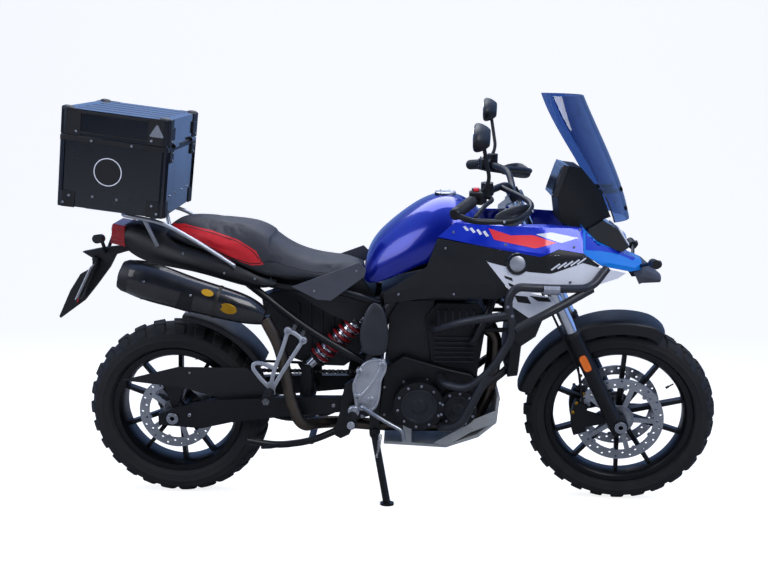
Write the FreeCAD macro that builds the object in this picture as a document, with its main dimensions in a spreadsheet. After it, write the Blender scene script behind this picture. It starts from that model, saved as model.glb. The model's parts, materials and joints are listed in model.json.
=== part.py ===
import FreeCAD, Part
import math
import os

import Sketcher
from FreeCAD import Placement, Rotation, Vector

# An adventure motorcycle, leaning on its side stand with its handlebar turned a little.
# It is drawn upright and straight first: X forward from the rear axle, Y to the left, Z up from
# the floor. Each piece then gets its Placement: the lean, and for the steered pieces the turn.

SIZES = {
    # Stance
    "wheelbase": 1559,
    "deck_height": 1000,
    "body_half_width": 200,
    "lean_angle": 11,
    "steer_angle": -7,
    "rake_angle": 27,
    "steer_rise": 2.0945,
    "axle_offset": 42,
    "leg_offset": 28,
    "fit_gap": 0.3,
    # Front wheel
    "front_tyre_radius": 330,
    "front_tyre_width": 112,
    "front_crown_drop": 18,
    "front_rim_radius": 241,
    "front_rim_width": 76,
    "front_hub_radius": 34,
    "front_hub_width": 104,
    "front_disc_radius": 152,
    "front_disc_spacing": 124,
    # Rear wheel
    "rear_tyre_radius": 322,
    "rear_tyre_width": 150,
    "rear_crown_drop": 24,
    "rear_rim_radius": 216,
    "rear_rim_width": 112,
    "rear_hub_radius": 46,
    "rear_hub_width": 124,
    "rear_disc_radius": 132,
    "sprocket_radius": 106,
    "sprocket_thickness": 7,
    # Shared by both wheels
    "tyre_wall": 12,
    "lug_height": 9,
    "rim_lip": 12,
    "rim_wall": 7,
    "rim_well": 17,
    "spoke_width": 17,
    "spoke_depth": 26,
    "axle_radius": 13,
    "axle_bore_radius": 8,
    "disc_thickness": 5,
    "disc_band": 34,
    "disc_hole_radius": 4,
    # Fork and bars
    "stanchion_radius": 21.5,
    "slider_radius": 26,
    "leg_spacing": 206,
    "slider_length": 360,
    "clamp_thickness": 32,
    "clamp_margin": 11,
    "stem_radius": 17,
    "head_tube_radius": 30,
    "bar_radius": 11,
    "grip_radius": 17,
    "control_radius": 19,
    "riser_radius": 16,
    "guard_tube_radius": 9,
    "mirror_stalk_radius": 6,
    "mirror_depth": 46,
    "mirror_width": 172,
    "mirror_height": 82,
    "cap_radius": 36,
    "lamp_radius": 15,
    "lamp_stalk_radius": 6,
    "hose_radius": 4,
    "fender_wall": 4,
    "fender_gap": 32,
    "fender_skirt": 46,
    "caliper_thickness": 36,
    # Frame and tubes
    "beam_radius": 19,
    "subframe_radius": 13,
    "guard_bar_radius": 13.5,
    "rack_bar_radius": 8,
    "pivot_plate_thickness": 16,
    "swingarm_thickness": 26,
    "swingarm_tube_radius": 26,
    "clearance": 5,
    "chain_width": 16,
    "chain_height": 16,
    "front_sprocket_radius": 36,
    "shock_eye_radius": 14,
    "boss_radius": 15,
    "shock_radius": 17,
    "spring_radius": 32,
    "spring_wire_radius": 5.5,
    "spring_turns": 7,
    # Covers
    "panel_wall": 5,
    "screen_wall": 5,
    "glass_gap": 2,
    # Exhaust
    "header_radius": 21,
    "silencer_height": 112,
    "silencer_width": 92,
    # Top box
    "box_length": 338,
    "box_width": 402,
    "box_height": 228,
    "lid_height": 84,
    "box_wall": 4,
    "box_tilt_angle": 7,
    "box_hinge_radius": 7,
    "lid_gap": 6,
    # Stands
    "stand_leg_radius": 13,
    "stand_foot_radius": 24,
    "stand_foot_thickness": 8,
    "stand_pivot_radius": 17,
    "stand_reach": 168,
    "centre_tube_radius": 12,
    "pin_radius": 6,
    # Footrests
    "bracket_thickness": 9,
    "peg_radius": 13,
    "lever_radius": 7,
}

BODY_SPAN_SHARE = 0.6414
BEND_SHARE = 0.45
MESH_FINENESS_SHARE = 0.01
NUT_SHARE = 1.6
FULL_TURN = 360
POINT_DIGITS = 4
SECTOR_STEPS = 4


class Length(float):
    """A number of the sheet, or a sum of such numbers, that keeps its expression."""

    def __new__(cls, value, text):
        number = super().__new__(cls, value)
        number.text = text
        return number

    def join(self, sign, value, other):
        return Length(value, f"({self.text} {sign} {text_of(other)})")

    def __add__(self, other):
        return self.join("+", float(self) + float(other), other)

    def __sub__(self, other):
        return self.join("-", float(self) - float(other), other)

    def __mul__(self, other):
        return self.join("*", float(self) * float(other), other)

    def __truediv__(self, other):
        return self.join("/", float(self) / float(other), other)

    def __neg__(self):
        return Length(-float(self), f"(0 - {self.text})")

    __rmul__ = __mul__


def text_of(number):
    """The sheet expression of a number."""
    if isinstance(number, Length):
        return number.text
    return f"({float(number):.12f})"


class Sheet:
    """The spreadsheet of driving sizes: sheet.name gives the size of that alias."""

    def __init__(self, document, sizes):
        self.cells = document.addObject("Spreadsheet::Sheet", "Sizes")
        for row, (name, value) in enumerate(sizes.items(), start=1):
            self.cells.set(f"A{row}", name)
            self.cells.set(f"B{row}", str(value))
            self.cells.setAlias(f"B{row}", name)
        document.recompute()

    def __getattr__(self, name):
        return Length(float(self.cells.get(name)), f"Sizes.{name}")


doc = FreeCAD.newDocument("AdventureMotorcycle")
size = Sheet(doc, SIZES)
body_span = size.wheelbase * BODY_SPAN_SHARE
nodes = {}
upright = {}


def along(share):
    """A place forward of the rear axle, as a share of the body span."""
    return body_span * share


def across(share):
    """A place to the left of the middle plane, as a share of the body's half width."""
    return size.body_half_width * share


def above(share):
    """A height above the floor, as a share of the deck height."""
    return size.deck_height * share


def spot(shares):
    """The point at (along, across, above) shares of the body."""
    return Vector(along(shares[0]), across(shares[1]), above(shares[2]))


def spots(table, side=1):
    """Points of a table of shares, on the left for side 1 and on the right for side -1."""
    return [spot((a, side * b, c)) for a, b, c in table]


# Stance: the steering axis, and the placements of the leaning and the steered pieces.

rake = math.radians(size.rake_angle)
steer_up = Vector(-math.sin(rake), 0, math.cos(rake))
steer_ahead = Vector(math.cos(rake), 0, math.sin(rake))
rear_axle = Vector(0, 0, size.rear_tyre_radius)
front_axle = Vector(size.wheelbase, 0, size.front_tyre_radius - size.steer_rise)
steer_foot = front_axle - steer_ahead * size.axle_offset
lean = math.radians(size.lean_angle)


def crown_fall(width, drop, side):
    """How far the tread's arc has fallen at a distance from the tyre's middle plane."""
    half = width / 2 * SHOULDER_SHARE
    arc = (half * half + drop * drop) / (2 * drop)
    return arc - math.sqrt(arc * arc - side * side)


TREAD_SHARES = (0.07, 0.36, 0.82)
SHOULDER_SHARE = TREAD_SHARES[-1]


def sink(width, drop):
    """How far a leaning tyre reaches below the floor line it had upright, and at which share."""
    depths = []
    for share in TREAD_SHARES:
        side = width / 2 * share
        fall = crown_fall(width, drop, side)
        depths.append((float(side * math.sin(lean) - fall * math.cos(lean)), share))
    return max(depths)


lift = max(sink(size.front_tyre_width, size.front_crown_drop)[0],
           sink(size.rear_tyre_width, size.rear_crown_drop)[0])


def on_steering(height):
    """The point of the steering axis at a height above the floor."""
    return steer_foot + steer_up * ((height - steer_foot.z) / steer_up.z)


leaning = Placement(Vector(0, 0, lift), Rotation(Vector(1, 0, 0), size.lean_angle))
turned = Placement(Vector(0, 0, 0), Rotation(steer_up, size.steer_angle), steer_foot)
steered = leaning.multiply(turned)


def keep(node, item, placement=leaning, local=None):
    """Registers a finished piece under its node name and gives it its placement."""
    item.Label = node
    item.Placement = placement if local is None else placement.multiply(local)
    nodes[node] = item
    return item


def shaped(node, shape, placement=leaning):
    """A piece whose shape is worked out here from the sheet's sizes."""
    upright[node] = shape
    item = doc.addObject("Part::Feature", node)
    item.Shape = shape
    return keep(node, item, placement, shape.Placement)


def bind(item, **properties):
    """Sets an object's properties, each bound to its sheet expression."""
    for name, value in properties.items():
        setattr(item, name, float(value))
        item.setExpression(name, text_of(value))
    return item


def primitive(kind, name, base=None, direction=None, **properties):
    """A Part primitive bound to the sheet, its own Z turned to a direction at a base point."""
    item = bind(doc.addObject(f"Part::{kind}", name), **properties)
    turn = Rotation(Vector(0, 0, 1), direction) if direction else Rotation()
    item.Placement = Placement(base or Vector(0, 0, 0), turn)
    return item


def fused(name, items):
    """A fusion of several objects."""
    item = doc.addObject("Part::MultiFuse", name)
    item.Shapes = items
    return item


def without(name, base, tool):
    """An object with another one cut out of it."""
    item = doc.addObject("Part::Cut", name)
    item.Base = base
    item.Tool = tool
    return item


def origin_plane(body, role):
    """The body's own origin plane with this role."""
    return next(plane for plane in body.Origin.OriginFeatures if plane.Role == role)


def outline_sketch(body, name, role, corners):
    """A closed outline whose corners are tied to sheet expressions."""
    sketch = body.newObject("Sketcher::SketchObject", name)
    sketch.AttachmentSupport = [(origin_plane(body, role), "")]
    sketch.MapMode = "FlatFace"
    count = len(corners)
    for index, (x, y) in enumerate(corners):
        next_x, next_y = corners[(index + 1) % count]
        sketch.addGeometry(Part.LineSegment(Vector(x, y, 0), Vector(next_x, next_y, 0)))
    for index in range(count):
        sketch.addConstraint(Sketcher.Constraint("Coincident", index, 2, (index + 1) % count, 1))
    for index, corner in enumerate(corners):
        for kind, place in zip(("DistanceX", "DistanceY"), corner):
            number = sketch.addConstraint(Sketcher.Constraint(kind, -1, 1, index, 1, float(place)))
            sketch.setExpression(f"Constraints[{number}]", text_of(place))
    return sketch


def add_pad(body, name, role, corners, depth):
    """A pad of an outline, half its depth to each side of the plane."""
    sketch = outline_sketch(body, name + "Outline", role, corners)
    pad = body.newObject("PartDesign::Pad", name)
    pad.Profile = sketch
    pad.SideType = "Symmetric"
    bind(pad, Length=depth)
    return pad


def add_turning(body, name, corners):
    """A full revolution of a (radius, place along the axis) outline about the Y axis."""
    sketch = outline_sketch(body, name + "Outline", "XY_Plane", corners)
    turning = body.newObject("PartDesign::Revolution", name)
    turning.Profile = sketch
    turning.ReferenceAxis = (sketch, ["V_Axis"])
    turning.Angle = FULL_TURN
    return turning


def side_outline(table):
    """A table of (along, above) shares as the corners of a side outline."""
    return [(along(a), above(c)) for a, c in table]


def side_plate(name, table, thickness):
    """A plate in the middle plane with a side outline."""
    body = doc.addObject("PartDesign::Body", name)
    add_pad(body, name + "Plate", "XZ_Plane", side_outline(table), thickness)
    return body


def tube_path(points, bend=None):
    """Straight runs through the points, joined by tangent arcs of at most the bend radius."""
    edges = []
    start = points[0]
    for index in range(1, len(points) - 1):
        here = points[index]
        back = points[index - 1] - here
        ahead = points[index + 1] - here
        shorter = min(back.Length, ahead.Length)
        back.normalize()
        ahead.normalize()
        half_turn = (math.pi - back.getAngle(ahead)) / 2
        if half_turn < math.radians(1):
            continue
        radius = BEND_SHARE * shorter / math.tan(half_turn)
        if bend:
            radius = min(radius, bend)
        cut = radius * math.tan(half_turn)
        first = here + back * cut
        last = here + ahead * cut
        middle = (back + ahead).normalize()
        reach = radius / math.cos(half_turn) - radius
        edges.append(Part.LineSegment(start, first).toShape())
        edges.append(Part.Arc(first, here + middle * reach, last).toShape())
        start = last
    edges.append(Part.LineSegment(start, points[-1]).toShape())
    return Part.Wire(edges)


def tube(points, radius, bend=None):
    """A round bar along the path through the points."""
    path = tube_path(points, bend)
    direction = points[1] - points[0]
    ring = Part.Wire([Part.makeCircle(radius, points[0], direction)])
    return path.makePipeShell([ring], True, True)


def rod(start, end, radius):
    """A straight round bar between two points."""
    return Part.makeCylinder(radius, (end - start).Length, start, end - start)


def joined(shapes):
    """One solid from touching shapes."""
    first, *rest = shapes
    return first.fuse(rest).removeSplitter() if rest else first


def largest(shape):
    """The biggest solid of a shape, without what a cut left over."""
    return max(shape.Solids, key=lambda solid: solid.Volume)


def mirrored(shape):
    """The shape's mirror image on the other side of the middle plane."""
    return shape.mirror(Vector(0, 0, 0), Vector(0, 1, 0))


def prism(points, depth):
    """A flat outline pushed along a vector."""
    return Part.Face(Part.makePolygon(points + points[:1])).extrude(depth)


def slab(points, push):
    """A bent plate: a fan of triangles through the points, pushed by its thickness."""
    middle = sum(points, Vector(0, 0, 0)) * (1 / len(points))
    faces = []
    for index, first in enumerate(points):
        second = points[(index + 1) % len(points)]
        for shift in (Vector(0, 0, 0), push):
            ring = [first + shift, second + shift, middle + shift, first + shift]
            faces.append(Part.Face(Part.makePolygon(ring)))
        wall = [first, second, second + push, first + push, first]
        faces.append(Part.Face(Part.makePolygon(wall)))
    solid = Part.makeSolid(Part.makeShell(faces))
    if solid.Volume < 0:
        solid.reverse()
    return solid


def side_prism(table, low, high):
    """A side outline of (along, above) shares, between two places across."""
    points = [Vector(along(a), low, above(c)) for a, c in table]
    return prism(points, Vector(0, high - low, 0))


def loft(wires, ruled=False):
    """A solid through closed wires."""
    return Part.makeLoft(wires, True, ruled)


# Wheels


LUG_PITCHES = 27
LUG_LENGTH_SHARE = 0.56
WAIST_SHARE = 0.52
SIDE_SHARE = 0.95
INNER_TREAD_SHARE = 0.62


def tread_outline(radius, width, drop, rim_radius, rim_width):
    """A block-tread tyre's closed section: (radius on a lug, radius between lugs, across) points."""
    half = width / 2
    bead = rim_width / 2 - size.rim_wall - size.fit_gap
    waist = rim_radius + (radius - rim_radius) * WAIST_SHARE
    seat = (rim_radius + size.fit_gap) / math.cos(LUG_LENGTH_SHARE * math.pi / LUG_PITCHES)
    lip = seat + size.rim_lip
    shoulder = radius - drop - size.lug_height
    narrow = bead - size.tyre_wall
    inner = shoulder - size.tyre_wall
    low = [(seat, seat, bead), (lip, lip, bead), (waist, waist, half),
           (shoulder, shoulder, half * SIDE_SHARE)]
    for share in reversed(TREAD_SHARES):
        side = half * share
        high = radius - crown_fall(width, drop, side)
        low.append((high, high - size.lug_height, side))
    left = [(high, between, -side) for high, between, side in low]
    floor = radius - size.lug_height
    inside = [(seat, seat, narrow), (inner, inner, half * INNER_TREAD_SHARE)]
    back = [(high, between, -side) for high, between, side in inside[::-1]]
    return left + [(floor, floor, 0)] + low[::-1] + inside + back


LUG_STAGGER_SHARE = 0.25


def tyre(node, radius, width, drop, rim_radius, rim_width, placement, centre):
    """A hollow block-tread tyre, its two rows of lugs staggered, with a lug's edge on the floor."""
    section = tread_outline(radius, width, drop, rim_radius, rim_width)
    half = width / 2
    pitch = 2 * math.pi / LUG_PITCHES

    def stagger(side):
        return pitch * LUG_STAGGER_SHARE * float((side + half) / half)

    lowest = half * sink(width, drop)[1]
    first = -math.pi / 2 - stagger(-lowest)
    points = []
    for lug in range(LUG_PITCHES):
        start = first + lug * pitch
        end = start + LUG_LENGTH_SHARE * pitch
        for turn, on_lug in ((start, True), (end, True), (end, False), (start + pitch, False)):
            for high, between, side in section:
                reach = high if on_lug else between
                angle = turn + stagger(side)
                points.append(centre + Vector(reach * math.cos(angle), side, reach * math.sin(angle)))
    return shaped(node, grid_solid(points, len(section)), placement)


def grid_solid(points, columns):
    """A closed solid of triangles through points in rows that join up both ways."""
    count = len(points)
    known = {}
    places = []
    number = []
    for point in points:
        key = tuple(round(value, POINT_DIGITS) for value in point)
        if key not in known:
            known[key] = len(places)
            places.append(point)
        number.append(known[key])
    facets = []
    for first in range(0, count, columns):
        for step in range(columns):
            after = (step + 1) % columns
            a, b = number[first + step], number[first + after]
            c = number[(first + columns + after) % count]
            d = number[(first + columns + step) % count]
            facets += [face for face in ((a, b, c), (a, c, d)) if len(set(face)) == len(face)]
    shape = Part.Shape()
    shape.makeShapeFromMesh((places, facets), size.fit_gap * MESH_FINENESS_SHARE)
    solid = Part.Solid(shape.Shells[0])
    if solid.Volume < 0:
        solid.reverse()
    return solid


PAIR_HALF_ANGLE = 15.5
SPOKE_PAIRS = 5
SPOKE_TAPER_SHARE = 0.8
RIM_FLOOR_SHARE = 0.6
RIM_SEAT_SHARE = 0.5
RIM_WELL_SHARE = 0.3


def spoke_corners(inner, outer, angle, width):
    """The four corners of a straight spoke that runs outwards at an angle."""
    c, s = math.cos(math.radians(angle)), math.sin(math.radians(angle))
    half = width / 2
    tip = half * SPOKE_TAPER_SHARE
    places = [(inner, -half), (outer, -tip), (outer, tip), (inner, half)]
    return [(r * c - w * s, r * s + w * c) for r, w in places]


def cast_wheel(node, rim_radius, rim_width, hub_radius, hub_width, placement, centre):
    """A cast wheel: hub, five pairs of spokes and a rim with its well and two lips."""
    body = doc.addObject("PartDesign::Body", node)
    half = rim_width / 2
    wall = size.rim_wall
    inside = rim_radius - size.rim_well
    bore = size.axle_radius + size.fit_gap
    hub_half = hub_width / 2
    add_turning(body, node + "Hub", [
        (bore, -hub_half), (hub_radius, -hub_half), (hub_radius, hub_half), (bore, hub_half),
    ])
    spokes = []
    for name, angle in (("Near", -PAIR_HALF_ANGLE), ("Far", PAIR_HALF_ANGLE)):
        corners = spoke_corners(hub_radius - wall, inside + wall / 2, angle, size.spoke_width)
        spokes.append(add_pad(body, node + name, "XZ_Plane", corners, size.spoke_depth))
    pattern = body.newObject("PartDesign::PolarPattern", node + "Spokes")
    pattern.Originals = spokes
    pattern.Axis = (origin_plane(body, "Y_Axis"), [""])
    pattern.Angle = FULL_TURN
    pattern.Occurrences = SPOKE_PAIRS
    body.Tip = pattern
    add_turning(body, node + "Rim", [
        (inside, -half * RIM_FLOOR_SHARE), (rim_radius - wall, -half), (rim_radius + size.rim_lip, -half),
        (rim_radius + size.rim_lip, wall - half), (rim_radius, wall - half),
        (rim_radius, -half * RIM_SEAT_SHARE), (inside + wall, -half * RIM_WELL_SHARE),
        (inside + wall, half * RIM_WELL_SHARE), (rim_radius, half * RIM_SEAT_SHARE),
        (rim_radius, half - wall),
        (rim_radius + size.rim_lip, half - wall), (rim_radius + size.rim_lip, half),
        (rim_radius - wall, half), (inside, half * RIM_FLOOR_SHARE),
    ])
    return keep(node, body, placement, Placement(centre, Rotation()))


DISC_DRILL_SHARES = (0.66, 0.3)


def brake_disc(radius, centre, holes):
    """A drilled disc ring with the arms that carry it on the hub."""
    half = size.disc_thickness / 2
    base = centre - Vector(0, half, 0)
    push = Vector(0, size.disc_thickness, 0)
    axis = Vector(0, 1, 0)

    def ring_wire(ring_radius, middle=base):
        return Part.Wire([Part.makeCircle(ring_radius, middle, axis)])

    inner = radius - size.disc_band
    drills = []
    for index in range(holes):
        turn = 2 * math.pi * index / holes
        place = radius - size.disc_band * DISC_DRILL_SHARES[index % 2]
        middle = base + Vector(place * math.cos(turn), 0, place * math.sin(turn))
        drills.append(ring_wire(size.disc_hole_radius, middle))
    wires = [ring_wire(radius), ring_wire(inner)] + drills
    return Part.makeFace(wires, "Part::FaceMakerBullseye").extrude(push), inner


def carried_disc(radius, hub_radius, centre, holes, arms):
    """The disc ring joined to its hub ring by straight arms."""
    ring, inner = brake_disc(radius, centre, holes)
    half = size.disc_thickness / 2
    base = centre - Vector(0, half, 0)
    axis = Vector(0, 1, 0)
    hub = Part.makeCylinder(hub_radius + size.disc_band / 2, size.disc_thickness, base, axis)
    bore = Part.makeCylinder(size.axle_radius + size.fit_gap, size.disc_thickness, base, axis)
    bars = []
    for index in range(arms):
        bar = Part.makeBox(
            inner - hub_radius + size.disc_hole_radius, size.disc_thickness, size.spoke_width,
            Vector(hub_radius + size.disc_hole_radius, -half, -size.spoke_width / 2),
        )
        bar.rotate(Vector(0, 0, 0), axis, FULL_TURN * index / arms)
        bar.translate(centre)
        bars.append(bar)
    return joined([ring, hub] + bars).cut(bore)


def toothed_wheel(radius, teeth, depth):
    """A wire with one pointed tooth for each share of the turn."""
    points = []
    for index in range(2 * teeth):
        turn = math.pi * index / teeth
        reach = radius - (depth if index % 2 else 0)
        points.append(Vector(reach * math.cos(turn), 0, reach * math.sin(turn)))
    return Part.makePolygon(points + points[:1])


def build_wheels():
    """Both wheels: tyres, rims, discs and the rear sprocket."""
    tyre("front_tyre", size.front_tyre_radius, size.front_tyre_width, size.front_crown_drop,
         size.front_rim_radius, size.front_rim_width, steered, front_axle)
    tyre("rear_tyre", size.rear_tyre_radius, size.rear_tyre_width, size.rear_crown_drop,
         size.rear_rim_radius, size.rear_rim_width, leaning, rear_axle)
    cast_wheel("front_rim", size.front_rim_radius, size.front_rim_width,
               size.front_hub_radius, size.front_hub_width, steered, front_axle)
    cast_wheel("rear_rim", size.rear_rim_radius, size.rear_rim_width,
               size.rear_hub_radius, size.rear_hub_width, leaning, rear_axle)
    offset = Vector(0, size.front_disc_spacing / 2, 0)
    discs = [
        carried_disc(size.front_disc_radius, size.front_hub_radius, front_axle + offset * side,
                     FRONT_DISC_HOLES, SPOKE_PAIRS)
        for side in (-1, 1)
    ]
    hub_ends = size.front_disc_spacing / 2 + size.disc_thickness / 2 - size.front_hub_width / 2
    rings = []
    for side in (-1, 1):
        start = front_axle + Vector(0, side * size.front_hub_width / 2, 0)
        end = start + Vector(0, side * hub_ends, 0)
        ring = rod(start, end, size.front_hub_radius)
        rings.append(ring.cut(rod(start, end, size.axle_radius + size.fit_gap)))
    shaped("front_discs", Part.makeCompound([joined([disc, ring]) for disc, ring in zip(discs, rings)]),
           steered)
    rear_side = Vector(0, size.rear_hub_width / 2 + size.disc_thickness / 2, 0)
    shaped("rear_disc", rear_ring(size.rear_disc_radius, rear_axle - rear_side), leaning)
    sprocket_middle = rear_axle + Vector(0, sprocket_place(), 0)
    face = Part.Face(toothed_wheel(size.sprocket_radius, SPROCKET_TEETH, size.disc_hole_radius))
    sprocket = face.extrude(Vector(0, size.sprocket_thickness, 0))
    sprocket.translate(sprocket_middle - Vector(0, size.sprocket_thickness / 2, 0))
    carrier = rod(rear_axle + Vector(0, size.rear_hub_width / 2, 0), sprocket_middle,
                  size.rear_hub_radius)
    outer = sprocket_middle + Vector(0, size.sprocket_thickness, 0)
    bore = rod(rear_axle, outer, size.axle_radius + size.fit_gap)
    shaped("rear_sprocket", joined([sprocket, carrier]).cut(bore), leaning)


FRONT_DISC_HOLES = 36
REAR_DISC_HOLES = 30
SPROCKET_TEETH = 44


def rear_ring(radius, centre):
    """The rear disc, bored for the axle."""
    ring, inner = brake_disc(radius, centre, REAR_DISC_HOLES)
    base = centre - Vector(0, size.disc_thickness / 2, 0)
    hub = Part.makeCylinder(size.rear_hub_radius, size.disc_thickness, base, Vector(0, 1, 0))
    bars = []
    for index in range(SPOKE_PAIRS):
        bar = Part.makeBox(
            inner + size.disc_hole_radius, size.disc_thickness, size.spoke_width,
            Vector(0, -size.disc_thickness / 2, -size.spoke_width / 2),
        )
        bar.rotate(Vector(0, 0, 0), Vector(0, 1, 0), FULL_TURN * index / SPOKE_PAIRS)
        bar.translate(centre)
        bars.append(bar)
    bore = Part.makeCylinder(
        size.axle_radius + size.fit_gap, size.disc_thickness, base, Vector(0, 1, 0))
    return joined([ring, hub] + bars).cut(bore)


def sprocket_place():
    """How far the chain line lies to the left of the middle plane."""
    return size.rear_tyre_width / 2 + size.clearance + size.chain_width / 2


# Fork, front brakes and handlebar: the steered pieces


LOWER_CLAMP_SHARE = 0.842
UPPER_CLAMP_SHARE = 1.04
CLAMP_BACK_SHARE = 0.35
CLAMP_WAIST_SHARE = 0.4
SLIDER_BORE_SHARE = 0.4
BOSS_LENGTH_SHARE = 0.9


def leg_point(distance, side):
    """A point of a fork leg's axis, at a distance up from beside the front axle."""
    foot = steer_foot + steer_ahead * size.leg_offset
    return foot + steer_up * distance + Vector(0, side * size.leg_spacing / 2, 0)


def climb(height):
    """Distance along the steering axis from its foot to a height above the floor."""
    return (height - steer_foot.z) / steer_up.z


def across_steering(ahead, side, up):
    """A point given ahead of, beside and up along the steering axis from its foot."""
    return steer_foot + steer_ahead * ahead + Vector(0, side, 0) + steer_up * up


def clamp_plate(height):
    """A fork clamp: a bridge and two rings round the stanchions."""
    base = climb(height)
    ring = size.stanchion_radius + size.clamp_margin
    half = size.leg_spacing / 2
    back = -size.stem_radius - size.clamp_margin
    front = size.leg_offset + size.clamp_margin
    corners = [
        across_steering(back, -half * CLAMP_BACK_SHARE, base),
        across_steering(front * CLAMP_WAIST_SHARE, -half, base),
        across_steering(front, -half, base), across_steering(front, half, base),
        across_steering(front * CLAMP_WAIST_SHARE, half, base),
        across_steering(back, half * CLAMP_BACK_SHARE, base),
    ]
    plate = prism(corners, steer_up * size.clamp_thickness)
    rings = [rod(leg_point(base, side), leg_point(base + size.clamp_thickness, side), ring)
             for side in (-1, 1)]
    holes = [rod(leg_point(base, side), leg_point(base + size.clamp_thickness, side),
                 size.stanchion_radius) for side in (-1, 1)]
    return joined([plate] + rings).cut(holes)


def build_fork():
    """Clamps with their stem, stanchions, sliders and the hollow axle."""
    low, high = climb(above(LOWER_CLAMP_SHARE)), climb(above(UPPER_CLAMP_SHARE))
    stem = rod(across_steering(0, 0, low + size.clamp_thickness / 2),
               across_steering(0, 0, high + size.clamp_thickness), size.stem_radius)
    clamps = joined([clamp_plate(above(LOWER_CLAMP_SHARE)), stem,
                     clamp_plate(above(UPPER_CLAMP_SHARE))])
    shaped("fork_clamps", clamps, steered)
    top = high + size.clamp_thickness + size.clamp_margin
    sunk = size.slider_length * SLIDER_BORE_SHARE
    tubes = [rod(leg_point(size.slider_length - sunk, side), leg_point(top, side),
                 size.stanchion_radius) for side in (-1, 1)]
    shaped("fork_stanchions", Part.makeCompound(tubes), steered)
    sliders = []
    for side in (-1, 1):
        barrel = rod(leg_point(-size.slider_radius, side), leg_point(size.slider_length, side),
                     size.slider_radius)
        boss_half = size.slider_radius * BOSS_LENGTH_SHARE
        boss_middle = front_axle + Vector(0, side * size.leg_spacing / 2, 0)
        reach = Vector(0, boss_half, 0)
        boss = rod(boss_middle - reach, boss_middle + reach, size.slider_radius)
        bore = rod(leg_point(size.slider_length - sunk, side), leg_point(size.slider_length, side),
                   size.stanchion_radius + size.fit_gap)
        eye = rod(boss_middle - reach * 2, boss_middle + reach * 2, size.axle_radius + size.fit_gap)
        sliders.append(joined([barrel, boss]).cut([bore, eye]))
    shaped("fork_sliders", Part.makeCompound(sliders), steered)
    end = size.leg_spacing / 2 + size.slider_radius
    shaped("front_axle", hollow_axle(front_axle, end), steered)


def hollow_axle(centre, end):
    """A bored axle with a nut's collar at each end."""
    reach = Vector(0, end, 0)
    head = Vector(0, size.axle_bore_radius, 0)
    collar = size.axle_radius * NUT_SHARE
    body = joined([rod(centre - reach - head, centre + reach + head, size.axle_radius),
                   rod(centre - reach - head, centre - reach, collar),
                   rod(centre + reach, centre + reach + head, collar)])
    return body.cut(rod(centre - reach - head, centre + reach + head, size.axle_bore_radius))


def sector(centre, inner, outer, low, high, first, last):
    """A piece of a ring about the Y axis between two angles, in degrees from straight ahead."""
    base = Vector(centre.x, low, centre.z)
    axis = Vector(0, 1, 0)
    ring = Part.makeCylinder(outer, high - low, base, axis)
    ring = ring.cut(Part.makeCylinder(inner, high - low, base, axis))
    points = [base]
    for step in range(SECTOR_STEPS + 1):
        turn = math.radians(first + (last - first) * step / SECTOR_STEPS)
        points.append(base + Vector(math.cos(turn), 0, math.sin(turn)) * (outer * 2))
    return ring.common(prism(points, Vector(0, high - low, 0)))


CALIPER_LIP_SHARE = 0.4


def disc_caliper(centre, radius, middle, angles):
    """A caliper over a disc's rim, with its slot open to the disc."""
    half = size.caliper_thickness / 2
    slot = size.disc_thickness / 2 + size.clearance
    inner = radius - size.disc_band
    outer = radius + size.disc_band * CALIPER_LIP_SHARE
    body = sector(centre, inner, outer, middle - half, middle + half, *angles)
    gap_ring = Part.makeCylinder(radius + size.clearance, slot * 2,
                                 Vector(centre.x, middle - slot, centre.z), Vector(0, 1, 0))
    return body.cut(gap_ring)


FRONT_CALIPER_ANGLES = (157, 203)
FRONT_CALIPER_ARM_ANGLES = (165, 195)
CALIPER_ARM_SHARE = 1.5


def build_front_brakes():
    """One caliper on the back of each slider."""
    calipers = []
    middle = size.front_disc_spacing / 2
    outer = middle + size.caliper_thickness / 2
    for side in (-1, 1):
        block = disc_caliper(front_axle, size.front_disc_radius, side * middle, FRONT_CALIPER_ANGLES)
        reach = sorted((side * outer, side * (outer - size.clamp_margin)))
        arm = sector(front_axle, size.slider_radius * CALIPER_ARM_SHARE, size.front_disc_radius, *reach,
                     *FRONT_CALIPER_ARM_ANGLES)
        slider = rod(leg_point(-size.slider_radius, side), leg_point(size.slider_length, side),
                     size.slider_radius + size.fit_gap)
        calipers.append(joined([block, arm]).cut(slider))
    shaped("front_calipers", Part.makeCompound(calipers), steered)


FENDER_ANGLES = (68, 92, 118, 142, 166)
FENDER_CROWN_SHARE = 0.45
FENDER_INNER_CROWN_SHARE = 0.4


def build_front_fender():
    """The fender's arc over the tyre: a crowned top and two skirts inside the fork legs."""
    inner = size.front_tyre_radius + size.fender_gap
    sections = []
    for turn in FENDER_ANGLES:
        angle = math.radians(turn)
        outward = Vector(math.cos(angle), 0, math.sin(angle))
        low = inner - size.fender_skirt
        half = size.leg_spacing / 2 - size.slider_radius - size.fit_gap
        wall = size.fender_wall
        crown, inner_crown = half * FENDER_CROWN_SHARE, half * FENDER_INNER_CROWN_SHARE
        places = [
            (-half, low), (-half, inner - wall * 2), (-crown, inner + wall * 2),
            (crown, inner + wall * 2), (half, inner - wall * 2), (half, low),
            (half - wall, low), (half - wall, inner - wall * 3), (inner_crown, inner + wall),
            (-inner_crown, inner + wall), (wall - half, inner - wall * 3), (wall - half, low),
        ]
        points = [front_axle + outward * reach + Vector(0, side, 0) for side, reach in places]
        sections.append(Part.makePolygon(points + points[:1]))
    shaped("front_fender", loft(sections, True), steered)


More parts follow.
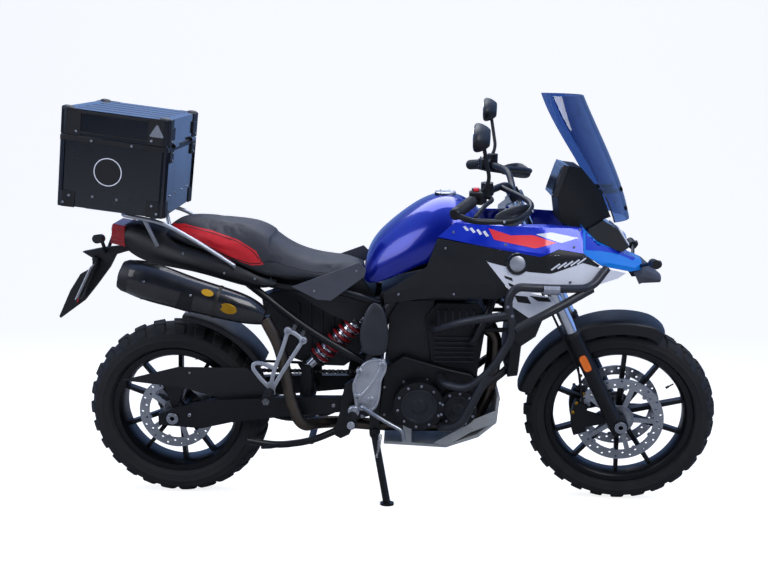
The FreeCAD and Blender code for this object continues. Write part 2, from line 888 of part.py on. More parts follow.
BAR_SHARES = [(1.158, 0.2, 1.112), (1.14, 0.62, 1.158), (1.07, 1.35, 1.156), (0.998, 2.1, 1.124)]
GRIP_START_SHARES = (1.038, 1.68, 1.1415)
MIRROR_STALK_SHARES = [(1.056, 1.5, 1.15), (1.09, 1.6, 1.2), (1.066, 1.78, 1.325)]
MIRROR_HEAD_SHARES = (1.04, 1.8, 1.339)
MIRROR_RING_SHARES = [(0, 0.9), (0.12, 1), (0.55, 0.92), (1, 0.5)]
GUARD_SHARES = [(0.996, 2.16, 1.12), (1.06, 2.2, 1.105), (1.17, 1.95, 1.103), (1.215, 1.45, 1.13),
                (1.12, 0.85, 1.157)]
CONTROL_SHARES = [(1.0844, 1.2, 1.1563), (1.0508, 1.55, 1.1475)]
HAND_LEVER_SHARES = [(1.062, 1.45, 1.152), (1.105, 1.52, 1.146), (1.08, 1.72, 1.135), (1.052, 2.06, 1.108)]
RESERVOIR_SHARES = [(1.08, 1.38, 1.155), (1.08, 1.38, 1.19)]
SHIELD_SHARES = [(1.03, 2.2, 1.08), (1.17, 1.95, 1.068), (1.205, 1.6, 1.09), (1.2, 1.55, 1.185),
                 (1.15, 1.9, 1.19), (1.06, 2.2, 1.15)]


def mirror_head(side):
    """A mirror's rounded shell, its flat glass side to the rear."""
    a, b, c = MIRROR_HEAD_SHARES
    back = spot((a, side * b, c))
    rings = []
    for place, grow in MIRROR_RING_SHARES:
        centre = back + Vector(size.mirror_depth * place, 0, 0)
        rings.append(oval(centre, size.mirror_height * grow, size.mirror_width * grow, Vector(1, 0, 0)))
    return loft(rings)


def build_handlebar():
    """Bar on its risers, grips, controls, hand guards and mirrors."""
    right = spots(BAR_SHARES, -1)
    left = spots(BAR_SHARES)
    bar = tube(list(reversed(left)) + right, size.bar_radius)
    risers = []
    for side in (-1, 1):
        top = spot((BAR_SHARES[0][0], side * BAR_SHARES[0][1], BAR_SHARES[0][2]))
        height = climb(above(UPPER_CLAMP_SHARE)) + size.clamp_thickness
        base = across_steering((top - on_steering(top.z)).dot(steer_ahead), top.y, height)
        risers.append(rod(base, top, size.riser_radius))
    shaped("handlebar", joined([bar] + risers), steered)
    grips, guards, shields, mirrors, levers = [], [], [], [], []
    for side in (-1, 1):
        end = spots(BAR_SHARES, side)[-1]
        start = spot((GRIP_START_SHARES[0], side * GRIP_START_SHARES[1], GRIP_START_SHARES[2]))
        run = (start - end).normalize()
        start = end + run * (start - end).Length
        grip = rod(end, start, size.grip_radius).cut(bar)
        grips.append(grip)
        guards.append(tube(spots(GUARD_SHARES, side), size.guard_tube_radius).cut(bar).cut(grip))
        shield = slab(spots(SHIELD_SHARES, side), Vector(0, -side * size.panel_wall, 0))
        shields.append(shield.cut(guards[-1]))
        control = [rod(*spots(CONTROL_SHARES, side), size.control_radius),
                   tube(spots(HAND_LEVER_SHARES, side), size.lever_radius),
                   rod(*spots(RESERVOIR_SHARES, side), size.control_radius)]
        levers.append(joined(control).cut(bar))
        stalk = tube(spots(MIRROR_STALK_SHARES, side), size.mirror_stalk_radius)
        stalk = largest(stalk.cut([bar, levers[-1]]))
        mirrors.append(joined([stalk, mirror_head(side)]))
    shaped("grips", Part.makeCompound(grips), steered)
    shaped("hand_levers", Part.makeCompound(levers), steered)
    shaped("hand_guards", Part.makeCompound([joined(pair) for pair in zip(guards, shields)]), steered)
    shaped("mirrors", Part.makeCompound(mirrors), steered)


# Frame


HEAD_JOINTS_SHARES = {"beam": (0.06, 0.93), "down_tube": (0.06, 0.9), "stay": (0.09, 0.957)}
BEAM_SHARES = [(1.15, 0.2, 0.91), (1.0, 0.66, 0.862), (0.79, 0.7, 0.8),
               (0.715, 0.7, 0.69), (0.69, 0.69, 0.56), (0.665, 0.69, 0.475)]
DOWN_TUBE_SHARES = [(1.12, 0.35, 0.83), (1.08, 0.68, 0.72), (1.036, 0.68, 0.62)]
HEAD_MOUNT_SHARES = (1.036, 0.5215, 0.62)
PIVOT_PLATE_SHARES = [(0.6, 0.46), (0.66, 0.5), (0.7, 0.49), (0.7274, 0.46), (0.7153, 0.36), (0.64, 0.335),
                      (0.615, 0.28), (0.585, 0.265), (0.56, 0.28), (0.58, 0.35)]
SHOCK_CROSS_SHARES = (0.7022, 0.69)
STAND_LUG_SHARES = [(0.684, 0.41), (0.713, 0.41), (0.722, 0.285), (0.702, 0.262), (0.684, 0.285)]
FRONT_STAY_SHARES = [(1.3995, 0.09, 0.957)]
PANEL_STAY_SHARES = [(1.37, 0.05, 0.957), (1.1, 0.42, 0.893), (0.86, 0.68, 0.82)]
SWINGARM_PIVOT_SHARES = (0.638, 0.385)
SEAT_RAIL_SHARES = [(0.72, 0.62, 0.745), (0.56, 0.5, 0.785), (0.36, 0.5, 0.79), (0.12, 0.42, 0.885),
                    (-0.11, 0.3, 0.93)]
SEAT_STAY_SHARES = [(0.68, 0.62, 0.53), (0.48, 0.56, 0.64), (0.24, 0.47, 0.825)]
CROSS_SHARES = [(0.56, 0.785), (0.12, 0.885)]


def head_joint(name, side):
    """Where a tube meets the head tube, at its share of the deck's height."""
    b, c = HEAD_JOINTS_SHARES[name]
    return on_steering(above(c)) + Vector(0, side * across(b), 0)


SHOCK_CROSS_HALF_SHARE = 0.7
HEAD_MOUNT_END_SHARE = 0.68
CROSS_HALF_SHARE = 0.5


def build_frame():
    """Head tube, bridge beams, pivot plates and the rear subframe."""
    low = above(LOWER_CLAMP_SHARE) + size.clamp_thickness + size.glass_gap
    high = above(UPPER_CLAMP_SHARE) - size.glass_gap
    head = rod(on_steering(low), on_steering(high), size.head_tube_radius)
    bore = rod(on_steering(low), on_steering(high), size.stem_radius + size.fit_gap)
    parts = [head]
    for side in (-1, 1):
        parts.append(tube([head_joint("beam", side)] + spots(BEAM_SHARES, side), size.beam_radius))
        parts.append(tube([head_joint("down_tube", side)] + spots(DOWN_TUBE_SHARES, side),
                          size.subframe_radius))
        ends = sorted((side * plate_place(0), side * plate_place(1)))
        parts.append(side_prism(PIVOT_PLATE_SHARES, *ends))
    a, b, c = HEAD_MOUNT_SHARES
    cross_a, cross_c = SHOCK_CROSS_SHARES
    parts.append(rod(spot((cross_a, -SHOCK_CROSS_HALF_SHARE, cross_c)),
                     spot((cross_a, SHOCK_CROSS_HALF_SHARE, cross_c)), size.subframe_radius))
    inside = ruled_loft(inward(COWL_SHARES))
    for side in (-1, 1):
        parts.append(rod(spot((a, side * b, c)), spot((a, side * HEAD_MOUNT_END_SHARE, c)), size.boss_radius))
        parts.append(tube([head_joint("stay", side)] + spots(FRONT_STAY_SHARES, side),
                          size.rack_bar_radius))
        for place in PANEL_STAY_SHARES:
            start = spots([place], side)[0]
            stay = rod(start, start + Vector(0, side * size.body_half_width, 0), size.rack_bar_radius)
            parts.append(stay.common(inside))
    parts.append(side_prism(STAND_LUG_SHARES, -stand_side(), -plate_place(0)))
    pivot = spot(SIDE_STAND_SHARES)
    outward = Vector(0, -1, 0)
    inner = Vector(pivot.x, -stand_side(), pivot.z)
    parts.append(rod(inner, inner + outward * (size.pin_radius * 2 + size.fit_gap * 2), size.pin_radius))
    a, c = CENTRE_PIVOT_SHARES
    for side in (-1, 1):
        start = Vector(along(a), side * plate_place(0), above(c))
        parts.append(rod(start, start - Vector(0, side * size.centre_tube_radius * 2, 0), size.pin_radius))
    shaped("main_frame", joined(parts).cut(bore))
    rails = []
    for side in (-1, 1):
        rails.append(tube(spots(SEAT_RAIL_SHARES, side), size.subframe_radius))
        rails.append(tube(spots(SEAT_STAY_SHARES, side), size.subframe_radius))
    for a, c in CROSS_SHARES:
        ends = [spot((a, side * CROSS_HALF_SHARE, c)) for side in (-1, 1)]
        rails.append(rod(*ends, size.subframe_radius))
    shaped("rear_subframe", joined(rails).cut(upright["main_frame"]))


def plate_place(share):
    """A place across a pivot plate, from its inner face (0) to its outer face (1)."""
    return arm_place(1, 1) + size.fit_gap + size.pivot_plate_thickness * share


def stand_side():
    """How far to the right the side stand's inner face lies."""
    return across(-SIDE_STAND_SHARES[1]) - size.pin_radius - size.fit_gap


# Engine


CASE_WIDTH_SHARE = 1.27
BLOCK_WIDTH_SHARE = 1.04
CRANKCASE_SHARES = [(0.712, 0.33), (0.76, 0.31), (0.93, 0.31), (1.02, 0.35), (1.05, 0.4), (1.06, 0.46),
                    (1.03, 0.5),
                    (0.94, 0.52), (0.8, 0.56), (0.735, 0.52)]
CYLINDER_SHARES = [(0.9, 0.48), (1.05, 0.48), (1.08, 0.7), (1.045, 0.745), (0.91, 0.745), (0.87, 0.69)]
COVER_REACH_SHARES = (0.25, 0.16)
COVER_SHARES = [(0.853, 0.4, 0.085), (0.985, 0.385, 0.066)]
SPROCKET_RECESS_SHARES = (0.7, 0.33, 0.075, 0.15)


def crankcase_body(name):
    """The crankcase: a side outline padded to both sides, with a recess for the chain."""
    case = side_plate(name + "Case", CRANKCASE_SHARES, across(CASE_WIDTH_SHARE))
    a, c, long, high = SPROCKET_RECESS_SHARES
    recess = primitive("Box", name + "Recess", Vector(along(a), chain_inner(), above(c)),
                       Length=along(long), Width=across(1), Height=above(high))
    return without(name, case, recess)


def chain_inner():
    """The place across of the chain's inner side, with its clearance."""
    return size.rear_tyre_width / 2


def build_engine():
    """Crankcase, cylinder block and round side covers."""
    keep("crankcase", crankcase_body("Crankcase"))
    block = side_plate("CylinderBlock", CYLINDER_SHARES, across(BLOCK_WIDTH_SHARE))
    foot = side_plate("CylinderFoot", CRANKCASE_SHARES, across(CASE_WIDTH_SHARE))
    keep("cylinder_block", without("CylinderCut", block, foot))
    covers = []
    for a, c, radius in COVER_SHARES:
        for side in (-1, 1):
            base = spot((a, side * CASE_WIDTH_SHARE / 2, c))
            reach = across(COVER_REACH_SHARES[a != COVER_SHARES[0][0]])
            covers.append(Part.makeCylinder(along(radius), reach, base, Vector(0, side, 0)))
    joined_covers = [joined(covers[side::2]) for side in (0, 1)]
    shaped("engine_covers", Part.makeCompound(joined_covers))


RADIATOR_SHARES = [(1.15, 0.5), (1.184, 0.505), (1.2, 0.72), (1.166, 0.715)]
SKID_SHARES = [(0.734, 0.24), (0.95, 0.23), (1.06, 0.27), (1.122, 0.325), (1.13, 0.42), (1.12, 0.42),
               (1.112, 0.33), (1.055, 0.281), (0.948, 0.24), (0.734, 0.25)]
SKID_LUG_SHARES = [(0.8, 0.243), (0.83, 0.243), (0.83, 0.31), (0.8, 0.31)]

RADIATOR_HALF_SHARE = 0.72
RADIATOR_STAY_SHARES = [(1.06, 0.64, 0.66), (1.17, 0.64, 0.66)]
SKID_HALF_SHARE = 0.62
SKID_LUG_PLACE_SHARE = 0.6
SKID_LUG_HALF_SHARE = 0.02


def build_front_of_engine():
    """Radiator with its stays, and the skid plate with its lugs."""
    core = side_prism(RADIATOR_SHARES, across(-RADIATOR_HALF_SHARE), across(RADIATOR_HALF_SHARE))
    stays = [rod(*spots(RADIATOR_STAY_SHARES, side), size.rack_bar_radius) for side in (-1, 1)]
    shaped("radiator", joined([core] + stays).cut(upright["main_frame"]))
    plate = side_prism(SKID_SHARES, across(-SKID_HALF_SHARE), across(SKID_HALF_SHARE))
    lugs = [side_prism(SKID_LUG_SHARES, across(side * SKID_LUG_PLACE_SHARE - SKID_LUG_HALF_SHARE),
                       across(side * SKID_LUG_PLACE_SHARE + SKID_LUG_HALF_SHARE)) for side in (-1, 1)]
    shaped("skid_plate", joined([plate] + lugs))


# Swingarm, drive and suspension


SWINGARM_SHARES = [(-0.05, 0.0198), (0.02, 0.0377), (0.14, 0.0535), (0.4, 0.0441), (0.6, 0.0269),
                   (0.652, 0.0186), (0.652, -0.0214), (0.6, -0.0241), (0.4, -0.0259), (0.217, -0.0303),
                   (0.1, -0.0464), (-0.05, -0.0212)]
SWINGARM_CROSS_SHARES = (0.46, 0.372)
SHOCK_SHARES = [(0.46, -0.2, 0.49), (0.675, -0.2, 0.69)]
SHOCK_EAR_SHARES = [(0.435, 0.375), (0.485, 0.375), (0.475, 0.5), (0.445, 0.5)]
WHEEL_GUARD_SHARES = [(-0.178, 0.448), (0.02, 0.5), (0.259, 0.5), (0.33, 0.43), (0.38, 0.395), (0.2, 0.378),
                      (0.03, 0.425)]
CHAIN_GUARD_SHARES = [(0.03, 0.462), (0.05, 0.47), (0.42, 0.462), (0.5, 0.452), (0.5, 0.4), (0.44, 0.4),
                      (0.41, 0.452)]
FRONT_SPROCKET_SHARES = (0.7, 0.392)


def arm_place(side, share):
    """A place across the swingarm's arm, from its inner face (0) to its outer face (1)."""
    inner = size.rear_tyre_width / 2 + size.clearance * 2 + size.chain_width
    return side * (inner + size.swingarm_thickness * share)


def arm_spot(a, rise, side):
    """A place along the swingarm, raised from the line between its pivot and the axle."""
    pivot = spot((SWINGARM_PIVOT_SHARES[0], 0, SWINGARM_PIVOT_SHARES[1]))
    line = rear_axle.z + (pivot.z - rear_axle.z) * (along(a) / pivot.x)
    return Vector(along(a), side, line + above(rise))

ARM_MIDDLE_SHARE = 0.5
SPRING_SEAT_SHARES = (0.2, 0.84)
REAR_CALIPER_ANGLES = (68, 112)
REAR_CALIPER_ARM_ANGLES = (70, 106)


def build_rear_end():
    """Swingarm with its cross tube, axle, shock and the guards that it carries."""
    arms = []
    for side in (-1, 1):
        ends = sorted((arm_place(side, 0), arm_place(side, 1)))
        outline = [arm_spot(a, rise, ends[0]) for a, rise in SWINGARM_SHARES]
        arms.append(prism(outline, Vector(0, ends[1] - ends[0], 0)))
    reach = Vector(0, arm_place(1, ARM_MIDDLE_SHARE), 0)
    for a, c in (SWINGARM_PIVOT_SHARES, SWINGARM_CROSS_SHARES):
        middle = spot((a, 0, c))
        arms.append(rod(middle - reach, middle + reach, size.swingarm_tube_radius))
    low, high = spots(SHOCK_SHARES)
    half_eye = Vector(0, size.shock_radius, 0)
    ear = Vector(0, size.bracket_thickness, 0)
    for start in (low + half_eye, low - half_eye - ear):
        arms.append(side_prism(SHOCK_EAR_SHARES, start.y, start.y + ear.y))
    end = arm_place(1, 1)
    out = Vector(0, end, 0)
    bore = rod(rear_axle - out, rear_axle + out, size.axle_radius)
    shaped("swingarm", joined(arms).cut([bore]))
    shaped("rear_axle", hollow_axle(rear_axle, end + size.fit_gap))
    run = (high - low).normalize()
    span = (high - low).Length
    damper = rod(low, high, size.shock_radius)
    wire = size.spring_wire_radius
    seats = [rod(low + run * (span * share), low + run * (span * share + wire * 2), size.spring_radius)
             for share in SPRING_SEAT_SHARES]
    eyes = [rod(place - half_eye, place + half_eye, size.shock_eye_radius) for place in (low, high)]
    first, last = SPRING_SEAT_SHARES
    turns = spring_turns(low + run * (span * first + wire), run, span * (last - first))
    shock = joined([damper] + seats + eyes + [turns]).cut(upright["swingarm"])
    shaped("shock_absorber", shock)
    inner = arm_place(1, 0) - size.fit_gap
    plate = side_prism(WHEEL_GUARD_SHARES, -inner, size.panel_wall - inner)
    chain_plate = side_prism(CHAIN_GUARD_SHARES, inner - size.fender_wall, inner)
    shaped("rear_guards", Part.makeCompound([plate, chain_plate]))
    middle = size.rear_hub_width / 2 + size.disc_thickness / 2
    block = disc_caliper(rear_axle, size.rear_disc_radius, -middle, REAR_CALIPER_ANGLES)
    outer = -middle - size.caliper_thickness / 2
    arm = sector(rear_axle, size.axle_radius * NUT_SHARE + size.clearance, size.rear_disc_radius, -inner,
                 outer, *REAR_CALIPER_ARM_ANGLES)
    shaped("rear_caliper", joined([block, arm]).cut(plate))


def spring_turns(start, run, height):
    """The shock's spring: evenly spaced turns of round wire on the damper's sleeve."""
    wire = size.spring_wire_radius
    sleeve = size.spring_radius - wire
    count = int(size.spring_turns)
    places = [height * (index + 0.5) / count for index in range(count)]
    edges = []
    last = Vector(sleeve, 0, 0)
    for place in places:
        first = Vector(sleeve, 0, place - wire)
        edges.append(Part.LineSegment(last, first).toShape())
        last = Vector(sleeve, 0, place + wire)
        edges.append(Part.Arc(first, Vector(size.spring_radius, 0, place), last).toShape())
    for corner in (Vector(sleeve, 0, height), Vector(0, 0, height), Vector(0, 0, 0), Vector(sleeve, 0, 0)):
        edges.append(Part.LineSegment(last, corner).toShape())
        last = corner
    turning = Part.Face(Part.Wire(edges)).revolve(Vector(0, 0, 0), Vector(0, 0, 1), FULL_TURN)
    turning.Placement = Placement(start, Rotation(Vector(0, 0, 1), run))
    return turning


CHAIN_SLOT_SHARE = 0.25


def build_chain():
    """The chain: one closed loop round both sprockets, as wide as its links."""
    a, c = FRONT_SPROCKET_SHARES
    front = spot((a, 0, c))
    small = size.front_sprocket_radius
    large = size.sprocket_radius

    def loop(grow):
        span = front - rear_axle
        slope = math.atan2(span.z, span.x)
        tilt = math.acos((large - small) / span.Length)
        edges = []
        ends = []
        for turn in (slope + tilt, slope - tilt):
            outward = Vector(math.cos(turn), 0, math.sin(turn))
            ends.append((rear_axle + outward * (large + grow), front + outward * (small + grow)))
        (top_back, top_front), (low_back, low_front) = ends
        ahead = Vector(math.cos(slope), 0, math.sin(slope))
        edges.append(Part.LineSegment(top_back, top_front).toShape())
        edges.append(Part.Arc(top_front, front + ahead * (small + grow), low_front).toShape())
        edges.append(Part.LineSegment(low_front, low_back).toShape())
        edges.append(Part.Arc(low_back, rear_axle - ahead * (large + grow), top_back).toShape())
        return Part.Wire(edges)

    half = size.chain_height / 2
    outer = Part.Face(loop(half))
    inner = Part.Face(loop(-half))
    groove = Part.Face(loop(size.pin_radius * CHAIN_SLOT_SHARE))
    low = sprocket_place() - size.chain_width / 2
    band = outer.cut(inner).extrude(Vector(0, size.chain_width, 0))
    band.translate(Vector(0, low, 0))
    slot = groove.extrude(Vector(0, size.sprocket_thickness + size.clearance, 0))
    slot.translate(Vector(0, sprocket_place() - (size.sprocket_thickness + size.clearance) / 2, 0))
    band = band.cut(slot)
    wheel = rod(front + Vector(0, chain_inner(), 0), front + Vector(0, arm_place(1, 0), 0),
                size.front_sprocket_radius - half)
    shaped("chain", band)
    shaped("front_sprocket", wheel)


SILENCER_RINGS_SHARES = [(-0.13, -0.94, 0.848, 0.8), (-0.1, -0.94, 0.842, 1.0), (0.14, -0.94, 0.772, 1.0),
                         (0.24, -0.9, 0.742, 0.92), (0.335, -0.84, 0.705, 0.5)]
HEADER_SHARES = [(1.06, -0.25, 0.655), (1.115, -0.25, 0.62), (1.115, -0.25, 0.5), (1.095, -0.22, 0.4),
                 (1.06, -0.2, 0.315), (0.96, -0.22, 0.281), (0.7, -0.25, 0.281), (0.58, -0.25, 0.29),
                 (0.5, -0.5, 0.305), (0.455, -0.84, 0.318), (0.42, -0.84, 0.4), (0.385, -0.8, 0.6),
                 (0.335, -0.82, 0.7)]
SECOND_HEADER_SHARES = [(1.06, 0.25, 0.655), (1.115, 0.25, 0.62), (1.115, 0.25, 0.5), (1.095, 0.22, 0.4),
                        (1.06, 0.18, 0.315), (0.98, 0.08, 0.283), (0.9, -0.16, 0.281)]

OVAL_POINTS = 12


def oval(centre, height, width, direction):
    """A closed oval in the plane across a direction."""
    side = Vector(0, 1, 0)
    up = direction.cross(side).normalize()
    if up.z < 0:
        up = up * -1
    points = []
    for index in range(OVAL_POINTS):
        turn = 2 * math.pi * index / OVAL_POINTS
        points.append(centre + up * (height / 2 * math.sin(turn)) + side * (width / 2 * math.cos(turn)))
    curve = Part.BSplineCurve()
    curve.interpolate(points, PeriodicFlag=True)
    return Part.Wire([curve.toShape()])


def build_exhaust():
    """Header pipe under the engine, up to the oval silencer on the right."""
    rings = []
    first = spot(SILENCER_RINGS_SHARES[0][:3])
    last = spot(SILENCER_RINGS_SHARES[-1][:3])
    direction = (last - first).normalize()
    for a, b, c, grow in SILENCER_RINGS_SHARES:
        rings.append(oval(spot((a, b, c)), size.silencer_height * grow, size.silencer_width * grow,
                          direction))
    silencer = loft(rings)
    shaped("silencer", silencer)
    pipes = [tube(spots(table), size.header_radius) for table in (HEADER_SHARES, SECOND_HEADER_SHARES)]
    block = side_prism(CYLINDER_SHARES, across(-1), across(1))
    shaped("exhaust_pipe", joined(pipes).cut([silencer, block]))


# Bodywork


def crowned_section(place, rows):
    """A closed section across the body: rows of (across, above) shares from the bottom up."""
    left = [Vector(along(place), across(b), above(c)) for b, c in rows]
    right = [Vector(p.x, -p.y, p.z) for p in reversed(left)]
    if left[-1].y == 0:
        right = right[1:]
    curve = Part.BSplineCurve()
    curve.interpolate(left + right)
    base = Part.LineSegment(right[-1], left[0]).toShape()
    return Part.Wire([curve.toShape(), base])


TANK_SHARES = [
    (0.664, [(0.42, 0.815), (0.44, 0.84), (0.28, 0.866), (0, 0.872)]),
    (0.71, [(0.6, 0.817), (0.62, 0.88), (0.42, 0.945), (0, 0.965)]),
    (0.8, [(0.74, 0.86), (0.78, 0.93), (0.52, 1.015), (0, 1.045)]),
    (0.9, [(0.8, 0.9), (0.86, 0.96), (0.62, 1.06), (0, 1.097)]),
    (1.0, [(0.74, 0.92), (0.8, 0.97), (0.58, 1.05), (0, 1.085)]),
    (1.045, [(0.6, 0.93), (0.66, 0.97), (0.46, 1.03), (0, 1.05)]),
]
RIDER_SEAT_SHARES = [
    (0.354, [(0.6, 0.82), (0.64, 0.88), (0.5, 0.938), (0, 0.942)]),
    (0.4, [(0.64, 0.815), (0.68, 0.865), (0.5, 0.905), (0, 0.912)]),
    (0.5, [(0.64, 0.81), (0.7, 0.845), (0.5, 0.872), (0, 0.876)]),
    (0.6, [(0.52, 0.805), (0.56, 0.84), (0.4, 0.864), (0, 0.868)]),
    (0.66, [(0.4, 0.81), (0.42, 0.84), (0.26, 0.862), (0, 0.866)]),
]
PASSENGER_SEAT_SHARES = [
    (-0.01, [(0.28, 0.955), (0.3, 0.965), (0.2, 0.978), (0, 0.982)]),
    (0.03, [(0.44, 0.935), (0.46, 0.965), (0.34, 1.0), (0, 1.008)]),
    (0.14, [(0.56, 0.9), (0.58, 0.95), (0.44, 0.996), (0, 1.006)]),
    (0.26, [(0.6, 0.85), (0.63, 0.91), (0.48, 0.98), (0, 0.992)]),
    (0.35, [(0.6, 0.82), (0.64, 0.88), (0.5, 0.944), (0, 0.95)]),
]
TAIL_SHARES = [
    (-0.15, [(0.26, 0.905), (0.32, 0.94), (0.22, 0.982), (0, 0.987)]),
    (-0.04, [(0.42, 0.86), (0.5, 0.9), (0.36, 0.96), (0, 0.97)]),
    (0.1, [(0.56, 0.84), (0.66, 0.87), (0.6, 0.9), (0, 0.91)]),
    (0.25, [(0.58, 0.8), (0.68, 0.83), (0.62, 0.86), (0, 0.865)]),
    (0.37, [(0.58, 0.8), (0.66, 0.81), (0.62, 0.816), (0, 0.818)]),
]
COWL_SHARES = [
    (0.72, [(0.74, 0.73), (0.82, 0.78), (0.8, 0.83), (0.62, 0.86), (0, 0.88)]),
    (0.9, [(0.86, 0.7), (0.98, 0.84), (0.92, 0.98), (0.74, 1.03), (0, 1.05)]),
    (1.1, [(1.04, 0.68), (1.14, 0.84), (1.08, 0.96), (0.86, 1.022), (0, 1.04)]),
    (1.25, [(1.06, 0.7), (1.18, 0.82), (1.12, 0.94), (0.92, 1.02), (0, 1.05)]),
    (1.37, [(0.94, 0.73), (1.06, 0.825), (1.02, 0.93), (0.84, 1.016), (0, 1.03)]),
    (1.43, [(0.78, 0.75), (0.92, 0.83), (0.88, 0.91), (0.64, 0.962), (0, 0.968)]),
    (1.52, [(0.5, 0.79), (0.62, 0.84), (0.6, 0.885), (0.4, 0.92), (0, 0.925)]),
    (1.6, [(0.26, 0.81), (0.34, 0.835), (0.33, 0.86), (0.22, 0.885), (0, 0.892)]),
    (1.67, [(0.08, 0.805), (0.14, 0.815), (0.13, 0.825), (0.08, 0.832), (0, 0.834)]),
]
BLUE_SIDE_SHARES = [(0.905, 0.985), (0.965, 1.03), (1.06, 1.04), (1.37, 1.04), (1.37, 0.94),
                    (1.29, 0.955), (1.23, 0.932), (1.12, 0.95)]
BEAK_SHARES = [(1.3705, 1.04), (1.45, 1.0), (1.6, 0.9), (1.587, 0.8605), (1.55, 0.86), (1.438, 0.893),
               (1.3705, 0.94)]
WHITE_UPPER_SHARES = [(1.06, 0.915), (1.115, 0.945), (1.23, 0.926), (1.29, 0.949), (1.365, 0.934),
                      (1.43, 0.889), (1.53, 0.858), (1.5, 0.845), (1.345, 0.822), (1.145, 0.812)]
WHITE_LOWER_SHARES = [(1.147, 0.811), (1.2, 0.8145), (1.28, 0.8), (1.29, 0.77), (1.215, 0.72), (1.15, 0.765)]
KNEE_SHARES = [(0.733, 0.753), (0.73, 0.79), (0.8, 0.84), (0.87, 0.885), (0.905, 0.98), (1.0, 0.967),
               (1.11, 0.949), (1.0595, 0.915), (1.1435, 0.811), (1.1, 0.79), (0.9, 0.785)]
BEAK_TIP_SHARES = [(1.6005, 0.9), (1.62, 0.9), (1.68, 0.84), (1.68, 0.79), (1.6, 0.79), (1.56, 0.855),
                   (1.5875, 0.86)]
HEADLAMP_SHARES = [(1.4, 0.94), (1.52, 0.925), (1.54, 0.94), (1.5, 1.0), (1.45, 1.03), (1.4, 1.0)]
SIDE_COVER_SHARES = [(0.425, 0.804), (0.649, 0.888), (0.672, 0.865), (0.666, 0.841), (0.555, 0.758),
                     (0.509, 0.761)]
SIDE_COVER_BOSS_SHARES = (0.5, 0.5, 0.7865)
SIDE_COVER_PLACE_SHARE = 0.71


def inward(table):
    """The same sections, narrower and lower by the panel's wall."""
    pinch = size.panel_wall / size.body_half_width
    sink_share = size.panel_wall / size.deck_height
    return [(a, [(max(b - pinch, 0), c - sink_share if b == 0 or row > 1 else c)
                 for row, (b, c) in enumerate(rows)]) for a, rows in table]


def body_loft(table):
    """A smooth solid through sections across the body."""
    return loft([crowned_section(a, rows) for a, rows in table])


def ruled_loft(table):
    """A faceted solid through sections across the body."""
    wires = []
    for a, rows in table:
        left = [Vector(along(a), across(b), above(c)) for b, c in rows]
        right = [Vector(p.x, -p.y, p.z) for p in reversed(left[:-1])]
        wires.append(Part.makePolygon(left + right + left[:1]))
    return loft(wires, True)


LAMP_OPENING_SHARES = [(1.36, 0.93), (1.545, 0.915), (1.55, 0.94), (1.5, 1.1), (1.36, 1.1)]

CAP_SHARES = [(0.93, 0, 1.0), (0.932, 0, 1.104)]
FLANGE_SHARE = 0.76
LAMP_HALF_SHARE = 0.46
OPENING_HALF_SHARE = 0.5


def build_bodywork():
    """Tank, seats, tail and the panels that are cut from the cowl's skin."""
    tank = body_loft(TANK_SHARES)
    rider = body_loft(RIDER_SEAT_SHARES)
    passenger = body_loft(PASSENGER_SEAT_SHARES)
    frame = [upright["main_frame"], upright["rear_subframe"]]
    shaped("fuel_tank", tank.cut(frame))
    cap = rod(*spots(CAP_SHARES), size.cap_radius)
    shaped("fuel_cap", cap.cut(tank))
    shaped("passenger_seat", passenger.cut(frame))
    shaped("rider_seat", rider.cut(frame + [passenger, tank]))
    tail = body_loft(TAIL_SHARES)
    shaped("tail_cover", tail.cut(frame + [passenger, rider, upright["luggage_rack"],
                                           upright["plate_holder"]]))
    skin = ruled_loft(COWL_SHARES).cut(ruled_loft(inward(COWL_SHARES)))
    skin = skin.cut(frame[:1] + [tank])
    far = size.body_half_width * 2
    flange = across(FLANGE_SHARE)
    for node, table in (("side_fairings", BLUE_SIDE_SHARES), ("knee_panels", KNEE_SHARES)):
        panels = [skin.common(side_prism(table, *ends)) for ends in ((flange, far), (-far, -flange))]
        shaped(node, Part.makeCompound(panels))
    whites = []
    for ends in ((0, far), (-far, 0)):
        for table in (WHITE_UPPER_SHARES, WHITE_LOWER_SHARES):
            whites.append(skin.common(side_prism(table, *ends)))
    shaped("lower_panels", Part.makeCompound(whites))
    lamp = side_prism(HEADLAMP_SHARES, across(-LAMP_HALF_SHARE), across(LAMP_HALF_SHARE))
    shaped("headlamp", lamp)
    opening = side_prism(LAMP_OPENING_SHARES, across(-OPENING_HALF_SHARE), across(OPENING_HALF_SHARE))
    shaped("beak", skin.common(side_prism(BEAK_SHARES, -far, far)).cut(opening))
    tip = skin.common(side_prism(BEAK_TIP_SHARES, -far, far))
    shaped("grey_panels", Part.makeCompound([tip] + [side_cover(side) for side in (-1, 1)]))


def side_cover(side):
    """The grey cover below the seat, on its boss from the seat rail."""
    inner = side * across(SIDE_COVER_PLACE_SHARE)
    ends = sorted((inner, inner + side * size.panel_wall))
    root = spots([SIDE_COVER_BOSS_SHARES], side)[0]
    boss = rod(root, Vector(root.x, inner, root.z), size.rack_bar_radius)
    return joined([side_prism(SIDE_COVER_SHARES, *ends), boss]).cut(upright["rear_subframe"])


SCREEN_SHARES = [
    (1.48, 1.55, 0.66, 1.03), (1.43, 1.515, 0.72, 1.14), (1.33, 1.44, 0.78, 1.3), (1.26, 1.375, 0.66, 1.43),
]


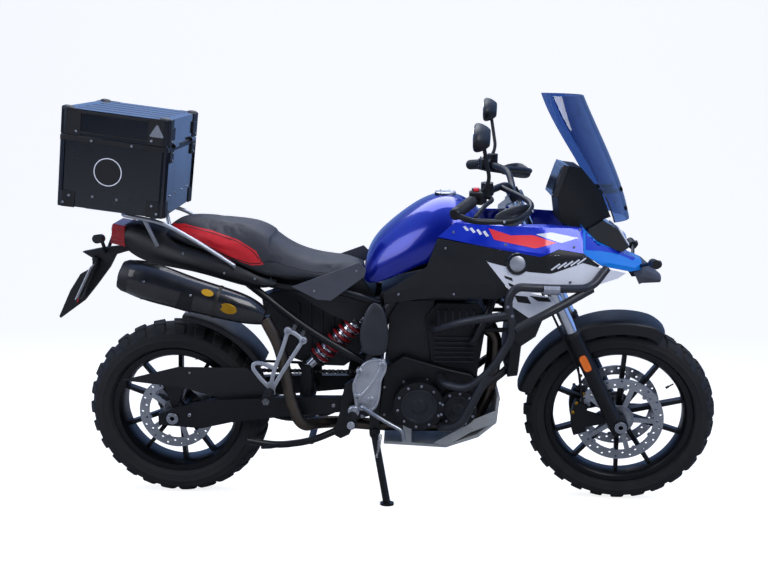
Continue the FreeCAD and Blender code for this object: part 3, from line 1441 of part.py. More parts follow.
def build_screen():
    """The tinted screen: curved across, in sections from its foot to its top."""
    sections = []
    for back, front, half, height in SCREEN_SHARES:
        edge = spot((back, half, height))
        nose = spot((front, 0, height))
        other = Vector(edge.x, -edge.y, edge.z)
        wall = Vector(size.screen_wall, 0, 0)
        outer = Part.Arc(edge, nose, other).toShape()
        inner = Part.Arc(other - wall, nose - wall, edge - wall).toShape()
        far_end = Part.LineSegment(other, other - wall).toShape()
        near_end = Part.LineSegment(edge - wall, edge).toShape()
        sections.append(Part.Wire([outer, far_end, inner, near_end]))
    shaped("windscreen", loft(sections))


COCKPIT_SHARES = [(1.31, 1.02), (1.36, 1.0003), (1.4, 1.0003), (1.45, 1.0303), (1.475, 1.04), (1.44, 1.12),
                  (1.37, 1.2), (1.3305, 1.205), (1.2975, 1.1)]
DISPLAY_SHARES = [(1.278, 1.105), (1.2972, 1.1), (1.3302, 1.205), (1.311, 1.21)]
SCREEN_STAY_SHARES = [(1.43, 0.3, 1.12), (1.6, 0.3, 1.13)]

COCKPIT_HALF_SHARE = 0.4
DISPLAY_HALF_SHARE = 0.42


def build_cockpit():
    """The display and the dark pod behind the screen."""
    pod = side_prism(COCKPIT_SHARES, across(-COCKPIT_HALF_SHARE), across(COCKPIT_HALF_SHARE))
    stays = [rod(*spots(SCREEN_STAY_SHARES, side), size.rack_bar_radius) for side in (-1, 1)]
    shaped("cockpit", largest(joined([pod] + stays).cut(upright["windscreen"])))
    shaped("display", side_prism(DISPLAY_SHARES, across(-DISPLAY_HALF_SHARE), across(DISPLAY_HALF_SHARE)))


# Luggage


BOX_BASE_SHARES = (-0.15, 1.058)
RACK_PLATE_SHARES = (0.62, 0.62)
RACK_RAIL_SHARES = [(-0.14, 0.3, 1.047), (-0.12, 0.68, 1.043), (-0.01, 0.7, 1.018), (0.1, 0.7, 0.957),
                    (0.235, 0.66, 0.868)]
GRAB_SHARES = [(0.0, 0.7, 1.014), (0.05, 0.74, 1.046), (0.09, 0.74, 1.046), (0.14, 0.7, 0.93)]


def box_frame():
    """The placement of the top box: its tilt and its base's middle."""
    a, c = BOX_BASE_SHARES
    return Placement(spot((a, 0, c)), Rotation(Vector(0, 1, 0), size.box_tilt_angle))


def open_box(name, height, side):
    """A box open at one end of Z: a pad with a pocket that leaves the wall."""
    body = doc.addObject("PartDesign::Body", name)
    half_long = size.box_length / 2
    half_wide = size.box_width / 2
    corners = [(-half_long, -half_wide), (half_long, -half_wide), (half_long, half_wide),
               (-half_long, half_wide)]
    outline = outline_sketch(body, name + "Outline", "XY_Plane", corners)
    pad = body.newObject("PartDesign::Pad", name + "Walls")
    pad.Profile = outline
    bind(pad, Length=height)
    pad.Reversed = side < 0
    wall = size.box_wall
    inner = [(-half_long + wall, -half_wide + wall), (half_long - wall, -half_wide + wall),
             (half_long - wall, half_wide - wall), (-half_long + wall, half_wide - wall)]
    hollow = outline_sketch(body, name + "HollowOutline", "XY_Plane", inner)
    pocket = body.newObject("PartDesign::Pocket", name + "Hollow")
    pocket.Profile = hollow
    pocket.Reversed = side > 0
    bind(pocket, Length=height - wall)
    return body


def build_luggage():
    """Rack, grab bars and the top box with its lid."""
    rack = [tube(spots(RACK_RAIL_SHARES, side), size.rack_bar_radius) for side in (-1, 1)]
    rack += [tube(spots(GRAB_SHARES, side), size.rack_bar_radius) for side in (-1, 1)]
    long, wide = size.box_length * RACK_PLATE_SHARES[0], size.box_width * RACK_PLATE_SHARES[1]
    plate = Part.makeBox(long, wide, size.rack_bar_radius, Vector(-long / 2, -wide / 2, 0))
    plate.Placement = box_frame().multiply(
        Placement(Vector(0, 0, -size.rack_bar_radius - size.fit_gap), Rotation()))
    base = Part.makeBox(size.box_length * 2, size.box_width, size.box_height,
                        Vector(-size.box_length / 2, -size.box_width / 2, -size.fit_gap))
    base.Placement = box_frame()
    shaped("luggage_rack", joined(rack + [plate]).cut(base))
    rim = box_frame().multiply(Placement(Vector(0, 0, size.box_height), Rotation()))
    shell = [open_box("BoxBody", size.box_height, -1)] + knuckles("Shell", SHELL_KNUCKLE_SHARES, -1)
    body = fused("BoxShell", shell)
    keep("box_body", body, leaning, rim)
    cover = [open_box("BoxLid", size.lid_height, 1)] + knuckles("Lid", LID_KNUCKLE_SHARES, 1)
    lid = fused("LidShell", cover)
    keep("box_lid", lid, leaning, rim.multiply(Placement(Vector(0, 0, size.fit_gap), Rotation())))


HINGE_SHARES = (-0.3, 0.3)
SHELL_KNUCKLE_SHARES = [(-0.06, -0.032), (0.032, 0.06)]
LID_KNUCKLE_SHARES = [(-0.03, 0.03)]


def knuckles(name, places, side):
    """Hinge barrels on a box's front edge, with leaves down to the shell (-1) or up to the lid (1)."""
    items = []
    radius = size.box_hinge_radius
    front = size.box_length / 2
    axis_height = Vector(0, 0, 0) if side < 0 else Vector(0, 0, -size.fit_gap)
    leaf_foot = Vector(0, 0, -radius) if side < 0 else Vector(0, 0, 0)
    for hinge in HINGE_SHARES:
        for first, last in places:
            long = size.box_width * (last - first)
            start = Vector(front, size.box_width * (hinge + first), 0)
            label = f"{name}Knuckle{len(items)}"
            items.append(primitive("Cylinder", label, start + Vector(radius, 0, 0) + axis_height,
                                   Vector(0, 1, 0), Radius=radius, Height=long))
            items.append(primitive("Box", label + "Leaf", start + leaf_foot,
                                   Length=radius, Width=long, Height=radius))
    return items


# Stands and footrests


SIDE_STAND_SHARES = (0.702, -0.72, 0.286)
CENTRE_PIVOT_SHARES = (0.585, 0.29)
CENTRE_LEG_SHARES = [(0.585, 0.57, 0.29), (0.48, 0.57, 0.24), (0.36, 0.62, 0.226), (0.26, 0.72, 0.252)]
CENTRE_TANG_SHARES = [(0.37, -0.62, 0.227), (0.35, -0.85, 0.24), (0.32, -0.98, 0.25)]

STAND_FOOT_SHARE = 0.748
CENTRE_BOSS_SHARE = 1.2


def build_stands():
    """Side stand down, on its foot; centre stand folded up under the swingarm."""
    pivot = spot(SIDE_STAND_SHARES)
    foot_height = (size.stand_reach * math.sin(lean) - lift) / math.cos(lean)
    foot = Vector(along(STAND_FOOT_SHARE), -size.stand_reach, foot_height)
    down = Vector(0, math.sin(lean), math.cos(lean))
    pad = Part.makeCylinder(size.stand_foot_radius, size.stand_foot_thickness, foot, down)
    leg = rod(pivot, foot + down * (size.stand_foot_thickness / 2), size.stand_leg_radius)
    half = Vector(0, size.pin_radius, 0)
    eye = rod(pivot - half, pivot + half, size.stand_pivot_radius)
    inner_side = Vector(0, size.pin_radius, 0)
    room = Part.makeBox(size.body_half_width, size.body_half_width, size.body_half_width,
                        pivot + inner_side - Vector(size.body_half_width / 2, 0, size.body_half_width / 2))
    hole = rod(pivot - half * 3, pivot + half * 3, size.pin_radius + size.fit_gap)
    shaped("side_stand", joined([pad, leg, eye]).cut([room, hole]))
    legs = []
    a, c = CENTRE_PIVOT_SHARES
    for side in (-1, 1):
        legs.append(tube(spots(CENTRE_LEG_SHARES, side), size.centre_tube_radius))
        outer = Vector(along(a), side * (plate_place(0) - size.fit_gap), above(c))
        inner = outer - Vector(0, side * size.centre_tube_radius * 2, 0)
        legs.append(rod(inner, outer, size.centre_tube_radius * CENTRE_BOSS_SHARE))
    a, b, c = CENTRE_LEG_SHARES[1]
    legs.append(rod(spot((a, -b, c)), spot((a, b, c)), size.centre_tube_radius))
    legs.append(tube(spots(CENTRE_TANG_SHARES), size.pin_radius))
    a, c = CENTRE_PIVOT_SHARES
    reach = Vector(0, plate_place(1), 0)
    middle = spot((a, 0, c))
    hole = rod(middle - reach, middle + reach, size.pin_radius + size.fit_gap)
    shaped("centre_stand", joined(legs).cut(hole))


BRACKET_SHARES = [(0.62, 0.47), (0.66, 0.555), (0.744, 0.57), (0.745, 0.46), (0.71, 0.375), (0.64, 0.375)]
BRACKET_BOSS_SHARES = [(0.645, 0.43), (0.69, 0.42)]
PEG_SHARES = (0.63, 0.372)
PASSENGER_BRACKET_SHARES = [(0.405, 0.67), (0.42, 0.675), (0.475, 0.63), (0.462, 0.615), (0.42, 0.64),
                            (0.375, 0.5), (0.365, 0.44), (0.34, 0.44), (0.3, 0.54), (0.33, 0.555),
                            (0.36, 0.49)]
PASSENGER_BOSS_SHARES = [(0.43, 0.658), (0.458, 0.638)]
PASSENGER_PEG_SHARES = (0.35, 0.447)
PEDAL_SHARES = [(0.655, 0.85, 0.4), (0.66, 0.93, 0.4), (0.72, 1.05, 0.37), (0.8, 1.1, 0.328),
                (0.804, 1.1, 0.295)]
BRACKET_PLACE_SHARE = 0.7
BRACKET_WIDTH_SHARE = 1.6
PEG_END_SHARE = 1.45
PASSENGER_PLACE_SHARE = 0.93
PASSENGER_BOSS_END_SHARES = (0.5, 0.94)
PASSENGER_PEG_END_SHARES = (0.94, 1.4)


def build_footrests():
    """Plates on their bosses, pegs and the foot levers."""
    plates = []
    levers = []
    start = across(BRACKET_PLACE_SHARE) + size.beam_radius + size.fit_gap
    for side in (-1, 1):
        ends = sorted((side * start, side * (start + size.bracket_thickness * BRACKET_WIDTH_SHARE)))
        outer = ends[0] if side < 0 else ends[1]
        pieces = [side_prism(BRACKET_SHARES, *ends)]
        for a, c in BRACKET_BOSS_SHARES:
            base = Vector(along(a), side * plate_place(1), above(c))
            pieces.append(rod(base, Vector(base.x, outer, base.z), size.boss_radius))
        a, c = PEG_SHARES
        pieces.append(rod(Vector(along(a), side * start, above(c)), spot((a, side * PEG_END_SHARE, c)),
                          size.peg_radius))
        plates.append(joined(pieces).cut(upright["main_frame"]))
        lever = tube(spots(PEDAL_SHARES, side), size.lever_radius)
        levers.append(lever.cut(plates[-1]))
    footrests = plates
    shaped("foot_levers", Part.makeCompound(levers))
    plates = []
    for side in (-1, 1):
        base = across(side * PASSENGER_PLACE_SHARE)
        ends = sorted((base, base + side * size.bracket_thickness))
        pieces = [side_prism(PASSENGER_BRACKET_SHARES, *ends)]
        for a, c in PASSENGER_BOSS_SHARES:
            ends = [spot((a, side * b, c)) for b in PASSENGER_BOSS_END_SHARES]
            pieces.append(rod(*ends, size.lever_radius))
        a, c = PASSENGER_PEG_SHARES
        ends = [spot((a, side * b, c)) for b in PASSENGER_PEG_END_SHARES]
        pieces.append(rod(*ends, size.peg_radius))
        plates.append(joined(pieces).cut(upright["rear_subframe"]))
    shaped("footrests", Part.makeCompound(footrests + plates))


GUARD_BAR_SHARES = [
    [(0.925, 0.64, 0.49), (0.93, 0.97, 0.49), (1.01, 1.2, 0.487), (1.085, 1.4, 0.569), (1.15, 1.5, 0.7),
     (1.122, 1.5, 0.8),
     (1.145, 1.5, 0.852), (1.257, 1.45, 0.845), (1.398, 1.1, 0.83), (1.452, 0.9, 0.888)],
    [(0.895, 0.51, 0.66), (0.895, 0.85, 0.665), (0.98, 1.25, 0.72), (1.13, 1.5, 0.76)],
    [(1.15, 1.5, 0.712), (1.26, 1.4, 0.765), (1.4, 1.1, 0.829)],
    [(0.925, 0.64, 0.326), (0.93, 0.97, 0.328), (0.99, 1.22, 0.36), (1.075, 1.37, 0.553)],
]


def build_guard_bars():
    """The crash bars on both sides."""
    held = [upright["engine_covers"], upright["lower_panels"]]
    for table, share in ((CRANKCASE_SHARES, CASE_WIDTH_SHARE), (CYLINDER_SHARES, BLOCK_WIDTH_SHARE)):
        held.append(side_prism(table, across(-share / 2), across(share / 2)))
    loops = []
    for side in (-1, 1):
        bars = [tube(spots(table, side), size.guard_bar_radius) for table in GUARD_BAR_SHARES]
        loops.append(joined(bars).cut(held))
    shaped("guard_bars", Part.makeCompound(loops))


TAIL_LAMP_SHARES = [(-0.2, 0.925), (-0.1503, 0.912), (-0.1503, 0.985), (-0.19, 0.992)]
PLATE_HOLDER_SHARES = [(-0.318, 0.883), (-0.247, 0.898), (-0.15, 0.909), (-0.14, 0.893), (-0.2, 0.875),
                       (-0.225, 0.829), (-0.277, 0.762), (-0.323, 0.707), (-0.411, 0.643), (-0.416, 0.65),
                       (-0.37, 0.744), (-0.33, 0.804), (-0.286, 0.828), (-0.284, 0.862)]
FRONT_INDICATOR_SHARES = [(1.59, 0.3, 0.872), (1.607, 0.72, 0.9), (1.607, 0.96, 0.905)]
REAR_INDICATOR_SHARES = [(-0.235, 0.05, 0.885), (-0.225, 0.4, 0.945), (-0.222, 0.66, 0.953)]

TAIL_LAMP_HALF_SHARE = 0.3
HOLDER_HALF_SHARE = 0.05


def build_tail():
    """Tail lamp, number plate holder and the four indicators."""
    lamp_ends = [across(side * TAIL_LAMP_HALF_SHARE) for side in (-1, 1)]
    shaped("tail_lamp", side_prism(TAIL_LAMP_SHARES, *lamp_ends))
    holder_ends = [across(side * HOLDER_HALF_SHARE) for side in (-1, 1)]
    shaped("plate_holder", side_prism(PLATE_HOLDER_SHARES, *holder_ends))


def build_indicators():
    """Four indicators on their stalks."""
    lamps = []
    carriers = {True: ["beak", "grey_panels"], False: ["plate_holder", "tail_cover"]}
    for front, table in ((True, FRONT_INDICATOR_SHARES), (False, REAR_INDICATOR_SHARES)):
        for side in (-1, 1):
            root, neck, tip = spots(table, side)
            stalk = rod(root, neck, size.lamp_stalk_radius)
            lamp = rod(neck, tip, size.lamp_radius)
            held = [upright[name] for name in carriers[front]]
            lamps.append(largest(joined([stalk, lamp]).cut(held)))
    shaped("indicators", Part.makeCompound(lamps))


HOSE_PLACE_SHARES = [(-1.71, 0.72, 0.17), (-1.1, 0.95, 0.26), (-0.2, 1.0, 0.4), (-0.2, 1.0, 1.0)]


def build_hoses():
    """Front brake hoses, from each caliper up the inside of its leg to the lower clamp."""
    hoses = []
    top = climb(above(LOWER_CLAMP_SHARE))
    half = size.leg_spacing / 2
    for side in (-1, 1):
        points = [across_steering(size.leg_offset * ahead, side * half * beside, top * up)
                  for ahead, beside, up in HOSE_PLACE_SHARES]
        hose = tube(points, size.hose_radius)
        hoses.append(hose.cut([upright["front_calipers"], upright["fork_clamps"]]))
    shaped("brake_hoses", Part.makeCompound(hoses), steered)


def main():
    """Builds every piece, checks it and writes it to its own file."""
    build_wheels()
    build_fork()
    build_front_brakes()
    build_front_fender()
    build_handlebar()
    build_hoses()
    build_frame()
    build_engine()
    build_front_of_engine()
    build_rear_end()
    build_chain()
    build_exhaust()
    build_luggage()
    build_tail()
    build_bodywork()
    build_screen()
    build_cockpit()
    build_stands()
    build_footrests()
    build_guard_bars()
    build_indicators()
    doc.recompute()
    set_origin()
    doc.recompute()
    check()
    write()


def set_origin():
    """Moves every piece so that the origin lies under the middle of the whole, on the floor."""
    bounds = FreeCAD.BoundBox()
    for item in nodes.values():
        bounds.add(item.Shape.optimalBoundingBox(False, False))
    middle = bounds.Center
    shift = Placement(Vector(-middle.x, -middle.y, -bounds.ZMin), Rotation())
    for item in nodes.values():
        item.Placement = shift.multiply(item.Placement)


def check():
    """Stops if an object failed to recompute, or a piece has no valid shape."""
    for item in doc.Objects:
        if "Invalid" in item.State or "Error" in item.State:
            raise ValueError(f"{item.Name} failed to recompute")
    for node, item in nodes.items():
        if item.Shape.isNull() or not item.Shape.isValid():
            raise ValueError(f"{node} has no valid shape")


def write():
    """Writes each piece to its own file."""
    os.makedirs("parts", exist_ok=True)
    for node, item in nodes.items():
        item.Shape.exportStep(f"parts/{node}.step")


main()
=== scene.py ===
"""Looks of an adventure motorcycle that leans on its side stand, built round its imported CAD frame.

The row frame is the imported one, in metres, with the machine leaning on its stand. Most pieces are laid out in
millimetres of the bike's own upright frame (x forward from under the rear axle, y to its left, z up from the
floor) and then leaned with it. Hand is 1 on the left and -1 on the right.
"""

import json
import logging
import math
from dataclasses import dataclass, field
from enum import Enum
from typing import Callable, ClassVar, Optional

import bmesh
import bpy
import numpy as np
from mathutils import Matrix, Vector
from mathutils.bvhtree import BVHTree

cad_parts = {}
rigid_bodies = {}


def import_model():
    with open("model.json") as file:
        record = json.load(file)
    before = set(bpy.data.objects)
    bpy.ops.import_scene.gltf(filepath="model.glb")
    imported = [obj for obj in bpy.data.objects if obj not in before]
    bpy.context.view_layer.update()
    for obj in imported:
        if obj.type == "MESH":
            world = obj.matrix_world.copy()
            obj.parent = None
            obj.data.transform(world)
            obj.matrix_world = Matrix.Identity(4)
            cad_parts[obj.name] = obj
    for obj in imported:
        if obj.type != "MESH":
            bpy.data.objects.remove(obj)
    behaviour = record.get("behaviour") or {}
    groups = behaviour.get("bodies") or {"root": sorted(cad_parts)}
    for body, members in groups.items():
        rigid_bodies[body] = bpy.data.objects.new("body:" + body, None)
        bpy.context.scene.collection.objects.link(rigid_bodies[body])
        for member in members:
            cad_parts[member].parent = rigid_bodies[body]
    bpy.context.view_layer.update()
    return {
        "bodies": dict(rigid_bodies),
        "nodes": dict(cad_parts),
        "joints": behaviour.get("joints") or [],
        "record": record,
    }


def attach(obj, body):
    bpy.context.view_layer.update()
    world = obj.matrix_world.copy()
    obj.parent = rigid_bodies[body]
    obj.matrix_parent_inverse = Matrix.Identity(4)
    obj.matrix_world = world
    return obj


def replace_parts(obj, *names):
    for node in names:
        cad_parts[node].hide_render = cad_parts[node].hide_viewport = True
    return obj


LOG = logging.getLogger("adventure_motorcycle")
MM = 0.001
IMAGE_WIDTH = 768  # pixels, the unit of the camera's focal length
WELD = 1e-6  # metres: corners of a new piece that are this near are one
SPECK = 1e-7  # metres: an edge shorter than this has no length
CAD_WELD = 2e-5  # metres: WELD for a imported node, whose triangles come loose
FLAT_TURN = math.radians(0.4)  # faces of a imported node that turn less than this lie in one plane
FRONT_AXLE = (1559.0, 0.0, 327.9)  # millimetres of the upright frame, with straight steering
REAR_AXLE = (0.0, 0.0, 322.0)


# Stance


@dataclass
class Stance:
    """How the machine stands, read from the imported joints: its lean, its wheels and its turned fork."""

    frame: dict
    lean: float = math.radians(11.0)
    steer: float = math.radians(-7.0)
    rear_radius: float = 0.322
    joints: dict = field(init=False)
    origin: np.ndarray = field(init=False)
    tilt: np.ndarray = field(init=False)
    head: np.ndarray = field(init=False)
    swing: np.ndarray = field(init=False)

    def __post_init__(self) -> None:
        """Places the upright frame so that the rear axle meets its packed joint, and finds the fork's turn."""
        turn = self.lean
        self.tilt = np.array([[1, 0, 0], [0, math.cos(turn), -math.sin(turn)], [0, math.sin(turn), math.cos(turn)]])
        self.joints = {joint["name"]: joint for joint in self.frame["record"]["behaviour"]["joints"]}
        axle = np.array(self.joints["rear_wheel_spin"]["pos_m"])
        self.origin = axle - self.tilt @ np.array([0, 0, self.rear_radius])
        self.head = np.array(self.joints["steering_turn"]["pos_m"])
        self.swing = self.turning(np.array(self.joints["steering_turn"]["axis"]), self.steer)

    @staticmethod
    def turning(axis: np.ndarray, angle: float) -> np.ndarray:
        """The matrix that turns by an angle a about an axis: I + sin a * K + (1 - cos a) * K * K.

        K is the matrix of the cross product with the axis.

        Args:
            axis: direction of the axis.
            angle: turn in radians.

        Returns:
            The rotation matrix.
        """
        x, y, z = axis / np.linalg.norm(axis)
        cross = np.array([[0, -z, y], [z, 0, -x], [-y, x, 0]])
        return np.eye(3) + math.sin(angle) * cross + (1 - math.cos(angle)) * cross @ cross

    def leaned(self, points: np.ndarray) -> np.ndarray:
        """Points of the upright bike frame, leaned into the row frame."""
        return np.asarray(points, float) @ self.tilt.T + self.origin

    def upright(self, points: np.ndarray) -> np.ndarray:
        """Points of the row frame, taken back to the upright bike frame."""
        return (np.asarray(points, float) - self.origin) @ self.tilt

    def steered(self, points: np.ndarray) -> np.ndarray:
        """Points of the upright frame with straight steering, leaned and turned with the fork."""
        return (self.leaned(points) - self.head) @ self.swing.T + self.head

    def bike(self, points: np.ndarray) -> np.ndarray:
        """Millimetre points of the upright frame, leaned into the row frame."""
        return self.leaned(np.asarray(points, float) * MM)

    def fork(self, points: np.ndarray) -> np.ndarray:
        """Millimetre points of the upright frame with straight steering, leaned and turned with the fork."""
        return self.steered(np.asarray(points, float) * MM)


# Finishes


class Pattern(Enum):
    """How a surface was made, which sets the pattern that the eye reads on it."""

    MOULDED = "fine even grain of a moulded plastic"
    CAST = "coarse skin of a sand or die casting"
    BRUSHED = "long fine scratches along one way"
    PAINTED = "smooth sprayed coat with a faint ripple"
    FLAKE = "clear coat over metal flakes"
    HIDE = "pebbled grain of vinyl or leather"
    DUSTY = "dull skin with dust in patches"


def linear(text: str) -> tuple[float, float, float, float]:
    """An sRGB hex colour as linear RGBA.

    Args:
        text: a colour such as "#1a2b3c".

    Returns:
        The four linear channels, alpha last.
    """
    channels = [int(text[i:i + 2], 16) / 255 for i in (1, 3, 5)]
    return tuple(c / 12.92 if c <= 0.04045 else ((c + 0.055) / 1.055) ** 2.4 for c in channels) + (1.0,)


def add(tree: bpy.types.NodeTree, kind: str, inputs: Optional[dict] = None, **settings: object) -> bpy.types.Node:
    """Adds one node with its settings, and links or sets its inputs.

    Args:
        tree: the material's or world's node tree.
        kind: the node's type name.
        inputs: input name or number to a value, or to an output socket to link.
        settings: attributes of the node.

    Returns:
        The new node.
    """
    node = tree.nodes.new(kind)
    for key, value in settings.items():
        setattr(node, key, value)
    for key, value in (inputs or {}).items():
        if isinstance(value, bpy.types.NodeSocket):
            tree.links.new(value, node.inputs[key])
        else:
            node.inputs[key].default_value = value
    return node


@dataclass(frozen=True)
class Finish:
    """One finish: what the material is, how it was made and how it is worn.

    The second colour shows in soft patches of patch_mm. grain_mm is the size of the pattern and relief_mm its
    depth. Flakes, moulded grain, casting skin and brush lines are a tenth to half a millimetre in truth, too
    fine to show at this distance, so they are drawn up to ten times as coarse. Vinyl grain has its real size.
    """

    name: str
    colour: str
    worn: str
    roughness: float
    pattern: Pattern = Pattern.MOULDED
    metallic: float = 0.0
    grain_mm: float = 1.5
    relief_mm: float = 0.05
    patch_mm: float = 60.0
    coat: float = 0.0
    spread: float = 0.08
    clear: float = 0.0
    ior: float = 1.5

    def material(self) -> bpy.types.Material:
        """The finish's material, made once.

        Returns:
            The material, which every piece of this finish shares.
        """
        known = bpy.data.materials.get(self.name)
        if known:
            return known
        made = bpy.data.materials.new(self.name)
        made.use_nodes = True
        tree = made.node_tree
        tree.nodes.clear()
        place = add(tree, "ShaderNodeTexCoord").outputs["Object"]
        patches = add(tree, "ShaderNodeTexNoise", {"Vector": place, "Scale": 1 / (self.patch_mm * MM),
                                                   "Detail": 4.0, "Roughness": 0.6})
        grain = self.grain(tree, place)
        colour = self.tone(tree, patches.outputs["Fac"], grain)
        shade = add(tree, "ShaderNodeMapRange", {"Value": patches.outputs["Fac"], "From Min": 0.3, "From Max": 0.7,
                                                 "To Min": max(self.roughness - self.spread, 0.02),
                                                 "To Max": min(self.roughness + self.spread, 1.0)})
        bump = add(tree, "ShaderNodeBump", {"Height": grain, "Distance": self.relief_mm * MM, "Strength": 0.6})
        shader = add(tree, "ShaderNodeBsdfPrincipled", {"Base Color": colour, "Metallic": self.metallic,
                                                        "Roughness": shade.outputs["Result"],
                                                        "Normal": bump.outputs["Normal"]})
        if self.metallic < 1:
            shader.inputs["IOR"].default_value = self.ior
        shader.inputs["Coat Weight"].default_value = self.coat
        shader.inputs["Coat Roughness"].default_value = 0.04
        shader.inputs["Transmission Weight"].default_value = self.clear
        add(tree, "ShaderNodeOutputMaterial", {"Surface": shader.outputs["BSDF"]})
        return made

    def grain(self, tree: bpy.types.NodeTree, place: bpy.types.NodeSocket) -> bpy.types.NodeSocket:
        """The height of the surface's own pattern, at its real size.

        Args:
            tree: the material's node tree.
            place: Object coordinates.

        Returns:
            A socket with the height, about nought to one.
        """
        scale = 1 / (self.grain_mm * MM)
        if self.pattern is Pattern.HIDE:
            cells = add(tree, "ShaderNodeTexVoronoi", {"Vector": place, "Scale": scale}, feature="SMOOTH_F1")
            return cells.outputs["Distance"]
        if self.pattern is Pattern.BRUSHED:
            long = add(tree, "ShaderNodeMapping", {"Vector": place, "Scale": (0.05, 1.0, 1.0)})
            place = long.outputs["Vector"]
        return add(tree, "ShaderNodeTexNoise", {"Vector": place, "Scale": scale, "Detail": 3.0}).outputs["Fac"]

    def tone(self, tree: bpy.types.NodeTree, patches: bpy.types.NodeSocket,
             grain: bpy.types.NodeSocket) -> bpy.types.NodeSocket:
        """The colour: the clean one, with the worn one in patches and, on flakes, in sparks.

        Args:
            tree: the material's node tree.
            patches: the noise that wear follows.
            grain: the height of the surface's pattern.

        Returns:
            A socket with the colour.
        """
        amount = add(tree, "ShaderNodeMapRange", {"Value": patches, "From Min": 0.42, "From Max": 0.75,
                                                  "To Min": 0.0, "To Max": 0.85}).outputs["Result"]
        if self.pattern in (Pattern.FLAKE, Pattern.CAST, Pattern.BRUSHED):
            fine = add(tree, "ShaderNodeMapRange", {"Value": grain, "From Min": 0.4, "From Max": 0.7,
                                                    "To Min": 0.0, "To Max": 0.35}).outputs["Result"]
            amount = add(tree, "ShaderNodeMath", {0: amount, 1: fine}, operation="MAXIMUM").outputs["Value"]
        mix = add(tree, "ShaderNodeMix", {"Factor": amount, "A": linear(self.colour), "B": linear(self.worn)},
                  data_type="RGBA")
        return mix.outputs["Result"]


# Clear coat over blue flakes on steel: deep and wet, with sparks where a lamp strikes it.
ENAMEL_BLUE = Finish("metallic_blue_lacquer", "#061ea0", "#071888", 0.22, Pattern.FLAKE, 0.35, 0.4, 0.01, 240, 0.6)
# The same coat on ABS panels: a little brighter, as thin panels take less of it.
PANEL_BLUE = Finish("blue_panel_lacquer", "#0a2fc8", "#0a28b4", 0.24, Pattern.FLAKE, 0.3, 0.4, 0.01, 240, 0.6)
# Plain bright blue lacquer: one flat tone with a sharp line of light along each crease.
BEAK_BLUE = Finish("bright_blue_lacquer", "#0a86ea", "#0a78dc", 0.24, Pattern.PAINTED, 0.1, 3.0, 0.01, 240, 0.6)
# White lacquer on ABS: clean, with a cool cast in the shade and a soft clear-coat shine.
PANEL_WHITE = Finish("white_lacquer", "#e9ebf3", "#dcdfe8", 0.3, Pattern.PAINTED, 0.0, 3.0, 0.01, 200, 0.7)
# Red film under lacquer: even colour that shines like the panel round it.
STRIPE_RED = Finish("red_lacquer_film", "#ff2a33", "#ee222b", 0.32, Pattern.PAINTED, 0.0, 3.0, 0.01, 120, 0.6)
# Spark-eroded black ABS: a fine grain that breaks its shine into a grey bloom.
BLACK_ABS = Finish("grained_black_abs", "#090a0c", "#101114", 0.5, Pattern.MOULDED, 0.0, 1.4, 0.06, 90)
# The same grained ABS coloured grey in the mass: matt and even.
GREY_ABS = Finish("grained_grey_abs", "#4a4c55", "#40424a", 0.55, Pattern.MOULDED, 0.0, 1.4, 0.06, 90)
# Hard-coated black glass or acrylic: near mirror, nothing seen below the surface.
GLOSS_BLACK = Finish("polished_black_glass", "#08090b", "#0d0e12", 0.12, Pattern.PAINTED, 0.0, 2.0, 0.005, 80, 0.6)
# Powder coat on steel tube: satin black with the faint ripple of a baked coat.
FRAME_BLACK = Finish("satin_black_powder_coat", "#08090b", "#0f1012", 0.4, Pattern.PAINTED, 0.15, 2.5, 0.03, 70)
# Black coat on die-cast aluminium: rough skin whose high spots catch a metal glint.
CAST_BLACK = Finish("black_coated_casting", "#0b0c0e", "#131316", 0.46, Pattern.CAST, 0.3, 1.2, 0.12, 50)
# Wheel enamel on cast aluminium: smooth satin black with a soft edge of light.
WHEEL_BLACK = Finish("satin_black_wheel_enamel", "#07080a", "#0d0e10", 0.32, Pattern.PAINTED, 0.25, 2.0, 0.02, 60)
# Vulcanised tyre rubber: dull charcoal, browned where road dust has stayed.
TYRE_RUBBER = Finish("tyre_rubber", "#0f0f10", "#24221f", 0.8, Pattern.DUSTY, 0.0, 1.8, 0.12, 45)
# Moulded nitrile rubber: dull black with a slight sheen on bends.
SOFT_RUBBER = Finish("moulded_rubber", "#0c0c0d", "#161617", 0.62, Pattern.MOULDED, 0.0, 1.0, 0.06, 30)
# Black seat vinyl: pebbled, a little glossier than the top cover.
SEAT_BAND = Finish("black_seat_vinyl", "#0c0d0f", "#131416", 0.5, Pattern.HIDE, 0.0, 2.0, 0.12, 60)
# Dark grey grip vinyl: coarse pebbles that keep it matt from every side.
SEAT_VINYL = Finish("dark_grey_seat_vinyl", "#2a2b31", "#33343a", 0.62, Pattern.HIDE, 0.0, 2.4, 0.16, 80)
# Red vinyl with the same pebbles: strong colour, soft highlights on the swell.
SEAT_RED = Finish("red_seat_vinyl", "#d8202a", "#c81c26", 0.5, Pattern.HIDE, 0.0, 2.4, 0.14, 80)
# Grey powder coat on steel tube: satin, with a long soft line of light down each bar.
BAR_GREY = Finish("dark_grey_powder_coat", "#26272b", "#303136", 0.42, Pattern.PAINTED, 0.2, 2.5, 0.03, 60)
# Shot-blasted cast aluminium: pale metal with a fine rough skin and no mirror.
CAST_SILVER = Finish("cast_aluminium", "#c3c5ca", "#a6a8ad", 0.4, Pattern.CAST, 0.85, 1.0, 0.08, 40)
# Rolled and brushed aluminium sheet: pale grey, its shine drawn out along the scratches.
SKID_GREY = Finish("brushed_skid_plate", "#b4b5b2", "#9b9c9a", 0.45, Pattern.BRUSHED, 0.45, 1.4, 0.05, 60)
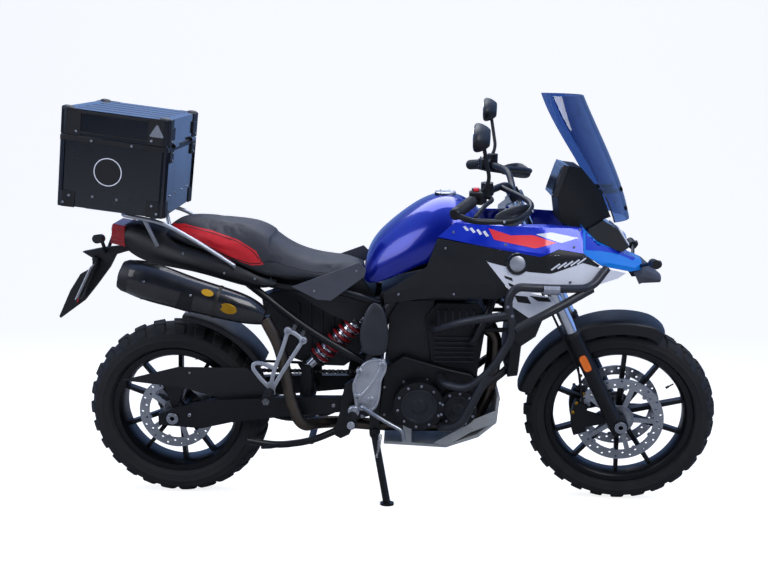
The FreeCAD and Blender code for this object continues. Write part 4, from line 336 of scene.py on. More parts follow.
# Ground stainless brake steel: bright, with a drawn-out shine from the grinding.
DISC_STEEL = Finish("ground_brake_steel", "#b4b6ba", "#8f9195", 0.32, Pattern.BRUSHED, 1.0, 1.2, 0.02, 40)
# Hard-chromed and polished tube: a near mirror with very fine lines.
BRIGHT_STEEL = Finish("polished_fork_steel", "#cfd1d6", "#b9bbc0", 0.16, Pattern.BRUSHED, 1.0, 1.0, 0.01, 60)
# Oiled chain steel: dark brown metal that glints only on its edges.
DARK_STEEL = Finish("oiled_chain_steel", "#4a4640", "#2d2a27", 0.45, Pattern.CAST, 0.9, 1.0, 0.05, 20)
# Zinc-plated steel: cool grey metal with a faint mottle.
BOLT_STEEL = Finish("zinc_plated_steel", "#a9abb0", "#8b8d92", 0.35, Pattern.CAST, 1.0, 0.8, 0.02, 15)
# Heat-proof dark coat on the can, under clear: brownish black with a firm shine.
EXHAUST_DARK = Finish("dark_coated_silencer", "#1c1b1c", "#282523", 0.3, Pattern.PAINTED, 0.4, 1.6, 0.03, 80, 0.7)
# Stainless pipe after many heats: metal that has turned straw and brown.
PIPE_STEEL = Finish("heated_exhaust_steel", "#57504a", "#6d5d4c", 0.38, Pattern.BRUSHED, 1.0, 1.4, 0.02, 50)
# Gold-anodised aluminium: yellow metal with a satin, lightly brushed shine.
GOLD_ANODISED = Finish("gold_anodised_aluminium", "#c8962e", "#b18022", 0.35, Pattern.BRUSHED, 1.0, 0.8, 0.01, 20)
# Black-anodised sheet with a sealed coat: dark mirror, faint brush lines below it.
CASE_BLACK = Finish("black_anodised_case", "#08090c", "#0d0f15", 0.22, Pattern.BRUSHED, 0.3, 1.2, 0.02, 120, 1.0)
# Tinted polycarbonate: clear with a blue cast and sharp reflections.
SCREEN_TINT = Finish("tinted_polycarbonate", "#6a86b4", "#627eac", 0.05, Pattern.PAINTED, 0.0, 4.0, 0.002, 200,
                     0.0, 0.02, 1.0, 1.58)
# Clear lamp polycarbonate: glassy, with the bowl seen through it.
LAMP_CLEAR = Finish("clear_lamp_polycarbonate", "#eef3f8", "#e4ebf2", 0.04, Pattern.PAINTED, 0.0, 4.0, 0.002, 60,
                    0.0, 0.02, 1.0, 1.58)
# Red acrylic lens: deep red, smooth and wet.
LAMP_RED = Finish("red_lamp_lens", "#c3101a", "#a80c15", 0.14, Pattern.MOULDED, 0.0, 4.0, 0.1, 30, 0.4)
# Amber acrylic: warm orange that glows a little in full light.
LAMP_AMBER = Finish("amber_lens", "#ff7a12", "#ef6a08", 0.16, Pattern.MOULDED, 0.0, 3.0, 0.1, 20, 0.4)
# Aluminium evaporated on a lacquered bowl: a bright, slightly soft mirror.
REFLECTOR = Finish("vapour_coated_reflector", "#dfe3e8", "#cdd2d8", 0.1, Pattern.BRUSHED, 1.0, 2.0, 0.01, 30)
# Charcoal ABS: grained, a step lighter than the black panels.
COVER_GREY = Finish("dark_grey_cover_abs", "#26282d", "#303238", 0.46, Pattern.MOULDED, 0.0, 1.4, 0.06, 70)
# Silver coat on a cast clamp: mid-grey metal with a fine rough skin.
CLAMP_GREY = Finish("silver_coated_clamp", "#7f8288", "#6b6e74", 0.4, Pattern.CAST, 0.7, 1.0, 0.08, 40)
# Amber acrylic smoked dark: nearly black, brown only where light falls on it.
SMOKED_LENS = Finish("smoked_amber_lens", "#3a1c0c", "#301608", 0.14, Pattern.MOULDED, 0.0, 3.0, 0.1, 20, 0.5)
# Dark-anodised aluminium edge strip: satin metal that outlines the box.
CASE_EDGE = Finish("dark_anodised_edge", "#1b2026", "#242a32", 0.25, Pattern.BRUSHED, 0.8, 1.2, 0.02, 80)
# Grey coat on cast aluminium: dark, with a metal glint on ribs and rings.
CAST_DARK = Finish("dark_grey_casting", "#26272b", "#313237", 0.42, Pattern.CAST, 0.45, 1.0, 0.08, 40)
# Black stove enamel on sheet steel: satin with a slight ripple.
SHIELD_BLACK = Finish("black_heat_shield", "#141416", "#1d1d20", 0.34, Pattern.PAINTED, 0.4, 1.6, 0.03, 60)
# Grey retro-reflecting film under clear: pale and even, unlike the bar below it.
REFLECTOR_GREY = Finish("grey_reflective_film", "#8b8f98", "#7b7f88", 0.3, Pattern.MOULDED, 0.2, 2.0, 0.08, 20, 0.3)
# Silvered glass: a full mirror.
MIRROR_GLASS = Finish("silvered_mirror_glass", "#dfe4ea", "#d4dae2", 0.03, Pattern.PAINTED, 1.0, 4.0, 0.001, 60)
# Display glass with its light off: dark blue behind a polished front.
DIAL_BLUE = Finish("dark_dial_face", "#0d1828", "#111f33", 0.2, Pattern.PAINTED, 0.0, 3.0, 0.002, 60, 0.3)
# Frosted acrylic light guide: milky white that takes light from all sides.
LIGHT_GUIDE = Finish("frosted_light_guide", "#f1f5fa", "#e4eaf2", 0.3, Pattern.MOULDED, 0.0, 2.0, 0.02, 20, 0.3)
# Stoved enamel on spring wire: deep red with a soft shine.
SPRING_RED = Finish("red_spring_enamel", "#8e1016", "#7a0c12", 0.4, Pattern.PAINTED, 0.0, 2.0, 0.01, 40, 0.4)


# Forms made of grids


class Form:
    """A mesh in the making: sheets of points, kept as whole arrays, with the faces between them."""

    def __init__(self) -> None:
        """Starts with nothing in it."""
        self.points: list[np.ndarray] = []
        self.faces: list[list[int]] = []
        self.count = 0

    def grid(self, sheet: np.ndarray, ring: bool = False, loop: bool = False) -> "Form":
        """Adds a sheet of points as four-sided faces.

        Args:
            sheet: (rows, columns, 3) points.
            ring: the last column joins the first.
            loop: the last row joins the first.

        Returns:
            The form itself.
        """
        rows, columns = sheet.shape[:2]
        index = np.arange(rows * columns).reshape(rows, columns) + self.count
        if ring:
            index = np.hstack([index, index[:, :1]])
        if loop:
            index = np.vstack([index, index[:1]])
        corners = [index[:-1, :-1], index[:-1, 1:], index[1:, 1:], index[1:, :-1]]
        self.faces += np.stack(corners, axis=-1).reshape(-1, 4).tolist()
        self.points.append(sheet.reshape(-1, 3))
        self.count += rows * columns
        return self

    def capped(self, sheet: np.ndarray) -> "Form":
        """Adds a ring-wise sheet and closes both its ends with fans to their middles.

        Args:
            sheet: (rows, columns, 3) points, each row a ring.

        Returns:
            The form itself.
        """
        first, last = sheet[:1].mean(axis=1, keepdims=True), sheet[-1:].mean(axis=1, keepdims=True)
        wide = sheet.shape[1]
        ends = [np.repeat(first, wide, axis=1), sheet, np.repeat(last, wide, axis=1)]
        return self.grid(np.concatenate(ends), ring=True)

    def lathe(self, profile: np.ndarray, base: np.ndarray, axis: np.ndarray, sides: int = 24) -> "Form":
        """Turns a profile round an axis: point = base + axis * height + radius * (cos a * u + sin a * v).

        Args:
            profile: (n, 2) radius and height pairs, from one end to the other.
            base: where height is nought.
            axis: direction of the axis.
            sides: how many steps go round.

        Returns:
            The form itself.
        """
        profile = np.asarray(profile, float)
        u, v, w = basis(axis)
        turn = circle(sides)
        ring = np.cos(turn)[:, None] * u + np.sin(turn)[:, None] * v
        return self.capped(np.asarray(base) + profile[:, 1, None, None] * w + profile[:, 0, None, None] * ring[None])

    def rod(self, start: np.ndarray, end: np.ndarray, radius: float, sides: int = 16) -> "Form":
        """A straight round rod from start to end.

        Args:
            start: middle of one end.
            end: middle of the other.
            radius: the rod's radius.
            sides: how many steps go round.

        Returns:
            The form itself.
        """
        span = np.asarray(end, float) - np.asarray(start, float)
        length = float(np.linalg.norm(span))
        return self.lathe([(radius, 0.0), (radius, length)], start, span / length, sides)

    def sweep(self, path: np.ndarray, radius: float, sides: int = 10) -> "Form":
        """Carries a round section along a path: point = path + radius * (cos a * u + sin a * v).

        u and v stand square to the path's tangent, and lean on one fixed direction.

        Args:
            path: (n, 3) points.
            radius: the section's radius.
            sides: how many steps go round.

        Returns:
            The form itself.
        """
        path = np.asarray(path, float)
        ahead = np.gradient(path, axis=0)
        ahead /= np.linalg.norm(ahead, axis=1, keepdims=True)
        spread = np.abs(ahead).max(axis=0)
        guide = np.eye(3)[int(np.argmin(spread))]
        u = np.cross(ahead, guide)
        u /= np.linalg.norm(u, axis=1, keepdims=True)
        v = np.cross(ahead, u)
        turn = circle(sides)
        return self.capped(path[:, None] + radius * (np.cos(turn)[None, :, None] * u[:, None]
                                                     + np.sin(turn)[None, :, None] * v[:, None]))

    def plate(self, outline: np.ndarray, push: np.ndarray) -> "Form":
        """A flat plate: an outline of points, pushed along one direction, closed on both faces.

        Args:
            outline: (n, 3) points round its edge.
            push: from one face to the other.

        Returns:
            The form itself.
        """
        outline = np.asarray(outline, float)
        first = self.count
        self.grid(np.stack([outline, outline + np.asarray(push, float)]), ring=True)
        wide = len(outline)
        self.faces.append(list(range(first + wide - 1, first - 1, -1)))
        self.faces.append(list(range(first + wide, first + 2 * wide)))
        return self

    def block(self, centre: np.ndarray, size: np.ndarray, axes: Optional[np.ndarray] = None) -> "Form":
        """A box of a size about its centre, along the rows of axes.

        Args:
            centre: its middle.
            size: its three lengths.
            axes: three directions of length one, or the frame's own.

        Returns:
            The form itself.
        """
        axes = np.eye(3) if axes is None else np.asarray(axes, float)
        half = np.asarray(size, float) / 2
        square = np.array([(-1, -1), (1, -1), (1, 1), (-1, 1)], float) * half[:2]
        outline = np.asarray(centre) + square @ axes[:2] - axes[2] * half[2]
        return self.plate(outline, axes[2] * half[2] * 2)

    def bolt(self, place: np.ndarray, axis: np.ndarray, radius: float, sides: int = 6) -> "Form":
        """A screw head with a sunk drive, standing on a face.

        Args:
            place: middle of its foot.
            axis: the way it stands.
            radius: the head's radius.
            sides: how many steps go round.

        Returns:
            The form itself.
        """
        height = radius * 0.8
        profile = [(radius, 0.0), (radius, height * 0.8), (radius * 0.85, height), (radius * 0.5, height),
                   (radius * 0.45, height * 0.4)]
        return self.lathe(profile, place, axis, sides)

    def bolts(self, places: np.ndarray, axis: np.ndarray, radius: float) -> "Form":
        """The same screw head at each of some places.

        Args:
            places: (n, 3) points on a face.
            axis: the way out of the face.
            radius: the head's radius.

        Returns:
            The form itself.
        """
        for place in places:
            self.bolt(place, axis, radius)
        return self

    def wall(self, outline: np.ndarray, across: float, thick: float) -> "Form":
        """A plate of an (x, z) outline seen from the side, from one place across the machine outwards."""
        return self.plate(np.insert(outline, 1, across, axis=1), rows(0, thick, 0))


def rows(*points: tuple) -> np.ndarray:
    """Points or pairs typed in millimetres, as one array."""
    return np.array(points, float)


def circle(count: int) -> np.ndarray:
    """Angles at even steps round a circle."""
    return np.linspace(0, 2 * np.pi, count, endpoint=False)


def squared(wave: np.ndarray, power: float) -> np.ndarray:
    """A wave drawn towards a square one: its sign times its size to a power below one."""
    return np.sign(wave) * np.abs(wave) ** power


def unit(vector: np.ndarray) -> np.ndarray:
    """A direction of length one."""
    return vector / np.linalg.norm(vector)


def coil(base: np.ndarray, way: np.ndarray, rise: np.ndarray, radius: float, turns: int) -> np.ndarray:
    """A helix: point = base + rise * way + radius * (cos a * u + sin a * v), with a running evenly.

    Args:
        base: where the rise is nought.
        way: direction of its axis, of length one.
        rise: (n,) places along the axis.
        radius: the helix's radius.
        turns: how often it goes round.

    Returns:
        (n, 3) points.
    """
    u, v, _ = basis(way)
    turn = np.linspace(0, 2 * np.pi * turns, len(rise))[:, None]
    return base + rise[:, None] * way + radius * (np.cos(turn) * u + np.sin(turn) * v)


def basis(axis: np.ndarray) -> tuple[np.ndarray, np.ndarray, np.ndarray]:
    """Two directions square to an axis, and the axis itself, all of length one.

    Args:
        axis: a direction of any length.

    Returns:
        The two directions and the axis.
    """
    w = unit(np.asarray(axis, float))
    guide = np.eye(3)[int(np.argmin(np.abs(w)))]
    u = np.cross(w, guide)
    u /= np.linalg.norm(u)
    return u, np.cross(w, u), w


def curve(knots: list, steps: int = 8) -> np.ndarray:
    """A smooth path through points: between each two a cubic, whose slope at a point is half the step between
    its neighbours; the two ends have a mirrored neighbour.

    Args:
        knots: points to pass through.
        steps: points made per run.

    Returns:
        (n, 3) points.
    """
    knots = np.asarray(knots, float)
    line = np.vstack([2 * knots[0] - knots[1], knots, 2 * knots[-1] - knots[-2]])
    a, b, c, d = line[:-3, None], line[1:-2, None], line[2:-1, None], line[3:, None]
    t = (np.arange(steps) / steps)[None, :, None]
    body = 0.5 * (2 * b + (c - a) * t + (2 * a - 5 * b + 4 * c - d) * t**2 + (3 * b - a - 3 * c + d) * t**3)
    return np.vstack([body.reshape(-1, knots.shape[1]), knots[-1:]])


@dataclass
class Workshop:
    """Makes Blender pieces of forms, dresses them and hangs them on the frame's bodies."""

    frame: dict
    stance: Stance
    slots: dict = field(init=False)
    bodies: dict = field(init=False)
    trees: dict = field(init=False, default_factory=dict)

    def __post_init__(self) -> None:
        """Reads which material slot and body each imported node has."""
        record = self.frame["record"]
        self.slots = {part["node"]: part["material_slot"] for part in record["subparts"]}
        self.bodies = {node: body for body, nodes in record["behaviour"]["bodies"].items() for node in nodes}

    def piece(self, name: str, form: Form, finish: Finish, body: str, slot: str, place: Callable, bevel_mm: float,
              angle: float) -> bpy.types.Object:
        """Makes a form into a finished piece that moves with a body.

        Args:
            name: the piece's name.
            form: its points and faces.
            finish: its finish.
            body: the body that it moves with.
            slot: the record's material slot; not used.
            place: takes the form's points to the row frame.
            bevel_mm: width of its broken edges.
            angle: edges sharper than this many degrees stay sharp.

        Returns:
            The new object.
        """
        mesh = bpy.data.meshes.new(name)
        mesh.from_pydata(place(np.concatenate(form.points)).tolist(), [], form.faces)
        self.heal(mesh)
        made = bpy.data.objects.new(name, mesh)
        bpy.context.scene.collection.objects.link(made)
        self.soften(made, bevel_mm, angle)
        mesh.materials.append(finish.material())
        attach(made, body)
        LOG.info("%s: %d faces on %s", name, len(mesh.polygons), body)
        return made

    @staticmethod
    def heal(mesh: bpy.types.Mesh) -> None:
        """Merges doubled points, drops flat faces and turns every face outwards.

        Args:
            mesh: the mesh, changed in place.
        """
        work = bmesh.new()
        work.from_mesh(mesh)
        bmesh.ops.remove_doubles(work, verts=work.verts, dist=WELD)
        bmesh.ops.dissolve_degenerate(work, edges=work.edges, dist=SPECK)
        bmesh.ops.recalc_face_normals(work, faces=work.faces)
        work.to_mesh(mesh)
        work.free()

    @staticmethod
    def soften(made: bpy.types.Object, bevel_mm: float, angle: float) -> None:
        """Smooth shading up to an angle, with broken edges where a width is given.

        Args:
            made: the piece.
            bevel_mm: width of its broken edges, or nought.
            angle: edges sharper than this many degrees stay sharp.
        """
        mesh = made.data
        mesh.shade_smooth()
        mesh.set_sharp_from_angle(angle=math.radians(angle))
        if bevel_mm:
            edge = made.modifiers.new("broken_edge", "BEVEL")
            edge.width = bevel_mm * MM
            edge.segments = 2
            edge.limit_method = "ANGLE"
            edge.angle_limit = math.radians(angle)
            edge.use_clamp_overlap = True

    def dressed_copy(self, node: str, finish: Finish, bevel_mm: float = 1.0, angle: float = 38.0) -> bpy.types.Object:
        """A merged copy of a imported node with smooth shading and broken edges, which stands for it.

        Args:
            node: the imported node's name.
            finish: its finish.
            bevel_mm: width of its broken edges.
            angle: edges sharper than this many degrees stay sharp.

        Returns:
            The new object.
        """
        mesh = self.frame["nodes"][node].data.copy()
        mesh.name = f"{node}_dressed"
        work = bmesh.new()
        work.from_mesh(mesh)
        bmesh.ops.remove_doubles(work, verts=work.verts, dist=CAD_WELD)
        bmesh.ops.dissolve_limit(work, angle_limit=FLAT_TURN, verts=work.verts, edges=work.edges)
        work.to_mesh(mesh)
        work.free()
        mesh.materials.clear()
        mesh.materials.append(finish.material())
        made = bpy.data.objects.new(mesh.name, mesh)
        bpy.context.scene.collection.objects.link(made)
        self.soften(made, bevel_mm, angle)
        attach(made, self.bodies[node])
        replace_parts(made, node)
        LOG.info("%s dressed", node)
        return made

    def cast(self, node: str, starts: np.ndarray, way: np.ndarray) -> np.ndarray:
        """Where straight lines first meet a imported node; lines that miss it are left out.

        Args:
            node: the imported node's name.
            starts: (n, 3) millimetre points of the upright frame.
            way: the lines' direction in that frame.

        Returns:
            The points met, in millimetres of the upright frame.
        """
        if node not in self.trees:
            mesh = self.frame["nodes"][node].data
            flat = np.empty(len(mesh.vertices) * 3)
            mesh.vertices.foreach_get("co", flat)
            self.trees[node] = BVHTree.FromPolygons(flat.reshape(-1, 3).tolist(),
                                                    [tuple(face.vertices) for face in mesh.polygons])
        ahead = Vector(self.stance.tilt @ np.asarray(way, float))
        hits = [self.trees[node].ray_cast(Vector(start), ahead)[0] for start in self.stance.bike(starts)]
        met = [tuple(hit) for hit in hits if hit is not None]
        return self.stance.upright(np.array(met)) / MM if met else np.empty((0, 3))

    def touch(self, node: str, spots: np.ndarray, hand: int) -> np.ndarray:
        """Points on a node's outer face at (x, z) places seen from one side.

        Args:
            node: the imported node's name.
            spots: (n, 2) x and z in millimetres.
            hand: 1 from the left, -1 from the right.

        Returns:
            The points met, in millimetres of the upright frame.
        """
        spots = np.atleast_2d(spots)
        starts = np.stack([spots[:, 0], np.full(len(spots), hand * 700.0), spots[:, 1]], axis=-1)
        return self.cast(node, starts, np.array([0.0, -hand, 0.0]))


# Sub-assemblies


@dataclass
class Assembly:
    """A sub-assembly of the machine, which makes its pieces in the workshop and hangs them on their bodies."""

    shop: Workshop
    home: ClassVar[str] = "chassis"

    def layout(self, body: str) -> Callable:
        """How a body's pieces are laid out: with straight steering on the fork and its wheel, upright elsewhere."""
        return self.shop.stance.fork if body in ("steering", "front_wheel") else self.shop.stance.bike

    def make(self, name: str, form: Form, finish: Finish, slot: str, bevel_mm: float = 0.0,
             body: Optional[str] = None, angle: float = 35.0) -> bpy.types.Object:
        """Makes one piece of the sub-assembly.

        Args:
            name: the piece's name.
            form: its points in millimetres, and its faces.
            finish: its finish.
            slot: the record's material slot.
            bevel_mm: width of its broken edges.
            body: the body that it moves with, where that isn't the sub-assembly's home.
            angle: edges sharper than this many degrees stay sharp.

        Returns:
            The new object.
        """
        body = body or self.home
        return self.shop.piece(name, form, finish, body, slot, self.layout(body), bevel_mm, angle)


def along(knots: np.ndarray, count: int) -> np.ndarray:
    """A polyline sampled anew at even shares of its length (linear between its knots).

    Args:
        knots: (n, 2) or (n, 3) points.
        count: how many points to make.

    Returns:
        (count, 2 or 3) points.
    """
    knots = np.asarray(knots, float)
    length = np.concatenate([[0], np.cumsum(np.linalg.norm(np.diff(knots, axis=0), axis=1))])
    shares = np.linspace(0, length[-1], count)
    return np.stack([np.interp(shares, length, column) for column in knots.T], axis=-1)


@dataclass
class Tyre(Assembly):
    """A block-tread tyre: a ribbed carcass and two rows of lugs a side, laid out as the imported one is."""

    node: str
    centre: tuple
    radius: float
    width: float
    drop: float
    rim: float
    bead: float
    pitches: int = 27
    lug_height: float = 9.0
    contact_share: float = 0.36
    tread_share: float = 0.82

    @property
    def pitch(self) -> float:
        """The angle from one lug to the next."""
        return 2 * math.pi / self.pitches

    def fall(self, side: np.ndarray) -> np.ndarray:
        """Fall of the tread below the crown: arc radius less the root of its square less the side's square.

        Args:
            side: places across the tread.

        Returns:
            The fall at each.
        """
        half = self.width / 2 * self.tread_share
        arc = (half**2 + self.drop**2) / (2 * self.drop)
        return arc - np.sqrt(np.maximum(arc**2 - np.asarray(side, float)**2, 0))

    def point(self, angle: np.ndarray, side: np.ndarray, reach: np.ndarray) -> np.ndarray:
        """Points at an angle round the axle, a place across and a radius: (r cos a, side, r sin a)."""
        x, z = reach * np.cos(angle), reach * np.sin(angle)
        return np.stack(np.broadcast_arrays(x, side, z), axis=-1) + np.asarray(self.centre, float)

    def stagger(self, side: np.ndarray) -> np.ndarray:
        """How far round a lug is shifted by its place across: a quarter pitch per half width."""
        half = self.width / 2
        return self.pitch * (np.asarray(side, float) + half) / (4 * half)

    def build(self) -> None:
        """Makes the carcass and the lugs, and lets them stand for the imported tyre."""
        form = Form()
        self.carcass(form)
        low = -self.width / 2 * self.contact_share
        first = -math.pi / 2 - float(self.stagger(low))
        for start in first + self.pitch * np.arange(self.pitches):
            for hand in (-1, 1):
                self.lug(form, start, hand, 0.07, 0.42, 0.56)
                self.lug(form, start + 0.04 * self.pitch, hand, 0.5, 0.9, 0.5)
        made = self.make(f"{self.node}_tread", form, TYRE_RUBBER, "tyre", body=self.shop.bodies[self.node], angle=42)
        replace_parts(made, self.node)

    def carcass(self, form: Form) -> None:
        """The rounded carcass below the lugs, with two raised rings on each side wall, and its beads.

        Args:
            form: where it goes.
        """
        half = self.width / 2
        bead = self.bead / 2 - 7.3
        wall = self.radius - self.drop - self.lug_height - self.rim
        profile = [(self.rim + 1, bead), (self.rim + 13, bead), (self.rim + 15, bead + 4)]
        ribs = ((0.3, 0.93), (0.34, 0.955), (0.36, 0.955), (0.4, 0.96), (0.55, 0.995), (0.62, 1.0), (0.64, 1.012),
                (0.67, 1.012), (0.69, 0.995), (0.85, 0.975), (0.97, 0.955))
        profile += [(self.rim + wall * share, half * reach) for share, reach in ribs]
        side = half * np.array([0.92, 0.82, 0.66, 0.5, 0.33, 0.16, 0.0])
        top = self.radius - self.fall(np.minimum(side, half * self.tread_share)) - self.lug_height
        profile = np.vstack([profile, np.stack([top, side], axis=-1)])
        base = self.rim + wall
        inside = rows((self.rim + 1, 12 - bead), (base - 12, -half * 0.66), (base - 4, 0), (base - 12, half * 0.66),
                      (self.rim + 1, bead - 12))
        ring = np.vstack([profile, profile[-2::-1] * [1, -1], inside])
        angle = np.linspace(0, 2 * np.pi, 180, endpoint=False)[:, None]
        form.grid(self.point(angle, ring[None, :, 1], ring[None, :, 0]), ring=True, loop=True)

    def lug(self, form: Form, start: float, hand: int, inner: float, outer: float, length: float) -> None:
        """One lug: four levels from its sunk foot to its top, each a rounded outline that shrinks upwards.

        Args:
            form: where it goes.
            start: its first angle.
            hand: the side of the middle plane.
            inner: its inner side as a share of the half width.
            outer: its outer side as a share of the half width.
            length: its length as a share of the pitch.
        """
        square = rows((-1, -0.9), (-0.9, -1), (0, -1), (0.9, -1), (1, -0.9), (1, 0), (1, 0.9), (0.9, 1), (0, 1),
                      (-0.9, 1), (-1, 0.9), (-1, 0))
        grow, height = rows((1.06, -2.5), (1.0, 6.0), (0.94, 9.0), (0.8, 9.0)).T[:, :, None]
        across = hand * self.width / 2 * ((inner + outer) / 2 + square[:, 1] * grow * (outer - inner) / 2)
        turn = start + self.pitch * length * (0.5 + 0.5 * square[:, 0] * grow) + self.stagger(across)
        deep = self.fall(np.minimum(np.abs(across), self.width / 2 * 0.9))
        form.capped(self.point(turn, across, self.radius - deep - self.lug_height + height))


@dataclass
class Wheels(Assembly):
    """Both wheels' small parts: tyres, disc buttons, hub bolts, speed rings, valves and sprocket nuts."""

    front: tuple = FRONT_AXLE
    rear: tuple = REAR_AXLE

    def build(self) -> None:
        """Makes everything that turns with the wheels."""
        Tyre(self.shop, "front_tyre", self.front, 330, 112, 18, 241, 76).build()
        Tyre(self.shop, "rear_tyre", self.rear, 322, 150, 24, 216, 112).build()
        for name, hand in (("left", 1), ("right", -1)):
            self.disc_parts(f"front_disc_{name}", self.front, hand, 62.0, 152.0, 10, "front_wheel")
        self.disc_parts("rear_disc", self.rear, -1, 64.5, 132.0, 6, "rear_wheel")
        self.valve("front_wheel", self.front, 241)
        self.valve("rear_wheel", self.rear, 216)
        nuts = Form()
        for ray in self.rays(6, 0.3):
            nuts.bolt(self.rear + ray * 60 + rows(0, 91.5, 0), rows(0, 1, 0), 8)
        self.make("sprocket_nuts", nuts, BOLT_STEEL, "steel", body="rear_wheel")

    @staticmethod
    def rays(count: int, start: float) -> np.ndarray:
        """Directions spread evenly round the axle: (cos a, 0, sin a)."""
        turn = start + np.arange(count) * 2 * np.pi / count
        return np.stack([np.cos(turn), np.zeros(count), np.sin(turn)], axis=-1)

    def disc_parts(self, name: str, centre: tuple, hand: int, place: float, radius: float, count: int,
                   body: str) -> None:
        """A disc's buttons on its band, its hub bolts and the slotted speed ring beside it.

        Args:
            name: the disc's name.
            centre: the axle's middle.
            hand: the disc's side.
            place: its distance from the middle plane.
            radius: its outer radius.
            count: how many buttons it has.
            body: the wheel that it turns with.
        """
        axis = rows(0, hand, 0)
        buttons, bolts, ring = Form(), Form(), Form()
        for ray in self.rays(count, 0.2):
            spot = centre + ray * (radius - 34) + axis * (place + 2.5)
            buttons.lathe(rows((7.5, 0), (7.5, 1.5), (4.5, 2.5), (3.5, 1.0)), spot, axis, 12)
        for ray in self.rays(6, 0):
            bolts.bolt(centre + ray * 26 + axis * (place + 2.4), axis, 5.5)
        for ray in self.rays(48, 0):
            ring.block(centre + ray * 46 + axis * (place + 4), rows(8, 3, 1.6),
                       np.stack([ray, np.cross(axis, ray), axis]))
        for suffix, form in (("buttons", buttons), ("bolts", bolts), ("speed_ring", ring)):
            self.make(f"{name}_{suffix}", form, BOLT_STEEL, "disc_steel", body=body)

    def valve(self, body: str, centre: tuple, rim: float) -> None:
        """The tyre valve on its rim.

        Args:
            body: the wheel that it turns with.
            centre: the axle's middle.
            rim: radius of the rim's edge.
        """
        ray = self.rays(1, 0.6)[0]
        start = centre + ray * (rim - 22) - rows(0, 14, 0)
        form = Form().rod(start, start - ray * 26, 2.6, 10)
        form.rod(start - ray * 18, start - ray * 30, 4.2, 10)
        self.make(f"{body}_valve", form, SOFT_RUBBER, "tyre", body=body)


@dataclass
class Chain(Assembly):
    """The drive chain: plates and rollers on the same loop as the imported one."""

    front: tuple = (700.0, 392.0)
    rear: tuple = (0.0, 322.0)
    front_radius: float = 36.0
    rear_radius: float = 106.0
    middle: float = 88.0
    links: int = 118

    def track(self) -> np.ndarray:
        """Evenly spaced joints on the loop: two arcs and the two outer tangents that join them.

        Returns:
            (links, 2) x and z of each joint.
        """
        back, ahead = np.array(self.rear), np.array(self.front)
        span = ahead - back
        slope = math.atan2(span[1], span[0])
        tilt = math.acos((self.rear_radius - self.front_radius) / float(np.linalg.norm(span)))
        over = np.linspace(slope + tilt, slope - tilt, 60)[:, None]
        round_rear = np.linspace(slope - tilt, slope + tilt - 2 * np.pi, 200)[:, None]
        near = ahead + self.front_radius * np.hstack([np.cos(over), np.sin(over)])
        far = back + self.rear_radius * np.hstack([np.cos(round_rear), np.sin(round_rear)])
        loop = np.vstack([near, far, near[:1]])
        return along(loop, self.links + 1)[:-1]

    def build(self) -> None:
        """Makes every link: two waisted plates, wider apart on each second link, and a roller."""
        spots = self.track()
        ways = np.roll(spots, -1, axis=0) - spots
        pitch = float(np.linalg.norm(ways[0]))
        ways /= np.linalg.norm(ways, axis=1, keepdims=True)
        outline = rows((-0.5, 0), (-0.38, 0.42), (0, 0.3), (0.38, 0.42), (0.5, 0), (0.38, -0.42), (0, -0.3),
                       (-0.38, -0.42)) * [pitch * 1.42, 15]
        plates, rollers = Form(), Form()
        for index, (spot, way) in enumerate(zip(spots, ways)):
            up = np.array([-way[1], way[0]])
            flat = spot + way * pitch / 2 + outline[:, :1] * way + outline[:, 1:] * up
            gap = 7.4 if index % 2 else 5.4
            for hand in (-1, 1):
                inner = self.middle + hand * (gap - 1.6)
                plates.wall(flat, inner, hand * 1.6)
            axle = rows(spot[0], self.middle, spot[1])
            rollers.rod(axle - [0, 7.8, 0], axle + [0, 7.8, 0], 3.4, 8)
        for name, form, finish in (("chain_plates", plates, DARK_STEEL), ("chain_pins", rollers, BOLT_STEEL)):
            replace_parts(self.make(name, form, finish, "chain_steel"), "chain")


